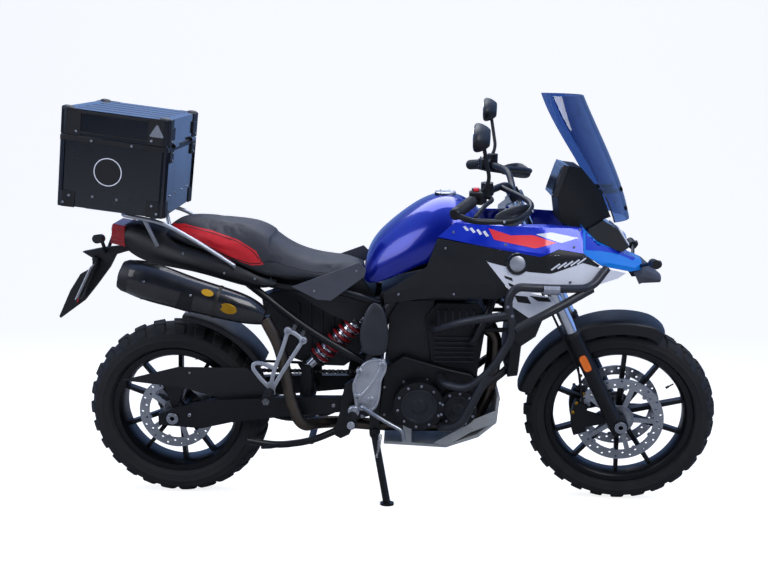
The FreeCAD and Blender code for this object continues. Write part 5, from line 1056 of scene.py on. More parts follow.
@dataclass
class Fork(Assembly):
    """The fork's small parts: seals, reflectors, caps, pinch bolts and caliper pins."""

    home: ClassVar[str] = "steering"
    leg_side: float = 103.0
    slider_radius: float = 26.0
    slider_length: float = 360.0
    rake: float = math.radians(27)

    def leg(self, distance: float, hand: int, ahead: float = 0.0, out: float = 0.0) -> np.ndarray:
        """A point by a leg's axis: some way up it from beside the axle, ahead of it and outwards."""
        up, front = self.ways()
        return rows(*FRONT_AXLE) + up * distance + front * (ahead - 14) + rows(0, hand * (self.leg_side + out), 0)

    def ways(self) -> tuple[np.ndarray, np.ndarray]:
        """The directions up the fork and square ahead of it."""
        sine, cosine = math.sin(self.rake), math.cos(self.rake)
        return rows(-sine, 0, cosine), rows(cosine, 0, sine)

    def build(self) -> None:
        """Makes both legs' parts."""
        seals, caps, bolts, pins, plates = Form(), Form(), Form(), Form(), Form()
        up, front = self.ways()
        turn = circle(24)
        oval = (squared(np.sin(turn), 0.5) * 30)[:, None] * up + (squared(np.cos(turn), 0.5) * 13)[:, None] * front
        for hand in (-1, 1):
            out = rows(0, hand, 0)
            seals.lathe(rows((21.6, 0), (26, 0), (27.5, 3), (27.5, 12), (25.5, 16), (21.6, 17)),
                        self.leg(self.slider_length, hand), up, 32)
            caps.lathe(rows((19, -2), (19, 6), (16, 9), (9, 9), (9, 5)), self.leg(798, hand), up, 24)
            for place in (-14, 14):
                bolts.bolt(self.leg(place - 12, hand, 22), front, 4.5)
            plates.plate(oval + self.leg(262, hand, -2, self.slider_radius - 1.5), out * 5)
            for rise, back in ((96, -128), (60, -150), (24, -160)):
                pins.bolt(rows(FRONT_AXLE[0] + back, hand * 81, FRONT_AXLE[2] + rise), out, 6, 12)
        table = (("fork_seals", seals, SOFT_RUBBER, "rubber"), ("fork_caps", caps, GOLD_ANODISED, "steel"),
                 ("axle_pinch_bolts", bolts, BOLT_STEEL, "steel"), ("caliper_pins", pins, GOLD_ANODISED, "steel"))
        for name, form, finish, slot in table:
            self.make(name, form, finish, slot)
        self.make("fork_reflectors", plates, LAMP_AMBER, "red_lens", 0.8)


@dataclass
class Cowl(Assembly):
    """The side cowls' graphics, vents and badges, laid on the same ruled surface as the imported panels."""

    stations: np.ndarray = field(default_factory=lambda: rows(720, 900, 1100, 1250, 1370, 1430, 1520, 1600, 1670))
    half_width: float = 200.0
    badge_place: tuple = (1159.0, 909.0)
    surface: np.ndarray = field(init=False)

    def __post_init__(self) -> None:
        """The cowl's sections: at each station five points of (across share, height), bottom to top."""
        self.surface = rows(
            [(0.74, 730), (0.82, 780), (0.8, 830), (0.62, 860), (0, 880)],
            [(0.86, 700), (0.98, 840), (0.92, 980), (0.74, 1030), (0, 1050)],
            [(1.04, 680), (1.14, 840), (1.08, 960), (0.86, 1022), (0, 1040)],
            [(1.06, 700), (1.18, 820), (1.12, 940), (0.92, 1020), (0, 1050)],
            [(0.94, 730), (1.06, 825), (1.02, 930), (0.84, 1016), (0, 1030)],
            [(0.78, 750), (0.92, 830), (0.88, 910), (0.64, 962), (0, 968)],
            [(0.5, 790), (0.62, 840), (0.6, 885), (0.4, 920), (0, 925)],
            [(0.26, 810), (0.34, 835), (0.33, 860), (0.22, 885), (0, 892)],
            [(0.08, 805), (0.14, 815), (0.13, 825), (0.08, 832), (0, 834)])

    def across(self, x: np.ndarray, z: np.ndarray) -> np.ndarray:
        """Half width of the cowl at places seen from the side.

        The section at x is blended linearly from its two stations, and then read at height z along its run.

        Args:
            x: places along the machine.
            z: heights, of the same shape.

        Returns:
            Half widths, of the same shape.
        """
        flat = self.surface.reshape(len(self.stations), -1)
        section = np.stack([np.interp(x, self.stations, column) for column in flat.T], axis=-1)
        section = section.reshape(*np.shape(x), 5, 2)
        wide, high = section[..., 0] * self.half_width, section[..., 1]
        result = wide[..., 0]
        for step in range(4):
            share = np.clip((z - high[..., step]) / (high[..., step + 1] - high[..., step]), 0, 1)
            result = np.where(z >= high[..., step], wide[..., step] + share * (wide[..., step + 1] - wide[..., step]),
                              result)
        return result

    def skin(self, form: Form, low: np.ndarray, high: np.ndarray, hand: int, lift: float = 0.9,
             shape: tuple = (28, 8)) -> None:
        """A thin skin between two edges seen from the side: P(u, v) = low(u) (1 - v) + high(u) v, on the cowl.

        Args:
            form: where it goes.
            low: (n, 2) x and z of the lower edge.
            high: the same of the upper edge.
            hand: the side of the machine.
            lift: how far it stands off the panel.
            shape: points along and between the edges.
        """
        count, levels = shape
        share = np.linspace(0, 1, levels)[:, None, None]
        flat = along(low, count)[None] * (1 - share) + along(high, count)[None] * share
        wide = self.across(flat[..., 0], flat[..., 1])
        inner, outer = (np.stack([flat[..., 0], hand * (wide + reach), flat[..., 1]], axis=-1)
                        for reach in (-1.5, lift))
        form.grid(outer)
        for edge in (np.s_[0], np.s_[-1], np.s_[:, 0], np.s_[:, -1]):
            form.grid(np.stack([inner[edge], outer[edge]]))
        form.grid(inner)

    def build(self) -> None:
        """Makes the stripes, the dark bands, the slats and the badges of both sides."""
        red, white, dark, slats = Form(), Form(), Form(), Form()
        rings, discs, deep = Form(), Form(), Form()
        for hand in (-1, 1):
            self.skin(red, rows((1084, 982), (1214, 958), (1283, 974)),
                      rows((1067, 1014), (1102, 1005), (1137, 995), (1209, 997), (1283, 974.5)), hand)
            self.skin(white, rows((1219, 999), (1298, 973), (1355, 987.5)),
                      rows((1219, 1000), (1266, 1006), (1355, 988)), hand)
            for index in range(4):
                place = 985 + index * 21
                self.skin(white, rows((place, 1016 - index * 4), (place + 12, 1004 - index * 5)),
                          rows((place + 8, 1019 - index * 4), (place + 20, 1007 - index * 5)), hand, shape=(4, 3))
            self.skin(dark, rows((1062, 913), (1195, 884), (1269, 879), (1371, 911), (1422, 892)),
                      rows((1062, 922), (1113, 950), (1230, 932), (1290, 954), (1367, 939), (1430, 897)), hand, 1.0)
            for low, high, shape in ((((1229, 788), (1272, 786)), ((1201, 806), (1262, 800)), (8, 4)),
                                     (((1165, 783), (1208, 778)), ((1153, 806), (1194, 803)), (8, 4)),
                                     (((1122, 862), (1146, 853)), ((1117, 871), (1143, 863)), (6, 3)),
                                     (((1136, 838), (1162, 828)), ((1131, 848), (1158, 838)), (6, 3))):
                self.skin(dark, rows(*low), rows(*high), hand, 1.0, shape)
            for index in range(5):
                place = 1268 + index * 21
                self.skin(slats, rows((place, 889 + index * 4), (place + 28, 908 + index * 4)),
                          rows((place - 3, 893 + index * 4), (place + 25, 912 + index * 4)), hand, 2.4, (6, 2))
            self.skin(deep, rows((1380, 950), (1440, 938), (1501, 920), (1534, 906), (1560, 892)),
                      rows((1380, 1012), (1420, 988), (1470, 962), (1530, 925), (1570, 898)), hand)
            self.badge(rings, discs, hand)
        self.make("deep_beak_bands", deep, PANEL_BLUE, "blue_light")
        table = (("red_stripes", red, STRIPE_RED, "blue_light"), ("white_stripes", white, PANEL_WHITE, "white"),
                 ("dark_panel_bands", dark, BLACK_ABS, "black_plastic"), ("panel_slats", slats, PANEL_WHITE, "white"),
                 ("bare_badge_rings", rings, GLOSS_BLACK, "black_plastic"),
                 ("bare_badge_discs", discs, CAST_SILVER, "cast_silver"))
        for name, form, finish, slot in table:
            self.make(name, form, finish, slot)

    def badge(self, form: Form, disc: Form, hand: int) -> None:
        """A round seat for a badge: a raised ring round a plain sunk disc.

        Args:
            form: where the ring goes.
            disc: where the disc goes.
            hand: the side.
        """
        x, z = self.badge_place
        wide = float(self.across(np.array([x]), np.array([z]))[0])
        base, out = rows(x, hand * wide, z), rows(0.05, hand, 0.12)
        form.lathe(rows((36, -8), (36, 2), (34, 4.5), (27, 4.5), (25.5, 2.5), (0.1, 2.5)), base, out, 48)
        disc.lathe(rows((25, 2), (25, 3), (23.5, 3.8), (0.1, 4.2)), base, out, 48)


@dataclass
class Seats(Assembly):
    """Both seats as one pad: blown up a little as cloth, then given its coloured covers and its seams."""

    voxel: float = 0.005  # metres: the net that closes the two solids into one
    grow: float = 0.003  # metres: how far they swell so that they meet
    shrink: float = 0.004  # metres: how far the pad draws in for the air to fill
    cap: float = 0.008  # metres: how far the air may move a point
    pressure: float = 4.0
    frames: int = 20
    red_side: float = 44.0  # millimetres from the middle plane to the red panels
    red: np.ndarray = field(default_factory=lambda: rows((4, 994), (60, 999), (150, 982), (250, 952), (305, 918),
                                                         (330, 872), (290, 868), (212, 888), (115, 938), (30, 980)))

    def build(self) -> None:
        """Makes the one long pad of both seats."""
        made = self.swollen()
        self.covers(made)

    def swollen(self) -> bpy.types.Object:
        """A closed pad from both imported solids: joined, drawn in and blown up by cloth pressure with a cap.

        Returns:
            The pad, as one closed mesh.
        """
        mesh = bpy.data.meshes.new("seat_pad")
        work = bmesh.new()
        for node in ("passenger_seat", "rider_seat"):
            work.from_mesh(self.shop.frame["nodes"][node].data)
        bmesh.ops.remove_doubles(work, verts=work.verts, dist=CAD_WELD)
        work.to_mesh(mesh)
        work.free()
        made = bpy.data.objects.new(mesh.name, mesh)
        bpy.context.scene.collection.objects.link(made)
        places, normals = self.arrays(made)
        self.put(made, places + normals * self.grow)
        self.apply(made, "REMESH", mode="VOXEL", voxel_size=self.voxel)
        places, normals = self.arrays(made)
        self.put(made, places - normals * (self.grow + self.shrink))
        self.inflate(made)
        self.apply(made, "SMOOTH", iterations=2, factor=0.5)
        self.apply(made, "SUBSURF", levels=1, render_levels=1)
        made.data.shade_smooth()
        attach(made, "chassis")
        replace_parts(made, "passenger_seat", "rider_seat")
        return made

    def inflate(self, made: bpy.types.Object) -> None:
        """Runs cloth with pressure for some frames and keeps each point within the cap of its start.

        Args:
            made: the pad, changed in place.
        """
        before, _ = self.arrays(made)
        cloth = made.modifiers.new("pressure", "CLOTH")
        cloth.settings.use_pressure = True
        cloth.settings.uniform_pressure_force = self.pressure
        cloth.settings.effector_weights.gravity = 0.0
        cloth.settings.tension_stiffness = 25.0
        scene = bpy.context.scene
        cloth.point_cache.frame_start = 1
        cloth.point_cache.frame_end = self.frames
        for frame in range(1, self.frames + 1):
            scene.frame_set(frame)
        shape = made.evaluated_get(bpy.context.evaluated_depsgraph_get()).to_mesh()
        flat = np.empty(len(shape.vertices) * 3)
        shape.vertices.foreach_get("co", flat)
        made.evaluated_get(bpy.context.evaluated_depsgraph_get()).to_mesh_clear()
        made.modifiers.remove(cloth)
        scene.frame_set(1)
        move = flat.reshape(-1, 3) - before
        reach = np.linalg.norm(move, axis=1, keepdims=True)
        self.put(made, before + move * np.minimum(1, self.cap / np.maximum(reach, 1e-9)))

    @staticmethod
    def apply(made: bpy.types.Object, kind: str, **settings: object) -> None:
        """Adds one modifier with its settings and applies it to the mesh.

        Args:
            made: the object.
            kind: the modifier's type.
        """
        modifier = made.modifiers.new(kind.lower(), kind)
        for key, value in settings.items():
            setattr(modifier, key, value)
        graph = bpy.context.evaluated_depsgraph_get()
        shape = bpy.data.meshes.new_from_object(made.evaluated_get(graph))
        made.modifiers.clear()
        made.data = shape

    @staticmethod
    def arrays(made: bpy.types.Object) -> tuple[np.ndarray, np.ndarray]:
        """The mesh's points and normals as arrays.

        Args:
            made: the object.

        Returns:
            Its points and its normals, each (n, 3).
        """
        count = len(made.data.vertices)
        places, normals = np.empty(count * 3), np.empty(count * 3)
        made.data.vertices.foreach_get("co", places)
        made.data.vertices.foreach_get("normal", normals)
        return places.reshape(-1, 3), normals.reshape(-1, 3)

    @staticmethod
    def put(made: bpy.types.Object, places: np.ndarray) -> None:
        """Writes points back into the mesh."""
        made.data.vertices.foreach_set("co", places.ravel())
        made.data.update()

    def covers(self, made: bpy.types.Object) -> None:
        """Gives the faces inside the red outline and below the seam their own covers, then lays seams.

        Args:
            made: the pad.
        """
        mesh = made.data
        count = len(mesh.polygons)
        centres = np.empty(count * 3)
        mesh.polygons.foreach_get("center", centres)
        bike = self.shop.stance.upright(centres.reshape(-1, 3)) / MM
        kind = np.zeros(count, dtype=np.int32)
        kind[self.inside(bike[:, [0, 2]], self.red) & (np.abs(bike[:, 1]) > self.red_side)] = 1
        base = np.interp(bike[:, 0], (-10, 30, 140, 260, 354, 500, 660), (966, 948, 915, 868, 836, 828, 826))
        kind[bike[:, 2] < base] = 2
        mesh.materials.clear()
        for finish in (SEAT_VINYL, SEAT_RED, SEAT_BAND):
            mesh.materials.append(finish.material())
        mesh.polygons.foreach_set("material_index", kind)
        self.seams(made)

    @staticmethod
    def inside(points: np.ndarray, outline: np.ndarray) -> np.ndarray:
        """Which flat points lie in an outline, by counting the edges that a line to their right crosses.

        Args:
            points: (n, 2) points.
            outline: (m, 2) corners of a closed outline.

        Returns:
            One truth value for each point.
        """
        x, y = points[:, :1], points[:, 1:]
        a, b = outline, np.roll(outline, -1, axis=0)
        spans = (a[:, 1] > y) != (b[:, 1] > y)
        rise = np.where(b[:, 1] == a[:, 1], 1e-9, b[:, 1] - a[:, 1])
        cross = a[:, 0] + (y - a[:, 1]) * (b[:, 0] - a[:, 0]) / rise
        return (np.sum(spans & (x < cross), axis=1) % 2).astype(bool)

    def seams(self, made: bpy.types.Object) -> None:
        """Welts laid on the cover's surface: each knot takes the nearest surface point seen from the side.

        Args:
            made: the pad that they lie on.
        """
        lines = (np.vstack([self.red, self.red[:1]]), rows((-4, 962), (30, 948), (140, 915), (260, 868), (350, 838)),
                 rows((358, 836), (430, 830), (500, 828), (600, 826), (650, 828)),
                 rows((330, 872), (362, 890), (420, 874), (500, 856), (580, 848), (645, 846)))
        places, _ = self.arrays(made)
        skin = self.shop.stance.upright(places) / MM
        form = Form()
        for hand in (-1, 1):
            near = skin[skin[:, 1] * hand > 30]
            for line in lines:
                knots = along(line, 60)
                gap = np.linalg.norm(knots[:, None] - near[None, :, [0, 2]], axis=2)
                pick = np.where(gap < 7, np.abs(near[None, :, 1]), 0)
                best = near[np.argmax(pick, axis=1)]
                smooth = np.convolve(np.pad(best[:, 1], 2, mode="edge"), np.ones(5) / 5, mode="valid")
                path = np.stack([best[:, 0], smooth, best[:, 2]], axis=-1)
                form.sweep(np.vstack([path[:1], (path[:-2] + path[1:-1] + path[2:]) / 3, path[-1:]]), 1.5, 6)
        self.make("seat_welts", form, SEAT_BAND, "seat_vinyl")


@dataclass
class TopBox(Assembly):
    """The top box's trim: corner caps, edge rails, latches, screws, reflectors and a bare round badge seat."""

    length: float = 338.0
    width: float = 402.0
    height: float = 228.0
    lid: float = 84.0
    nose_down: float = math.radians(7)
    axes: np.ndarray = field(init=False)
    origin: np.ndarray = field(init=False)

    def __post_init__(self) -> None:
        """Finds the box's own axes and its corner from its lid hinge."""
        hinge = np.array(self.shop.stance.joints["lid_hinge"]["pos_m"])
        sine, cosine = math.sin(self.nose_down), math.cos(self.nose_down)
        self.axes = rows((cosine, 0, -sine), (0, 1, 0), (sine, 0, cosine))
        self.origin = self.shop.stance.upright(hinge) / MM - rows(176, 0, self.height) @ self.axes

    def place(self, points: np.ndarray) -> np.ndarray:
        """Points of the box's own frame, taken to the row frame."""
        return self.shop.stance.bike(np.asarray(points) @ self.axes + self.origin)

    def layout(self, body: str) -> Callable:
        """The box and its lid are both laid out in the box's own frame."""
        return self.place

    def corner(self, form: Form, end: int, hand: int, low: float, high: float, reach: float) -> None:
        """A cap round one upright edge: an angle section, chamfered outside and pushed upwards.

        Args:
            form: where it goes.
            end: 1 at the front, -1 at the rear.
            hand: the side.
            low: height of its foot.
            high: height of its top.
            reach: how far it runs along each wall.
        """
        x, y = self.length / 2, self.width / 2
        section = rows((x - reach, y - 1), (x - reach, y + 3), (x - 14, y + 6), (x + 6, y - 14), (x + 3, y - reach),
                       (x - 1, y - reach), (x - 1, y - 1)) * [end, hand]
        form.plate(np.column_stack([section, np.full(7, low)]), rows(0, 0, high - low))

    def build(self) -> None:
        """Makes the trim of the box and of its lid."""
        black, lid_black, bolts, lid_bolts, glass, rails = Form(), Form(), Form(), Form(), Form(), Form()
        top = self.height + self.lid
        x, y = self.length / 2, self.width / 2
        for end in (-1, 1):
            for hand in (-1, 1):
                self.corner(black, end, hand, -2, 50, 54)
                self.corner(rails, end, hand, 48, self.height - 16, 13)
                self.corner(lid_black, end, hand, self.height + 3, top + 1, 62)
                lid_black.lathe(rows((20, -6), (20, 0), (17, 4), (10, 7), (0.1, 8)),
                                rows(end * (x - 15), hand * (y - 15), top - 0.5), rows(0, 0, 1), 28)
                out, screw = rows(0, hand, 0), 4.5
                bolts.bolt(rows(end * (x - 36), hand * (y + 3.8), 36), out, screw)
                bolts.bolt(rows(end * (x - 18), hand * (y + 5), 12), out, screw)
                lid_bolts.bolt(rows(end * (x - 50), hand * (y + 3.2), self.height + 14), out, screw)
                lid_bolts.bolt(rows(end * (x + 3.8), hand * (y - 38), self.height + 14), rows(end, 0, 0), screw)
            self.triangle(glass, end)
        for hand in (-1, 1):
            black.block(rows(0, hand * (y + 1), self.height - 10), rows(self.length - 4, 4, 16))
            lid_black.block(rows(0, hand * (y + 1), top - 8), rows(self.length - 100, 5, 9))
            lid_black.block(rows(0, hand * (y + 1), self.height + 12), rows(self.length - 100, 4, 6))
            out = rows(0, hand, 0)
            bolts.bolts([rows(spot, hand * (y + 3), self.height - 10) for spot in (-70, 58)], out, 4.5)
            bolts.bolts([rows(spot, hand * y, 40) for spot in (-58, 20)], out, 4.5)
        for end in (-1, 1):
            black.block(rows(end * (x + 1), 0, self.height - 10), rows(4, self.width - 4, 16))
            bolts.bolts([rows(end * x, side, 60) for side in (-120, -40, 40, 120)], rows(end, 0, 0), 3.5)
        self.latches(black, lid_black, bolts)
        for side in (-140, -70, 0, 70, 140):
            lid_black.block(rows(0, side, top - 0.5), rows(self.length - 60, 5, 3))
        for name, form, finish, body in (("box_corners", black, BLACK_ABS, "chassis"),
                                         ("box_edge_strips", rails, CASE_EDGE, "chassis"),
                                         ("lid_corners", lid_black, BLACK_ABS, "box_lid"),
                                         ("box_screws", bolts, BOLT_STEEL, "chassis"),
                                         ("lid_screws", lid_bolts, BOLT_STEEL, "box_lid")):
            self.make(name, form, finish, "black_plastic", 0.8, body=body)
        self.make("lid_reflectors", glass, REFLECTOR_GREY, "black_plastic", body="box_lid")
        self.badge_piece()

    def triangle(self, form: Form, hand: int) -> None:
        """A three-cornered reflector on a lid's front corner, pushed outwards.

        Args:
            form: where it goes.
            hand: the side.
        """
        centre = rows(self.length / 2 - 34, hand * (self.width / 2 + 4), self.height + 42)
        turn = np.pi / 2 + np.array([-0.1, 0.1, 2 * np.pi / 3 - 0.1, 2 * np.pi / 3 + 0.1, 4 * np.pi / 3 - 0.1,
                                     4 * np.pi / 3 + 0.1])
        ring = np.stack([np.cos(turn) * 24, np.zeros(6), np.sin(turn) * 24], axis=-1)
        form.plate(centre + ring, rows(0, hand * 3.5, 0))

    def badge_piece(self) -> None:
        """A plain round disc with a raised rim on each side of the box, left bare."""
        rim, disc = Form(), Form()
        for hand in (-1, 1):
            base = rows(-14, hand * self.width / 2, 125)
            rim.lathe(rows((45, -1), (45, 0.9), (42, 0.9), (42, -1)), base, rows(0, hand, 0), 64)
            disc.lathe(rows((42, -1), (42, 0.5)), base, rows(0, hand, 0), 64)
        self.make("box_badge_rims", rim, PANEL_WHITE, "shell_black")
        self.make("box_badge_discs", disc, BLACK_ABS, "shell_black")

    def latches(self, black: Form, lid_black: Form, bolts: Form) -> None:
        """Two over-centre latches on the rear face and two hinge covers on the front face.

        Args:
            black: the box's parts.
            lid_black: the lid's parts.
            bolts: the box's screws.
        """
        x = self.length / 2
        for side in (-110, 110):
            black.block(rows(-x - 4, side, self.height - 34), rows(8, 46, 52))
            lid_black.block(rows(-x - 4, side, self.height + 22), rows(8, 40, 34))
            black.block(rows(-x - 9, side, self.height - 30), rows(5, 30, 38))
        for side in (-150, 150):
            black.block(rows(x + 3, side, self.height - 34), rows(6, 44, 40))
            lid_black.block(rows(x + 3, side, self.height + 38), rows(6, 44, 40))
            for rise in (-46, -22):
                bolts.bolt(rows(x + 6, side, self.height + rise), rows(1, 0, 0), 4)


@dataclass
class Engine(Assembly):
    """The engine's trim: cover screws and rings, ribs, hoses, radiator fins and the skid plate's wings."""

    def build(self) -> None:
        """Makes the trim of both sides."""
        self.covers()
        self.cylinder_ribs()
        self.hoses()
        self.radiator_fins()
        self.skid_trim()

    def covers(self) -> None:
        """Rings and screws on the round covers, and screws round the crankcase edge."""
        rings, bolts = Form(), Form()
        turn = np.arange(10) * 2 * np.pi / 10 + 0.2
        for hand in (-1, 1):
            out = rows(0, hand, 0)
            for x, z, reach in ((853, 400, 85), (985, 385, 66)):
                face = self.shop.touch("engine_covers", rows((x, z)), hand)
                if len(face) == 0:
                    continue
                base = face[0]
                rings.lathe(rows((reach * 0.72, -1), (reach * 0.72, 3), (reach * 0.66, 4), (reach * 0.62, 3),
                                 (reach * 0.62, 0.5), (reach * 0.3, 0.5), (reach * 0.28, 4), (reach * 0.2, 5),
                                 (0.1, 5)), base, out, 48)
                spots = np.stack([x + reach * 0.86 * np.cos(turn), z + reach * 0.86 * np.sin(turn)], axis=-1)
                bolts.bolts(self.shop.touch("engine_covers", spots, hand), out, 5)
            edge = rows((735, 350), (735, 450), (790, 330), (900, 325), (1000, 345), (1040, 400), (1030, 455),
                        (800, 470), (880, 478))
            bolts.bolts(self.shop.touch("crankcase", edge, hand), out, 5)
        self.make("cover_rings", rings, CAST_DARK, "black_cast", 0.6)
        self.make("engine_screws", bolts, BOLT_STEEL, "steel")

    def cylinder_ribs(self) -> None:
        """Level ribs on both sides of the cylinders, and the upright ribs of the head cover."""
        form = Form()
        for hand in (-1, 1):
            for rise in np.arange(505, 640, 17):
                spots = self.shop.touch("cylinder_block", rows((900, rise), (1040, rise)), hand)
                if len(spots) == 2:
                    middle = spots.mean(axis=0)
                    form.block(middle + rows(0, hand * 3, 0), rows(135, 10, 5))
            for ahead in np.arange(915, 1040, 24):
                spots = self.shop.touch("cylinder_block", rows((ahead, 690)), hand)
                if len(spots):
                    form.block(spots[0] + rows(0, hand * 2, 0), rows(8, 8, 62))
        self.make("cylinder_ribs", form, CAST_DARK, "black_cast", 1.2)

    def hoses(self) -> None:
        """Coolant hoses from the radiator to the head and the pump, with their clips."""
        form, clips = Form(), Form()
        for hand in (-1, 1):
            side = hand * 105
            path = curve(rows((1158, side, 690), (1130, side * 1.1, 700), (1085, side * 1.15, 690),
                              (1060, side * 0.98, 660)), 8)
            form.sweep(path, 14, 16)
            for place in (3, 20):
                ahead = path[place + 1] - path[place]
                clips.lathe(rows((15.5, -5), (15.5, 5)), path[place], ahead, 24)
            low = curve(rows((1160, side * 0.9, 520), (1130, side * 1.1, 500), (1090, side * 1.15, 470),
                             (1050, side * 1.05, 440)), 8)
            form.sweep(low, 13, 16)
        self.make("coolant_hoses", form, SOFT_RUBBER, "rubber")
        self.make("hose_clips", clips, BOLT_STEEL, "steel")

    def radiator_fins(self) -> None:
        """Thin level fins on the radiator's front face, leaning with it."""
        form = Form()
        for share in np.linspace(0.04, 0.96, 44):
            centre = rows(1184 + 16 * share + 1, 0, 505 + 215 * share)
            form.block(centre, rows(3.5, 270, 1.1))
        self.make("radiator_fins", form, CAST_SILVER, "cast_silver")

    def skid_trim(self) -> None:
        """Screws on the skid plate's sides and front, and the raised wings on its sides."""
        bolts = Form()
        for hand in (-1, 1):
            places = rows((780, 262), (960, 262), (1080, 330), (1112, 390))
            bolts.bolts(self.shop.touch("skid_plate", places, hand), rows(0, hand, 0), 6)
        for side in (-70, 0, 70):
            bolts.bolt(rows(1131, side, 392), rows(1, 0, 0.05), 6)
        wings = Form()
        wing = rows((1123, 374), (1121, 326), (1033, 289), (951, 236), (905, 247), (985, 296), (1040, 336))
        for hand in (-1, 1):
            wings.wall(wing, hand * 124.5, hand * 3)
        self.make("skid_wings", wings, SKID_GREY, "cast_silver", 0.8)
        self.make("skid_screws", bolts, BOLT_STEEL, "steel")


@dataclass
class Exhaust(Assembly):
    """The silencer's trim: bands, an end cap with its outlet, a heat shield and two bare plates."""

    rear: np.ndarray = field(default_factory=lambda: rows(-130, -188, 848))
    front: np.ndarray = field(default_factory=lambda: rows(335, -168, 705))
    height: float = 112.0
    width: float = 92.0

    def ahead(self) -> np.ndarray:
        """The way from the can's rear end to its front."""
        return unit(self.front - self.rear)

    def ring(self, share: float, grow: float, thick: float) -> np.ndarray:
        """An oval band round the can: half height times sin, half width times cos, square to the can.

        Args:
            share: place along the can, from its rear.
            grow: size as a share of the can's.
            thick: distance off the can.

        Returns:
            (64, 3) points.
        """
        side = rows(0, 1, 0)
        up = np.cross(self.ahead(), side)
        up = unit(up) * (1 if up[2] > 0 else -1)
        turn = circle(64)
        centre = self.middle(share)
        spread = (up * (self.height / 2 * grow + thick) * np.sin(turn)[:, None]
                  + side * (self.width / 2 * grow + thick) * np.cos(turn)[:, None])
        return centre + spread

    def middle(self, share: float) -> np.ndarray:
        """The can's axis, through its packed section centres."""
        knots = rows((-130, -188, 848), (-100, -188, 842), (140, -188, 772), (240, -180, 742), (335, -168, 705))
        return along(knots, 101)[int(round(share * 100))]

    def band(self, form: Form, first: float, last: float, grow: tuple, thick: float) -> None:
        """A closed band between two places on the can."""
        form.capped(np.stack([self.ring(first, grow[0], 0.2), self.ring(first, grow[0], thick),
                              self.ring(last, grow[1], thick), self.ring(last, grow[1], 0.2)]))

    def build(self) -> None:
        """Makes the bands, the cap, the outlet, the shield with its screws and the plates."""
        bands, cap, outlet, bolts = Form(), Form(), Form(), Form()
        self.band(bands, 0.09, 0.13, (1.0, 1.0), 1.8)
        self.band(bands, 0.66, 0.68, (0.98, 0.97), 1.6)
        ahead = self.ahead()
        cap.capped(np.stack([self.ring(0.0, 0.8, -16), self.ring(0.0, 0.8, 0.5), self.ring(0.03, 0.93, 1.5),
                             self.ring(0.08, 1.0, 1.5)]))
        outlet.lathe(rows((0.1, 2), (17, 2), (17, -6), (20, -6), (20, 6)), self.rear, ahead, 40)
        outer, inner = (np.stack([self.ring(share, 1.0, thick)[28:46] for share in np.linspace(0.16, 0.52, 16)])
                        for thick in (5.0, 2.0))
        plate = Form().grid(outer).grid(inner)
        edge, back = (np.concatenate([sheet[0], sheet[1:, -1], sheet[-1, -2::-1], sheet[-2:0:-1, 0]])
                      for sheet in (outer, inner))
        plate.grid(np.stack([back, edge]), ring=True)
        for row in (1, 14):
            for column in (2, 15):
                way = outer[row, column] - self.middle(0.34)
                way[0] = 0
                bolts.bolt(outer[row, column], way, 4.5)
        plates = Form()
        for share, index, reach in ((0.76, 32, 17), (0.6, 26, 12)):
            spot = self.ring(share, 0.93 if share > 0.7 else 1.0, 0.0)[index]
            way = spot - self.middle(share)
            turn = circle(32)[:, None]
            side = unit(np.cross(unit(way), ahead))
            plates.plate(spot + ahead * np.cos(turn) * reach * 1.7 + side * np.sin(turn) * reach, unit(way) * 2.5)
        self.make("bare_silencer_plates", plates, GOLD_ANODISED, "steel", 0.6)
        table = (("silencer_bands", bands, DARK_STEEL, "steel"), ("silencer_cap", cap, BLACK_ABS, "exhaust_dark"),
                 ("silencer_outlet", outlet, PIPE_STEEL, "exhaust_dark"),
                 ("heat_shield", plate, SHIELD_BLACK, "exhaust_dark"), ("shield_screws", bolts, BOLT_STEEL, "steel"))
        for name, form, finish, slot in table:
            self.make(name, form, finish, slot)


@dataclass
class Shock(Assembly):
    """The rear shock: a red coil spring round its damper, between two eyes."""

    low: np.ndarray = field(default_factory=lambda: rows(460, -40, 490))
    high: np.ndarray = field(default_factory=lambda: rows(675, -40, 690))
    spring_radius: float = 32.0
    wire: float = 5.5
    turns: int = 7

    def build(self) -> None:
        """Makes the damper, the collars and the spring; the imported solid's dressed copy gives the rest."""
        run = self.high - self.low
        length = float(np.linalg.norm(run))
        way = run / length
        damper, collars, spring = Form(), Form(), Form()
        damper.lathe(rows((9, 14), (9, length * 0.5), (9.5, length * 0.5), (9.5, length - 14)), self.low, way, 32)
        damper.lathe(rows((22, 0), (22, length * 0.4)), self.low + run * 0.5, way, 32)
        collars.lathe(rows((12, 0), (38, 0), (38, 8), (12, 8)), self.low + run * 0.16, way, 40)
        collars.lathe(rows((12, 0), (38, 0), (38, 10), (24, 18), (12, 18)), self.low + run * 0.82, way, 40)
        for end in (self.low, self.high):
            collars.lathe(rows((19, -14), (19, 14)), end, rows(0, 1, 0), 32)
        rise = np.linspace(0.2, 0.82, self.turns * 32) * length
        spring.sweep(coil(self.low, way, rise, self.spring_radius, self.turns), self.wire, 10)
        for name, form, finish in (("shock_damper", damper, BRIGHT_STEEL), ("shock_collars", collars, CAST_BLACK),
                                   ("shock_spring", spring, SPRING_RED)):
            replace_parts(self.make(name, form, finish, "steel"), "shock_absorber")


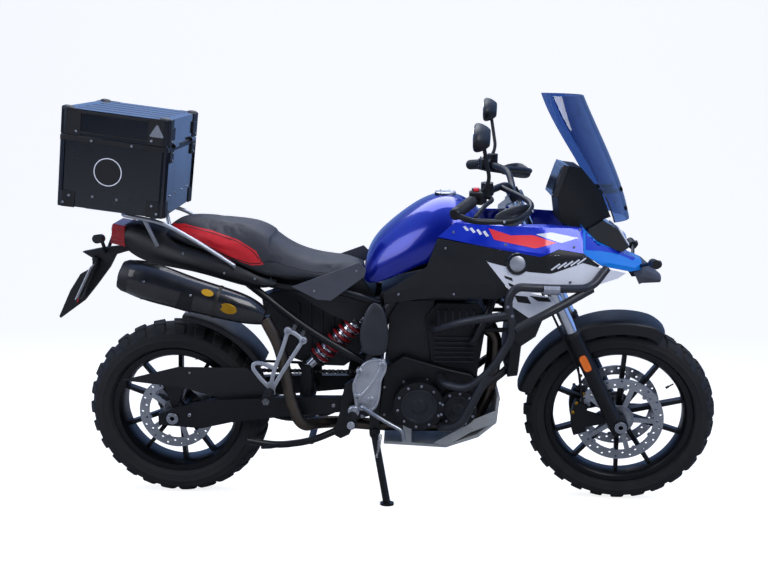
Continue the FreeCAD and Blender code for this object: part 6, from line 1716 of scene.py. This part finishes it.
@dataclass
class Controls(Assembly):
    """Handlebar trim: ribbed grips, switch pods, bar ends, mirror glass, dial glass and screen screws."""

    home: ClassVar[str] = "steering"

    def build(self) -> None:
        """Makes the trim of both hands and of the cockpit."""
        self.grips()
        self.pods()
        self.mirror_glass()
        self.dial()
        self.screen_screws()

    def grips(self) -> None:
        """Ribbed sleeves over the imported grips: radius = base + rib height at every other step along the axis."""
        rubber, ends = Form(), Form()
        for hand in (-1, 1):
            start, stop = rows(1038, hand * 336, 1141.5), rows(998, hand * 420, 1124)
            way = unit(stop - start)
            length = float(np.linalg.norm(stop - start))
            place = np.linspace(0, length, 60)
            ribs = 17.4 + 1.1 * (np.arange(60) // 2 % 2)
            rubber.lathe(np.stack([ribs, place], axis=-1), start, way, 28)
            ends.lathe(rows((0.1, -2), (16, -2), (18.5, 1), (18.5, 12), (15, 17), (0.1, 17)), stop, way, 28)
        self.make("grip_ribs", rubber, SOFT_RUBBER, "rubber", angle=50)
        self.make("bar_ends", ends, CAST_BLACK, "black_cast")

    def pods(self) -> None:
        """Switch pods beside the grips, with their small buttons."""
        body, red, grey = Form(), Form(), Form()
        for hand in (-1, 1):
            way = unit(rows(-0.33, hand, -0.08))
            spot = rows(1054, hand * 298, 1149)
            u, v, _ = basis(way)
            body.block(spot, rows(44, 40, 46), np.stack([u, v, way]))
            for index, rise in enumerate((-12, 2, 14)):
                grey.block(spot + rows(-24, 0, rise), rows(6, 16, 8))
                grey.block(spot + rows(-8, 0, 24) + rows(index * 9 - 9, 0, 0), rows(6, 14, 5))
            if hand < 0:
                red.block(spot + rows(-6, -4, 24), rows(16, 18, 9))
        self.make("switch_pods", body, BLACK_ABS, "black_plastic", 4.0)
        self.make("switch_buttons", grey, GREY_ABS, "black_plastic", 1.0)
        self.make("stop_switch", red, STRIPE_RED, "red_lens", 1.5)

    def mirror_glass(self) -> None:
        """Mirror glass on the rear of each head: an oval, (71 cos a, 32 sin a), a little inside the shell's edge."""
        form = Form()
        turn = circle(48)
        ring = np.stack([np.zeros(48), np.cos(turn) * 71, np.sin(turn) * 32], axis=-1)
        for hand in (-1, 1):
            form.plate(rows(1040.2, hand * 360, 1339) + ring, rows(-1.6, 0, 0))
        self.make("mirror_glass", form, MIRROR_GLASS, "mirror_black")

    def dial(self) -> None:
        """The dial's glass and a plain dark face on it, turned to the rider."""
        low, high = rows(1278, 0, 1105), rows(1311, 0, 1210)
        up = unit(high - low)
        out = np.cross(up, rows(0, 1, 0))
        out = out * (-1 if out[0] > 0 else 1)
        middle = (low + high) / 2
        glass, lit = Form(), Form()
        glass.block(middle + out * 1.2, rows(92, 150, 2.4), np.stack([up, rows(0, 1, 0), out]))
        lit.block(middle + out * 2.6, rows(76, 132, 0.8), np.stack([up, rows(0, 1, 0), out]))
        self.make("dial_glass", glass, GLOSS_BLACK, "screen_black", 1.0, body="chassis")
        self.make("dial_face", lit, DIAL_BLUE, "screen_black", body="chassis")

    def screen_screws(self) -> None:
        """Four screws with washers that hold the windscreen to its stays."""
        form = Form()
        for hand in (-1, 1):
            places = rows((1500, hand * 60, 1128), (1528, hand * 66, 1070))
            for spot in self.shop.cast("windscreen", places + rows(160, 0, 60), rows(-0.93, 0, -0.35)):
                form.lathe(rows((9, -0.5), (9, 1.2), (6, 1.6), (6, 3.4), (3, 3.6), (2.6, 2)), spot, rows(0.93, 0, 0.35),
                           20)
        self.make("screen_screws", form, CAST_BLACK, "steel", body="chassis")


@dataclass
class Lamps(Assembly):
    """Headlamp bowls and lenses, tail lamp ribs, smoked amber indicator lenses and the bare number plate."""

    def build(self) -> None:
        """Makes the lamps' insides and lenses."""
        self.headlamp()
        self.tail()
        self.indicators()
        self.plate()

    def headlamp(self) -> None:
        """Two projector bowls and two light guides on each half of the headlamp's sloping face."""
        bowls, domes, guides = Form(), Form(), Form()
        low, high = rows(1541, 0, 940), rows(1500, 0, 1002)
        up = unit(high - low)
        out = np.cross(rows(0, 1, 0), up)
        out = out * (1 if out[0] > 0 else -1)
        middle = (low + high) / 2
        for hand in (-1, 1):
            spot = middle + rows(0, hand * 44, 0)
            bowls.lathe(rows((30, -1), (31, 4), (28, 5), (24, 0.6), (0.1, 0.4)), spot, out, 40)
            domes.lathe(rows((23, 0.5), (22, 6), (17, 11), (9, 14), (0.1, 15)), spot, out, 40)
            path = np.array([spot + rows(0, hand * a, 0) + up * b + out * 2.5
                             for a, b in ((-38, 30), (36, 32), (42, 24), (42, -26), (34, -32), (-34, -30))])
            guides.sweep(along(path, 40), 3.2, 8)
        self.make("lamp_bowls", bowls, REFLECTOR, "lamp_glass")
        self.make("lamp_domes", domes, LAMP_CLEAR, "lamp_glass")
        self.make("light_guides", guides, LIGHT_GUIDE, "lamp_glass")

    def tail(self) -> None:
        """Level ribs on the tail lamp's rear face and sides."""
        form = Form()
        for rise in np.arange(930, 986, 9):
            back = -200 + (rise - 925) * 0.15
            form.block(rows(back - 1, 0, rise), rows(3, 108, 4))
            for hand in (-1, 1):
                form.block(rows(back + 24, hand * 60.6, rise), rows(44, 2, 4))
        self.make("tail_lamp_ribs", form, LAMP_RED, "red_lens", 0.5)

    def indicators(self) -> None:
        """Smoked amber lenses at the ends of all four indicators."""
        form = Form()
        for centre, ahead in ((rows(1607, 168, 902), 1), (rows(-222, 106, 949), -1)):
            for hand in (-1, 1):
                spot = centre * [1, hand, 1]
                form.lathe(rows((12, 0), (13, 5), (11, 9), (6, 12), (0.1, 13)), spot + rows(ahead * 11, 0, 0),
                           rows(ahead, 0, 0.1), 28)
        self.make("amber_lenses", form, SMOKED_LENS, "red_lens")

    def plate(self) -> None:
        """A blank number plate on its backing, a lamp above it and a round reflector below."""
        sheet, backing, glass = Form(), Form(), Form()
        up = rows(0.46, 0, 0.89)
        out = rows(-0.89, 0, 0.46)
        middle = rows(-296, 0, 790)
        axes = np.stack([up, rows(0, 1, 0), out])
        sheet.block(middle, rows(130, 180, 2), axes)
        backing.block(middle - out * 6 + up * 4, rows(150, 120, 7), axes)
        backing.block(middle + up * 76 + out * 8, rows(14, 60, 20), axes)
        glass.lathe(rows((22, 0), (22, 4), (19, 5), (0.1, 5)), middle - up * 84 + out * 2, out, 32)
        self.make("bare_number_plate", sheet, PANEL_WHITE, "white", 0.6)
        self.make("plate_backing", backing, BLACK_ABS, "black_plastic", 2.0)
        self.make("plate_reflector", glass, LAMP_RED, "red_lens")


@dataclass
class Fittings(Assembly):
    """Small parts on the frame: screws, peg rubbers, bar strips, the stand spring and the filler cap."""

    def build(self) -> None:
        """Makes the small parts."""
        self.screws()
        self.pegs()
        self.clamps()
        self.stand_spring()
        self.tank_cap()

    def screws(self) -> None:
        """Screws seated where a line square to the machine's side meets each node."""
        table = {
            "side_fairings": (((955, 1000), (1120, 968), (1340, 960), (1360, 1012)), 4.5),
            "knee_panels": (((780, 790), (960, 800), (930, 950), (1080, 900)), 4.5),
            "lower_panels": (((1150, 905), (1330, 850), (1240, 745)), 4.5),
            "tail_cover": (((60, 905), (200, 845), (300, 825)), 4.5),
            "swingarm": (((560, 380), (420, 372), (60, 335), (638, 385)), 7.0),
            "main_frame": (((640, 470), (690, 480), (660, 350)), 7.0),
            "grey_panels": (((500, 790), (640, 860)), 4.5),
            "rear_guards": (((380, 400), (60, 480)), 4.5),
        }
        form = Form()
        for node, (spots, radius) in table.items():
            for hand in (-1, 1):
                form.bolts(self.shop.touch(node, rows(*spots), hand), rows(0, hand, 0), radius)
        self.make("frame_screws", form, BOLT_STEEL, "steel")

    def pegs(self) -> None:
        """Toothed rubbers on the footrests: a sleeve with square ribs."""
        form = Form()
        for x, z, start, stop in ((630, 372, 206, 280), (350, 447, 196, 280)):
            for hand in (-1, 1):
                base, length = rows(x, hand * start, z), stop - start
                place = np.repeat(np.linspace(0, length, 13), 2)
                ribs = np.tile([14.5, 17.5, 17.5, 14.5], 7)[:26]
                form.lathe(np.stack([ribs, place], axis=-1), base, rows(0, hand, 0), 20)
        self.make("peg_rubbers", form, SOFT_RUBBER, "rubber", angle=30)

    def clamps(self) -> None:
        """Reflective sleeves on the crash bars, and the screws where the bars cross."""
        strips, bolts = Form(), Form()
        for hand in (-1, 1):
            strips.rod(rows(1235, hand * 300, 842), rows(1285, hand * 300, 842), 14.1, 28)
            spots = self.shop.touch("guard_bars", rows((1140, 760), (1100, 765), (1124, 790)), hand)
            bolts.bolts(spots - rows(0, hand, 0), rows(0, hand, 0), 5.5)
        self.make("bar_strips", strips, REFLECTOR_GREY, "bar_grey")
        self.make("bar_screws", bolts, BOLT_STEEL, "steel")

    def stand_spring(self) -> None:
        """The side stand's pull spring: a close coil between two hooks, seen beside the leg."""
        low, high = rows(712, -158, 205), rows(722, -150, 285)
        coils = 16
        rise = np.linspace(0, np.linalg.norm(high - low), coils * 12)
        form = Form().sweep(coil(low, unit(high - low), rise, 6, coils), 1.5, 6)
        self.make("stand_spring", form, BOLT_STEEL, "steel", body="side_stand")

    def tank_cap(self) -> None:
        """The filler cap's ring, flap and six screws."""
        form, bolts = Form(), Form()
        way = rows(-0.02, 0, 1)
        base = rows(932, 0, 1104)
        form.lathe(rows((36, -6), (36, 1), (33, 3), (29, 3), (27, 1), (0.1, 1)), base, way, 48)
        form.block(base + rows(0, 0, 2), rows(26, 34, 4))
        for angle in np.arange(6) * np.pi / 3:
            bolts.bolt(base + rows(31 * math.cos(angle), 31 * math.sin(angle), 2.4), way, 2.6)
        self.make("filler_ring", form, CAST_SILVER, "black_cast", 0.5)
        self.make("filler_screws", bolts, BOLT_STEEL, "steel")


@dataclass
class FrontFender(Assembly):
    """The front fender as one smooth moulding over the wheel, with a rolled edge."""

    home: ClassVar[str] = "steering"
    radius: float = 362.0
    half: float = 76.4
    wall: float = 4.0

    def section(self, inset: float) -> np.ndarray:
        """Half-round section: across = half cos^0.62, reach = crown sin^0.8, closed down both skirts.

        Args:
            inset: distance in from the outer face.

        Returns:
            (n, 2) across and reach.
        """
        turn = np.linspace(np.pi, 0, 25)
        across = squared(np.cos(turn), 0.62) * (self.half - inset)
        reach = self.radius - 12 + np.sin(turn) ** 0.8 * 16 - inset
        skirt = rows((-(self.half - inset), self.radius - 44), (-(self.half - inset), self.radius - 26))
        return np.vstack([skirt, np.stack([across, reach], axis=-1), skirt[::-1] * [-1, 1]])

    def build(self) -> None:
        """Sweeps the section round the axle, between its two tips, and closes it with an inner wall."""
        outer, inner = self.section(0.0), self.section(self.wall)
        ring = np.vstack([outer, inner[::-1]])
        share = np.linspace(0, 1, 61)[:, None]
        angle = np.radians(68 + (166 - 68) * share)
        pinch = 1 - 0.22 * np.clip(1 - share / 0.16, 0, 1) ** 2 - 0.1 * np.clip((share - 0.9) / 0.1, 0, 1) ** 2
        drop = 14 * np.clip(1 - share / 0.1, 0, 1) ** 2
        reach = ring[None, :, 1] - drop
        x, z = FRONT_AXLE[0] + reach * np.cos(angle), FRONT_AXLE[2] + reach * np.sin(angle)
        sheet = np.stack([x, ring[None, :, 0] * pinch, z], axis=-1)
        form = Form().grid(sheet, ring=True)
        for end, turned in ((0, 1), (-1, -1)):
            form.grid(np.stack([sheet[end][:29], sheet[end][29:][::-1]])[:, ::turned])
        made = self.make("smooth_fender", form, BLACK_ABS, "black_plastic", angle=50)
        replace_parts(made, "front_fender")


@dataclass
class Footrests(Assembly):
    """Cast footrest brackets of bars and bosses, their pegs, and the covers on the frame above them."""

    @staticmethod
    def bar(form: Form, knots: np.ndarray, wide: float, thick: float) -> None:
        """A cast bar: point = path + a * up + b * across, where (a, b) runs round a squared oval.

        Args:
            form: where it goes.
            knots: (n, 3) points of its middle line.
            wide: its width seen from the side.
            thick: its thickness across the machine.
        """
        path = curve(knots, 6)
        ahead = np.gradient(path, axis=0)
        ahead /= np.linalg.norm(ahead, axis=1, keepdims=True)
        side = rows(0, 1, 0)
        up = np.cross(ahead, side)
        up /= np.linalg.norm(up, axis=1, keepdims=True)
        turn = circle(16)
        a, b = squared(np.cos(turn), 0.5) * wide / 2, squared(np.sin(turn), 0.5) * thick / 2
        form.capped(path[:, None] + a[None, :, None] * up[:, None] + b[None, :, None] * side)

    def build(self) -> None:
        """Makes both sides' brackets, pegs and covers."""
        silver, bolts, covers = Form(), Form(), Form()
        for hand in (-1, 1):
            self.passenger(silver, bolts, hand)
            self.rider(silver, bolts, hand)
            self.cover(covers, hand)
        made = self.make("cast_brackets", silver, CAST_SILVER, "cast_silver", 0.8)
        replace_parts(made, "footrests")
        self.make("bracket_screws", bolts, BOLT_STEEL, "steel")
        self.make("frame_covers", covers, COVER_GREY, "black_plastic", 1.5)

    def passenger(self, form: Form, bolts: Form, hand: int) -> None:
        """The two-armed bracket with its rear loop, on two bosses, and its peg.

        Args:
            form: the castings.
            bolts: the screws.
            hand: the side.
        """
        y = hand * 190.5
        arms = (rows((416, y, 664), (396, y, 600), (366, y, 520), (352, y, 450)),
                rows((466, y, 632), (430, y, 575), (392, y, 515), (362, y, 462)),
                rows((416, y, 664), (440, y, 654), (466, y, 632)),
                rows((372, y, 530), (330, y, 548), (303, y, 548), (298, y, 530), (322, y, 495), (352, y, 462)))
        for arm in arms:
            self.bar(form, arm, 14, 9)
        form.block(rows(357, y, 462), rows(24, 9, 44))
        for x, z in ((416, 664), (466, 632)):
            form.lathe(rows((13, -6), (13, 5), (11, 7), (7, 7)), rows(x, y, z), rows(0, hand, 0), 24)
            bolts.bolt(rows(x, y + hand * 6, z), rows(0, hand, 0), 6.5)
        for x, z in ((430, 658), (458, 638)):
            form.rod(rows(x, hand * 100, z), rows(x, y, z), 7, 16)
        form.rod(rows(350, hand * 186, 447), rows(350, hand * 280, 447), 12.8, 24)

    def rider(self, form: Form, bolts: Form, hand: int) -> None:
        """The rider's cast plate: a waisted body with raised edges, on two bosses, and its peg.

        Args:
            form: the castings.
            bolts: the screws.
            hand: the side.
        """
        inner, outer = 159.3, 173.7
        body = rows((628, 468), (640, 505), (664, 548), (700, 566), (738, 562), (742, 530), (726, 490), (722, 450),
                    (716, 410), (700, 380), (668, 378), (642, 384), (634, 420))
        form.wall(body, hand * inner, hand * 8)
        rim = np.insert(body, 1, hand * (inner + 8), axis=1)
        centre = rim.mean(axis=0)
        loop = centre + (np.vstack([rim, rim[:2]]) - centre) * 0.93
        self.bar(form, loop, 9, 12)
        self.bar(form, rows((646, hand * 168, 420), (690, hand * 168, 470), (730, hand * 168, 545)), 11, 10)
        for x, z in ((645, 430), (690, 420), (728, 545), (652, 520)):
            form.lathe(rows((12, -4), (12, outer - inner + 1), (10, outer - inner + 3), (6, outer - inner + 3)),
                       rows(x, hand * inner, z), rows(0, hand, 0), 24)
            bolts.bolt(rows(x, hand * (outer + 2), z), rows(0, hand, 0), 6)
        for x, z in ((645, 430), (690, 420)):
            form.rod(rows(x, hand * 143.5, z), rows(x, hand * (inner + 4), z), 12, 20)
        form.rod(rows(630, hand * 160, 372), rows(630, hand * 290, 372), 12.8, 24)
        form.lathe(rows((20, 0), (20, 14), (17, 17)), rows(632, hand * inner, 376), rows(0, hand, 0), 28)

    def cover(self, form: Form, hand: int) -> None:
        """A bulged cover above the plate: levels drawn in from its outline while they rise outwards.

        Args:
            form: where it goes.
            hand: the side.
        """
        outline = rows((662, 585), (652, 640), (664, 705), (690, 752), (722, 748), (742, 700), (748, 640), (738, 585),
                       (700, 574))
        smooth = curve(np.vstack([outline, outline[:1]]), 5)[:-1]
        middle = smooth.mean(axis=0)
        levels = ((1.0, 160.5), (1.0, 163.5), (0.93, 167.5), (0.7, 170.5), (0.3, 172.0))
        sheet = np.stack([np.column_stack([middle + (smooth - middle) * grow, np.full(len(smooth), hand * out)])
                          for grow, out in levels])[:, :, [0, 2, 1]]
        form.capped(sheet)


@dataclass
class InnerBodywork(Assembly):
    """The dark mouldings behind the frame: battery box, inner mudguard, air box, duct, tray and shrouds."""

    def build(self) -> None:
        """Makes all the mouldings as one piece."""
        form = Form()
        box = rows((318, 600), (372, 520), (470, 482), (588, 480), (640, 520), (676, 640), (688, 700), (650, 770),
                   (540, 764), (390, 762), (300, 730))
        form.wall(box, 0.0, 74)
        for rise in range(4):
            form.block(rows(430 + 40 * rise, -1, 620 + 10 * rise), rows(12, 6, 180 - 12 * rise))
        self.mudguard(form)
        air = rows((715, 752), (760, 752), (900, 752), (1010, 752), (1040, 790), (1000, 830), (860, 815), (760, 790),
                   (720, 775))
        form.wall(air, -96.0, 192)
        duct = rows((742, 560), (750, 745), (902, 752), (902, 480), (800, 478), (758, 500))
        form.wall(duct, -92.0, 184)
        tray = rows((150, 896), (250, 880), (345, 862), (500, 846), (640, 838), (700, 760), (640, 650), (540, 690),
                    (430, 760), (300, 800), (160, 850))
        form.wall(tray, -72.0, 144)
        shroud = rows((1140, 742), (1205, 728), (1258, 702), (1238, 645), (1190, 610), (1158, 640))
        for hand in (-1, 1):
            form.wall(shroud, hand * 146.0, hand * 6)
        self.make("inner_bodywork", form, BLACK_ABS, "black_plastic", 3.0)

    def mudguard(self, form: Form) -> None:
        """A channel round the rear tyre: reach and across trace a flat U, turned about the rear axle.

        Args:
            form: where it goes.
        """
        section = rows((-78, 338), (-78, 356), (-70, 360), (70, 360), (78, 356), (78, 338), (74, 338), (74, 353),
                       (68, 356), (-68, 356), (-74, 353), (-74, 338))
        angle = np.radians(np.linspace(30, 84, 40))[:, None]
        reach = section[None, :, 1]
        sheet = np.stack([reach * np.cos(angle), np.broadcast_to(section[None, :, 0], (40, 12)),
                          REAR_AXLE[2] + reach * np.sin(angle)], axis=-1)
        form.grid(sheet, ring=True)
        for end in (sheet[0], sheet[-1]):
            form.grid(np.stack([end[:6], end[6:][::-1]]))


@dataclass
class Rack(Assembly):
    """The luggage rack: a long bent rail on each side, their cross bars and the plate under the box."""

    bar_radius: float = 7.0
    tilt_deg: float = 7.0

    def build(self) -> None:
        """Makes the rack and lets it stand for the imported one."""
        form, screws = Form(), Form()
        for hand in (-1, 1):
            rail = rows((-142, 60, 1036), (-126, 128, 1034), (-60, 139, 1024), (10, 141, 1006), (100, 140, 957),
                        (170, 136, 912), (235, 132, 868)) * [1, hand, 1]
            form.sweep(curve(rail, 8), self.bar_radius, 14)
            form.rod(rail[2] * [1, 0.98, 1], rows(-30, hand * 96, 925), self.bar_radius, 14)
            screws.bolt(rail[-1] + rows(0, hand * 6, 0), rows(0, hand, 0), 6)
        for x, side, z in ((-142, 60, 1036), (-40, 138, 1019)):
            form.rod(rows(x, -side, z), rows(x, side, z), self.bar_radius, 14)
        tilt = math.radians(self.tilt_deg)
        ahead, up = rows(math.cos(tilt), 0, -math.sin(tilt)), rows(math.sin(tilt), 0, math.cos(tilt))
        form.block(rows(-150, 0, 1058) - up * 9.5, rows(210, 250, 15), np.stack([ahead, rows(0, 1, 0), up]))
        made = self.make("rack_rails", form, CAST_SILVER, "cast_silver", 0.6, angle=50)
        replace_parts(made, "luggage_rack")
        self.make("rack_screws", screws, BOLT_STEEL, "steel")


@dataclass
class HandGuards(Assembly):
    """Hand guards: a tube round each hand from the bar's end, and a shield on its front run."""

    home: ClassVar[str] = "steering"

    def build(self) -> None:
        """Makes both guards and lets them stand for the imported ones."""
        tubes, shields, bolts = Form(), Form(), Form()
        for hand in (-1, 1):
            knots = rows((996, 432, 1120), (1060, 440, 1105), (1170, 390, 1103), (1215, 290, 1130), (1120, 170, 1157))
            path = curve(knots * [1, hand, 1], 10)
            tubes.sweep(path, 9, 14)
            outline = rows((1112, 412, 1092), (1166, 392, 1084), (1206, 318, 1098), (1212, 300, 1128),
                           (1178, 366, 1142), (1136, 398, 1134), (1108, 412, 1116)) * [1, hand, 1]
            smooth = curve(np.vstack([outline, outline[:1]]), 4)[:-1]
            middle = smooth.mean(axis=0)
            out = rows(0.86, 0.5 * hand, 0.06)
            sheet = np.stack([middle + (smooth - middle) * grow + out * lift
                              for grow, lift in ((0.97, 0), (1.0, 3), (1.0, 7), (0.92, 10), (0.5, 12), (0.1, 13))])
            shields.capped(sheet)
            for share in (16, 26):
                bolts.bolt(path[share] + out * 11, out, 5)
        for name, form, finish in (("guard_tubes", tubes, FRAME_BLACK), ("guard_shields", shields, COVER_GREY)):
            made = self.make(name, form, finish, "black_plastic", angle=50)
            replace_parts(made, "hand_guards")
        self.make("guard_screws", bolts, BOLT_STEEL, "steel")


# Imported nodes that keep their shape: the finish of each, and the width in millimetres of its broken edges


NODE_FINISHES = {
    "front_rim": (WHEEL_BLACK, 2.0),
    "rear_rim": (WHEEL_BLACK, 2.0),
    "front_discs": (DISC_STEEL, 0.0),
    "rear_disc": (DISC_STEEL, 0.0),
    "rear_sprocket": (BOLT_STEEL, 0.4),
    "fork_clamps": (CLAMP_GREY, 1.5),
    "fork_stanchions": (BRIGHT_STEEL, 0.5),
    "fork_sliders": (CAST_BLACK, 1.5),
    "front_axle": (BOLT_STEEL, 0.8),
    "front_calipers": (CAST_BLACK, 2.5),
    "handlebar": (FRAME_BLACK, 0.5),
    "grips": (SOFT_RUBBER, 1.0),
    "hand_levers": (CAST_BLACK, 1.0),
    "mirrors": (BLACK_ABS, 2.0),
    "brake_hoses": (SOFT_RUBBER, 0.0),
    "main_frame": (FRAME_BLACK, 1.0),
    "rear_subframe": (FRAME_BLACK, 0.6),
    "crankcase": (CAST_BLACK, 4.0),
    "cylinder_block": (CAST_BLACK, 3.0),
    "engine_covers": (CAST_BLACK, 3.0),
    "radiator": (CAST_BLACK, 1.0),
    "skid_plate": (SKID_GREY, 1.0),
    "swingarm": (CAST_BLACK, 2.5),
    "rear_axle": (BOLT_STEEL, 0.8),
    "shock_absorber": (BRIGHT_STEEL, 0.8),
    "rear_guards": (BLACK_ABS, 1.0),
    "rear_caliper": (CAST_BLACK, 2.0),
    "front_sprocket": (DARK_STEEL, 0.4),
    "silencer": (EXHAUST_DARK, 2.0),
    "exhaust_pipe": (PIPE_STEEL, 0.4),
    "box_body": (CASE_BLACK, 2.5),
    "box_lid": (CASE_BLACK, 2.5),
    "tail_lamp": (LAMP_RED, 2.5),
    "plate_holder": (BLACK_ABS, 1.0),
    "fuel_tank": (ENAMEL_BLUE, 0.0),
    "fuel_cap": (CAST_BLACK, 1.0),
    "tail_cover": (BLACK_ABS, 1.0),
    "side_fairings": (PANEL_BLUE, 1.2),
    "knee_panels": (BLACK_ABS, 1.2),
    "lower_panels": (PANEL_WHITE, 1.2),
    "headlamp": (GLOSS_BLACK, 2.0),
    "beak": (BEAK_BLUE, 1.2),
    "grey_panels": (GREY_ABS, 1.2),
    "windscreen": (SCREEN_TINT, 1.0),
    "cockpit": (BLACK_ABS, 2.5),
    "display": (GLOSS_BLACK, 1.5),
    "side_stand": (FRAME_BLACK, 1.0),
    "centre_stand": (FRAME_BLACK, 0.8),
    "foot_levers": (BOLT_STEEL, 0.4),
    "guard_bars": (BAR_GREY, 0.4),
    "indicators": (BLACK_ABS, 1.5),
}


# Studio


@dataclass
class Studio:
    """Camera at the photograph's viewpoint, pale floor and backdrop, and soft lamps."""

    camera_place: tuple = (0.0831, -3.1858, 0.9326)
    camera_target: tuple = (-0.0058, -0.0022, 0.7588)
    roll_deg: float = 0.74
    focal_pixels: float = 945.2
    sensor_mm: float = 36.0
    floor_colour: str = "#a8aaae"
    floor_glow: float = 0.86
    sky_colour: str = "#86a8e6"
    sky_strength: float = 0.42
    sky_shine: float = 1.5
    shade_shine: float = 0.16
    wall_shine: float = 0.8

    def build(self) -> None:
        """Sets up everything that isn't part of the machine."""
        self.camera()
        self.ground()
        self.lamps()
        bpy.context.scene.view_settings.view_transform = "Standard"

    def camera(self) -> None:
        """The camera, aimed along the fitted line of sight and rolled a little."""
        lens = bpy.data.cameras.new("viewpoint")
        lens.sensor_width = self.sensor_mm
        lens.lens = self.focal_pixels / IMAGE_WIDTH * self.sensor_mm
        eye = bpy.data.objects.new("viewpoint", lens)
        bpy.context.scene.collection.objects.link(eye)
        aim = Vector(self.camera_target) - Vector(self.camera_place)
        facing = aim.to_track_quat("-Z", "Y").to_matrix().to_4x4()
        eye.matrix_world = Matrix.Translation(self.camera_place) @ facing @ Matrix.Rotation(
            math.radians(self.roll_deg), 4, "Z")
        bpy.context.scene.camera = eye

    def ground(self) -> None:
        """A pale floor and backdrop: one sheet that curves up behind the machine."""
        across = np.linspace(-14, 14, 3)
        along = np.concatenate([np.linspace(-14, 6, 3), 6 + 3 * np.sin(np.linspace(0.1, np.pi / 2, 12)), [9.0]])
        rise = np.concatenate([np.zeros(3), 3 - 3 * np.cos(np.linspace(0.1, np.pi / 2, 12)), [14.0]])
        sheet = np.stack(np.broadcast_arrays(across[None], along[:, None], rise[:, None]), axis=-1)
        form = Form().grid(sheet)
        mesh = bpy.data.meshes.new("studio_floor")
        mesh.from_pydata(form.points[0].tolist(), [], form.faces)
        mesh.shade_smooth()
        floor = bpy.data.objects.new("studio_floor", mesh)
        bpy.context.scene.collection.objects.link(floor)
        mesh.materials.append(self.paper())

    @staticmethod
    def seen(tree: bpy.types.NodeTree, path: bpy.types.Node) -> bpy.types.NodeSocket:
        """One for a ray that the camera sends, also through glass, and nought for light on the machine."""
        return add(tree, "ShaderNodeMath", {0: path.outputs["Is Camera Ray"], 1: path.outputs["Is Transmission Ray"]},
                   operation="MAXIMUM").outputs["Value"]

    def paper(self) -> bpy.types.Material:
        """Matt paper that keeps the shadow, and glows faintly where the camera sees it.

        Returns:
            The paper's material.
        """
        made = bpy.data.materials.new("studio_paper")
        made.use_nodes = True
        tree = made.node_tree
        tree.nodes.clear()
        path = add(tree, "ShaderNodeLightPath")
        seen = self.seen(tree, path)
        glow = add(tree, "ShaderNodeMath", {0: seen, 1: self.floor_glow}, operation="MULTIPLY")
        shader = add(tree, "ShaderNodeBsdfPrincipled", {"Base Color": linear(self.floor_colour), "Roughness": 0.9,
                                                        "Emission Color": linear("#ffffff"),
                                                        "Emission Strength": glow.outputs["Value"]})
        spot = add(tree, "ShaderNodeNewGeometry")
        split = add(tree, "ShaderNodeSeparateXYZ", {"Vector": spot.outputs["Position"]})
        high = add(tree, "ShaderNodeMapRange", {"Value": split.outputs["Z"], "From Min": 0.2, "From Max": 1.6})
        shine = add(tree, "ShaderNodeMath", {0: path.outputs["Is Glossy Ray"], 1: high.outputs["Result"]},
                    operation="MULTIPLY")
        sky = add(tree, "ShaderNodeEmission", {"Color": linear(self.sky_colour), "Strength": self.wall_shine})
        both = add(tree, "ShaderNodeMixShader", {0: shine.outputs["Value"], 1: shader.outputs["BSDF"],
                                                 2: sky.outputs["Emission"]})
        add(tree, "ShaderNodeOutputMaterial", {"Surface": both.outputs["Shader"]})
        return made

    def lamps(self) -> None:
        """A large key lamp ahead and above, a fill from the rear, a top lamp, and the world round them."""
        places = (
            ("key_lamp", (2.6, -3.4, 3.6), 2.6, 132.0),
            ("fill_lamp", (-3.4, -2.6, 2.2), 2.6, 60.0),
            ("top_lamp", (-0.3, 1.2, 4.2), 3.2, 110.0),
        )
        for name, place, size, power in places:
            lamp = bpy.data.lights.new(name, "AREA")
            lamp.energy = power
            lamp.size = size
            item = bpy.data.objects.new(name, lamp)
            bpy.context.scene.collection.objects.link(item)
            aim = Vector((0.0, 0.0, 0.7)) - Vector(place)
            item.matrix_world = Matrix.Translation(place) @ aim.to_track_quat("-Z", "Y").to_matrix().to_4x4()
        world = bpy.data.worlds.new("studio_air")
        bpy.context.scene.world = world
        world.use_nodes = True
        tree = world.node_tree
        tree.nodes.clear()
        path = add(tree, "ShaderNodeLightPath")
        place = add(tree, "ShaderNodeTexCoord")
        split = add(tree, "ShaderNodeSeparateXYZ", {"Vector": place.outputs["Generated"]})
        shade = add(tree, "ShaderNodeMapRange", {"Value": split.outputs["Y"], "From Min": -0.9, "From Max": -0.25,
                                                 "To Min": self.shade_shine, "To Max": self.sky_shine})
        shine = add(tree, "ShaderNodeMapRange", {"Value": path.outputs["Is Glossy Ray"], "To Min": self.sky_strength,
                                                 "To Max": shade.outputs["Result"]})
        sky = add(tree, "ShaderNodeBackground", {"Color": linear(self.sky_colour),
                                                 "Strength": shine.outputs["Result"]})
        paper = add(tree, "ShaderNodeBackground", {"Color": linear("#eceef2"), "Strength": 1.0})
        seen = self.seen(tree, path)
        both = add(tree, "ShaderNodeMixShader", {0: seen, 1: sky.outputs["Background"],
                                                 2: paper.outputs["Background"]})
        add(tree, "ShaderNodeOutputWorld", {"Surface": both.outputs["Shader"]})


def main() -> None:
    """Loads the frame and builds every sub-assembly in order."""
    logging.basicConfig(level=logging.INFO, format="%(message)s")
    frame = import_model()
    stance = Stance(frame)
    workshop = Workshop(frame, stance)
    for node, (finish, bevel_mm) in NODE_FINISHES.items():
        if node in frame["nodes"]:
            workshop.dressed_copy(node, finish, bevel_mm)
    for assembly in (Wheels, Chain, Fork, Cowl, TopBox, Engine, Exhaust, Shock, Controls, Lamps, Fittings, FrontFender,
                     Footrests, InnerBodywork, HandGuards, Rack, Seats):
        assembly(workshop).build()
        LOG.info("%s finished", assembly.__name__)
    Studio().build()


if __name__ == "__main__":
    main()
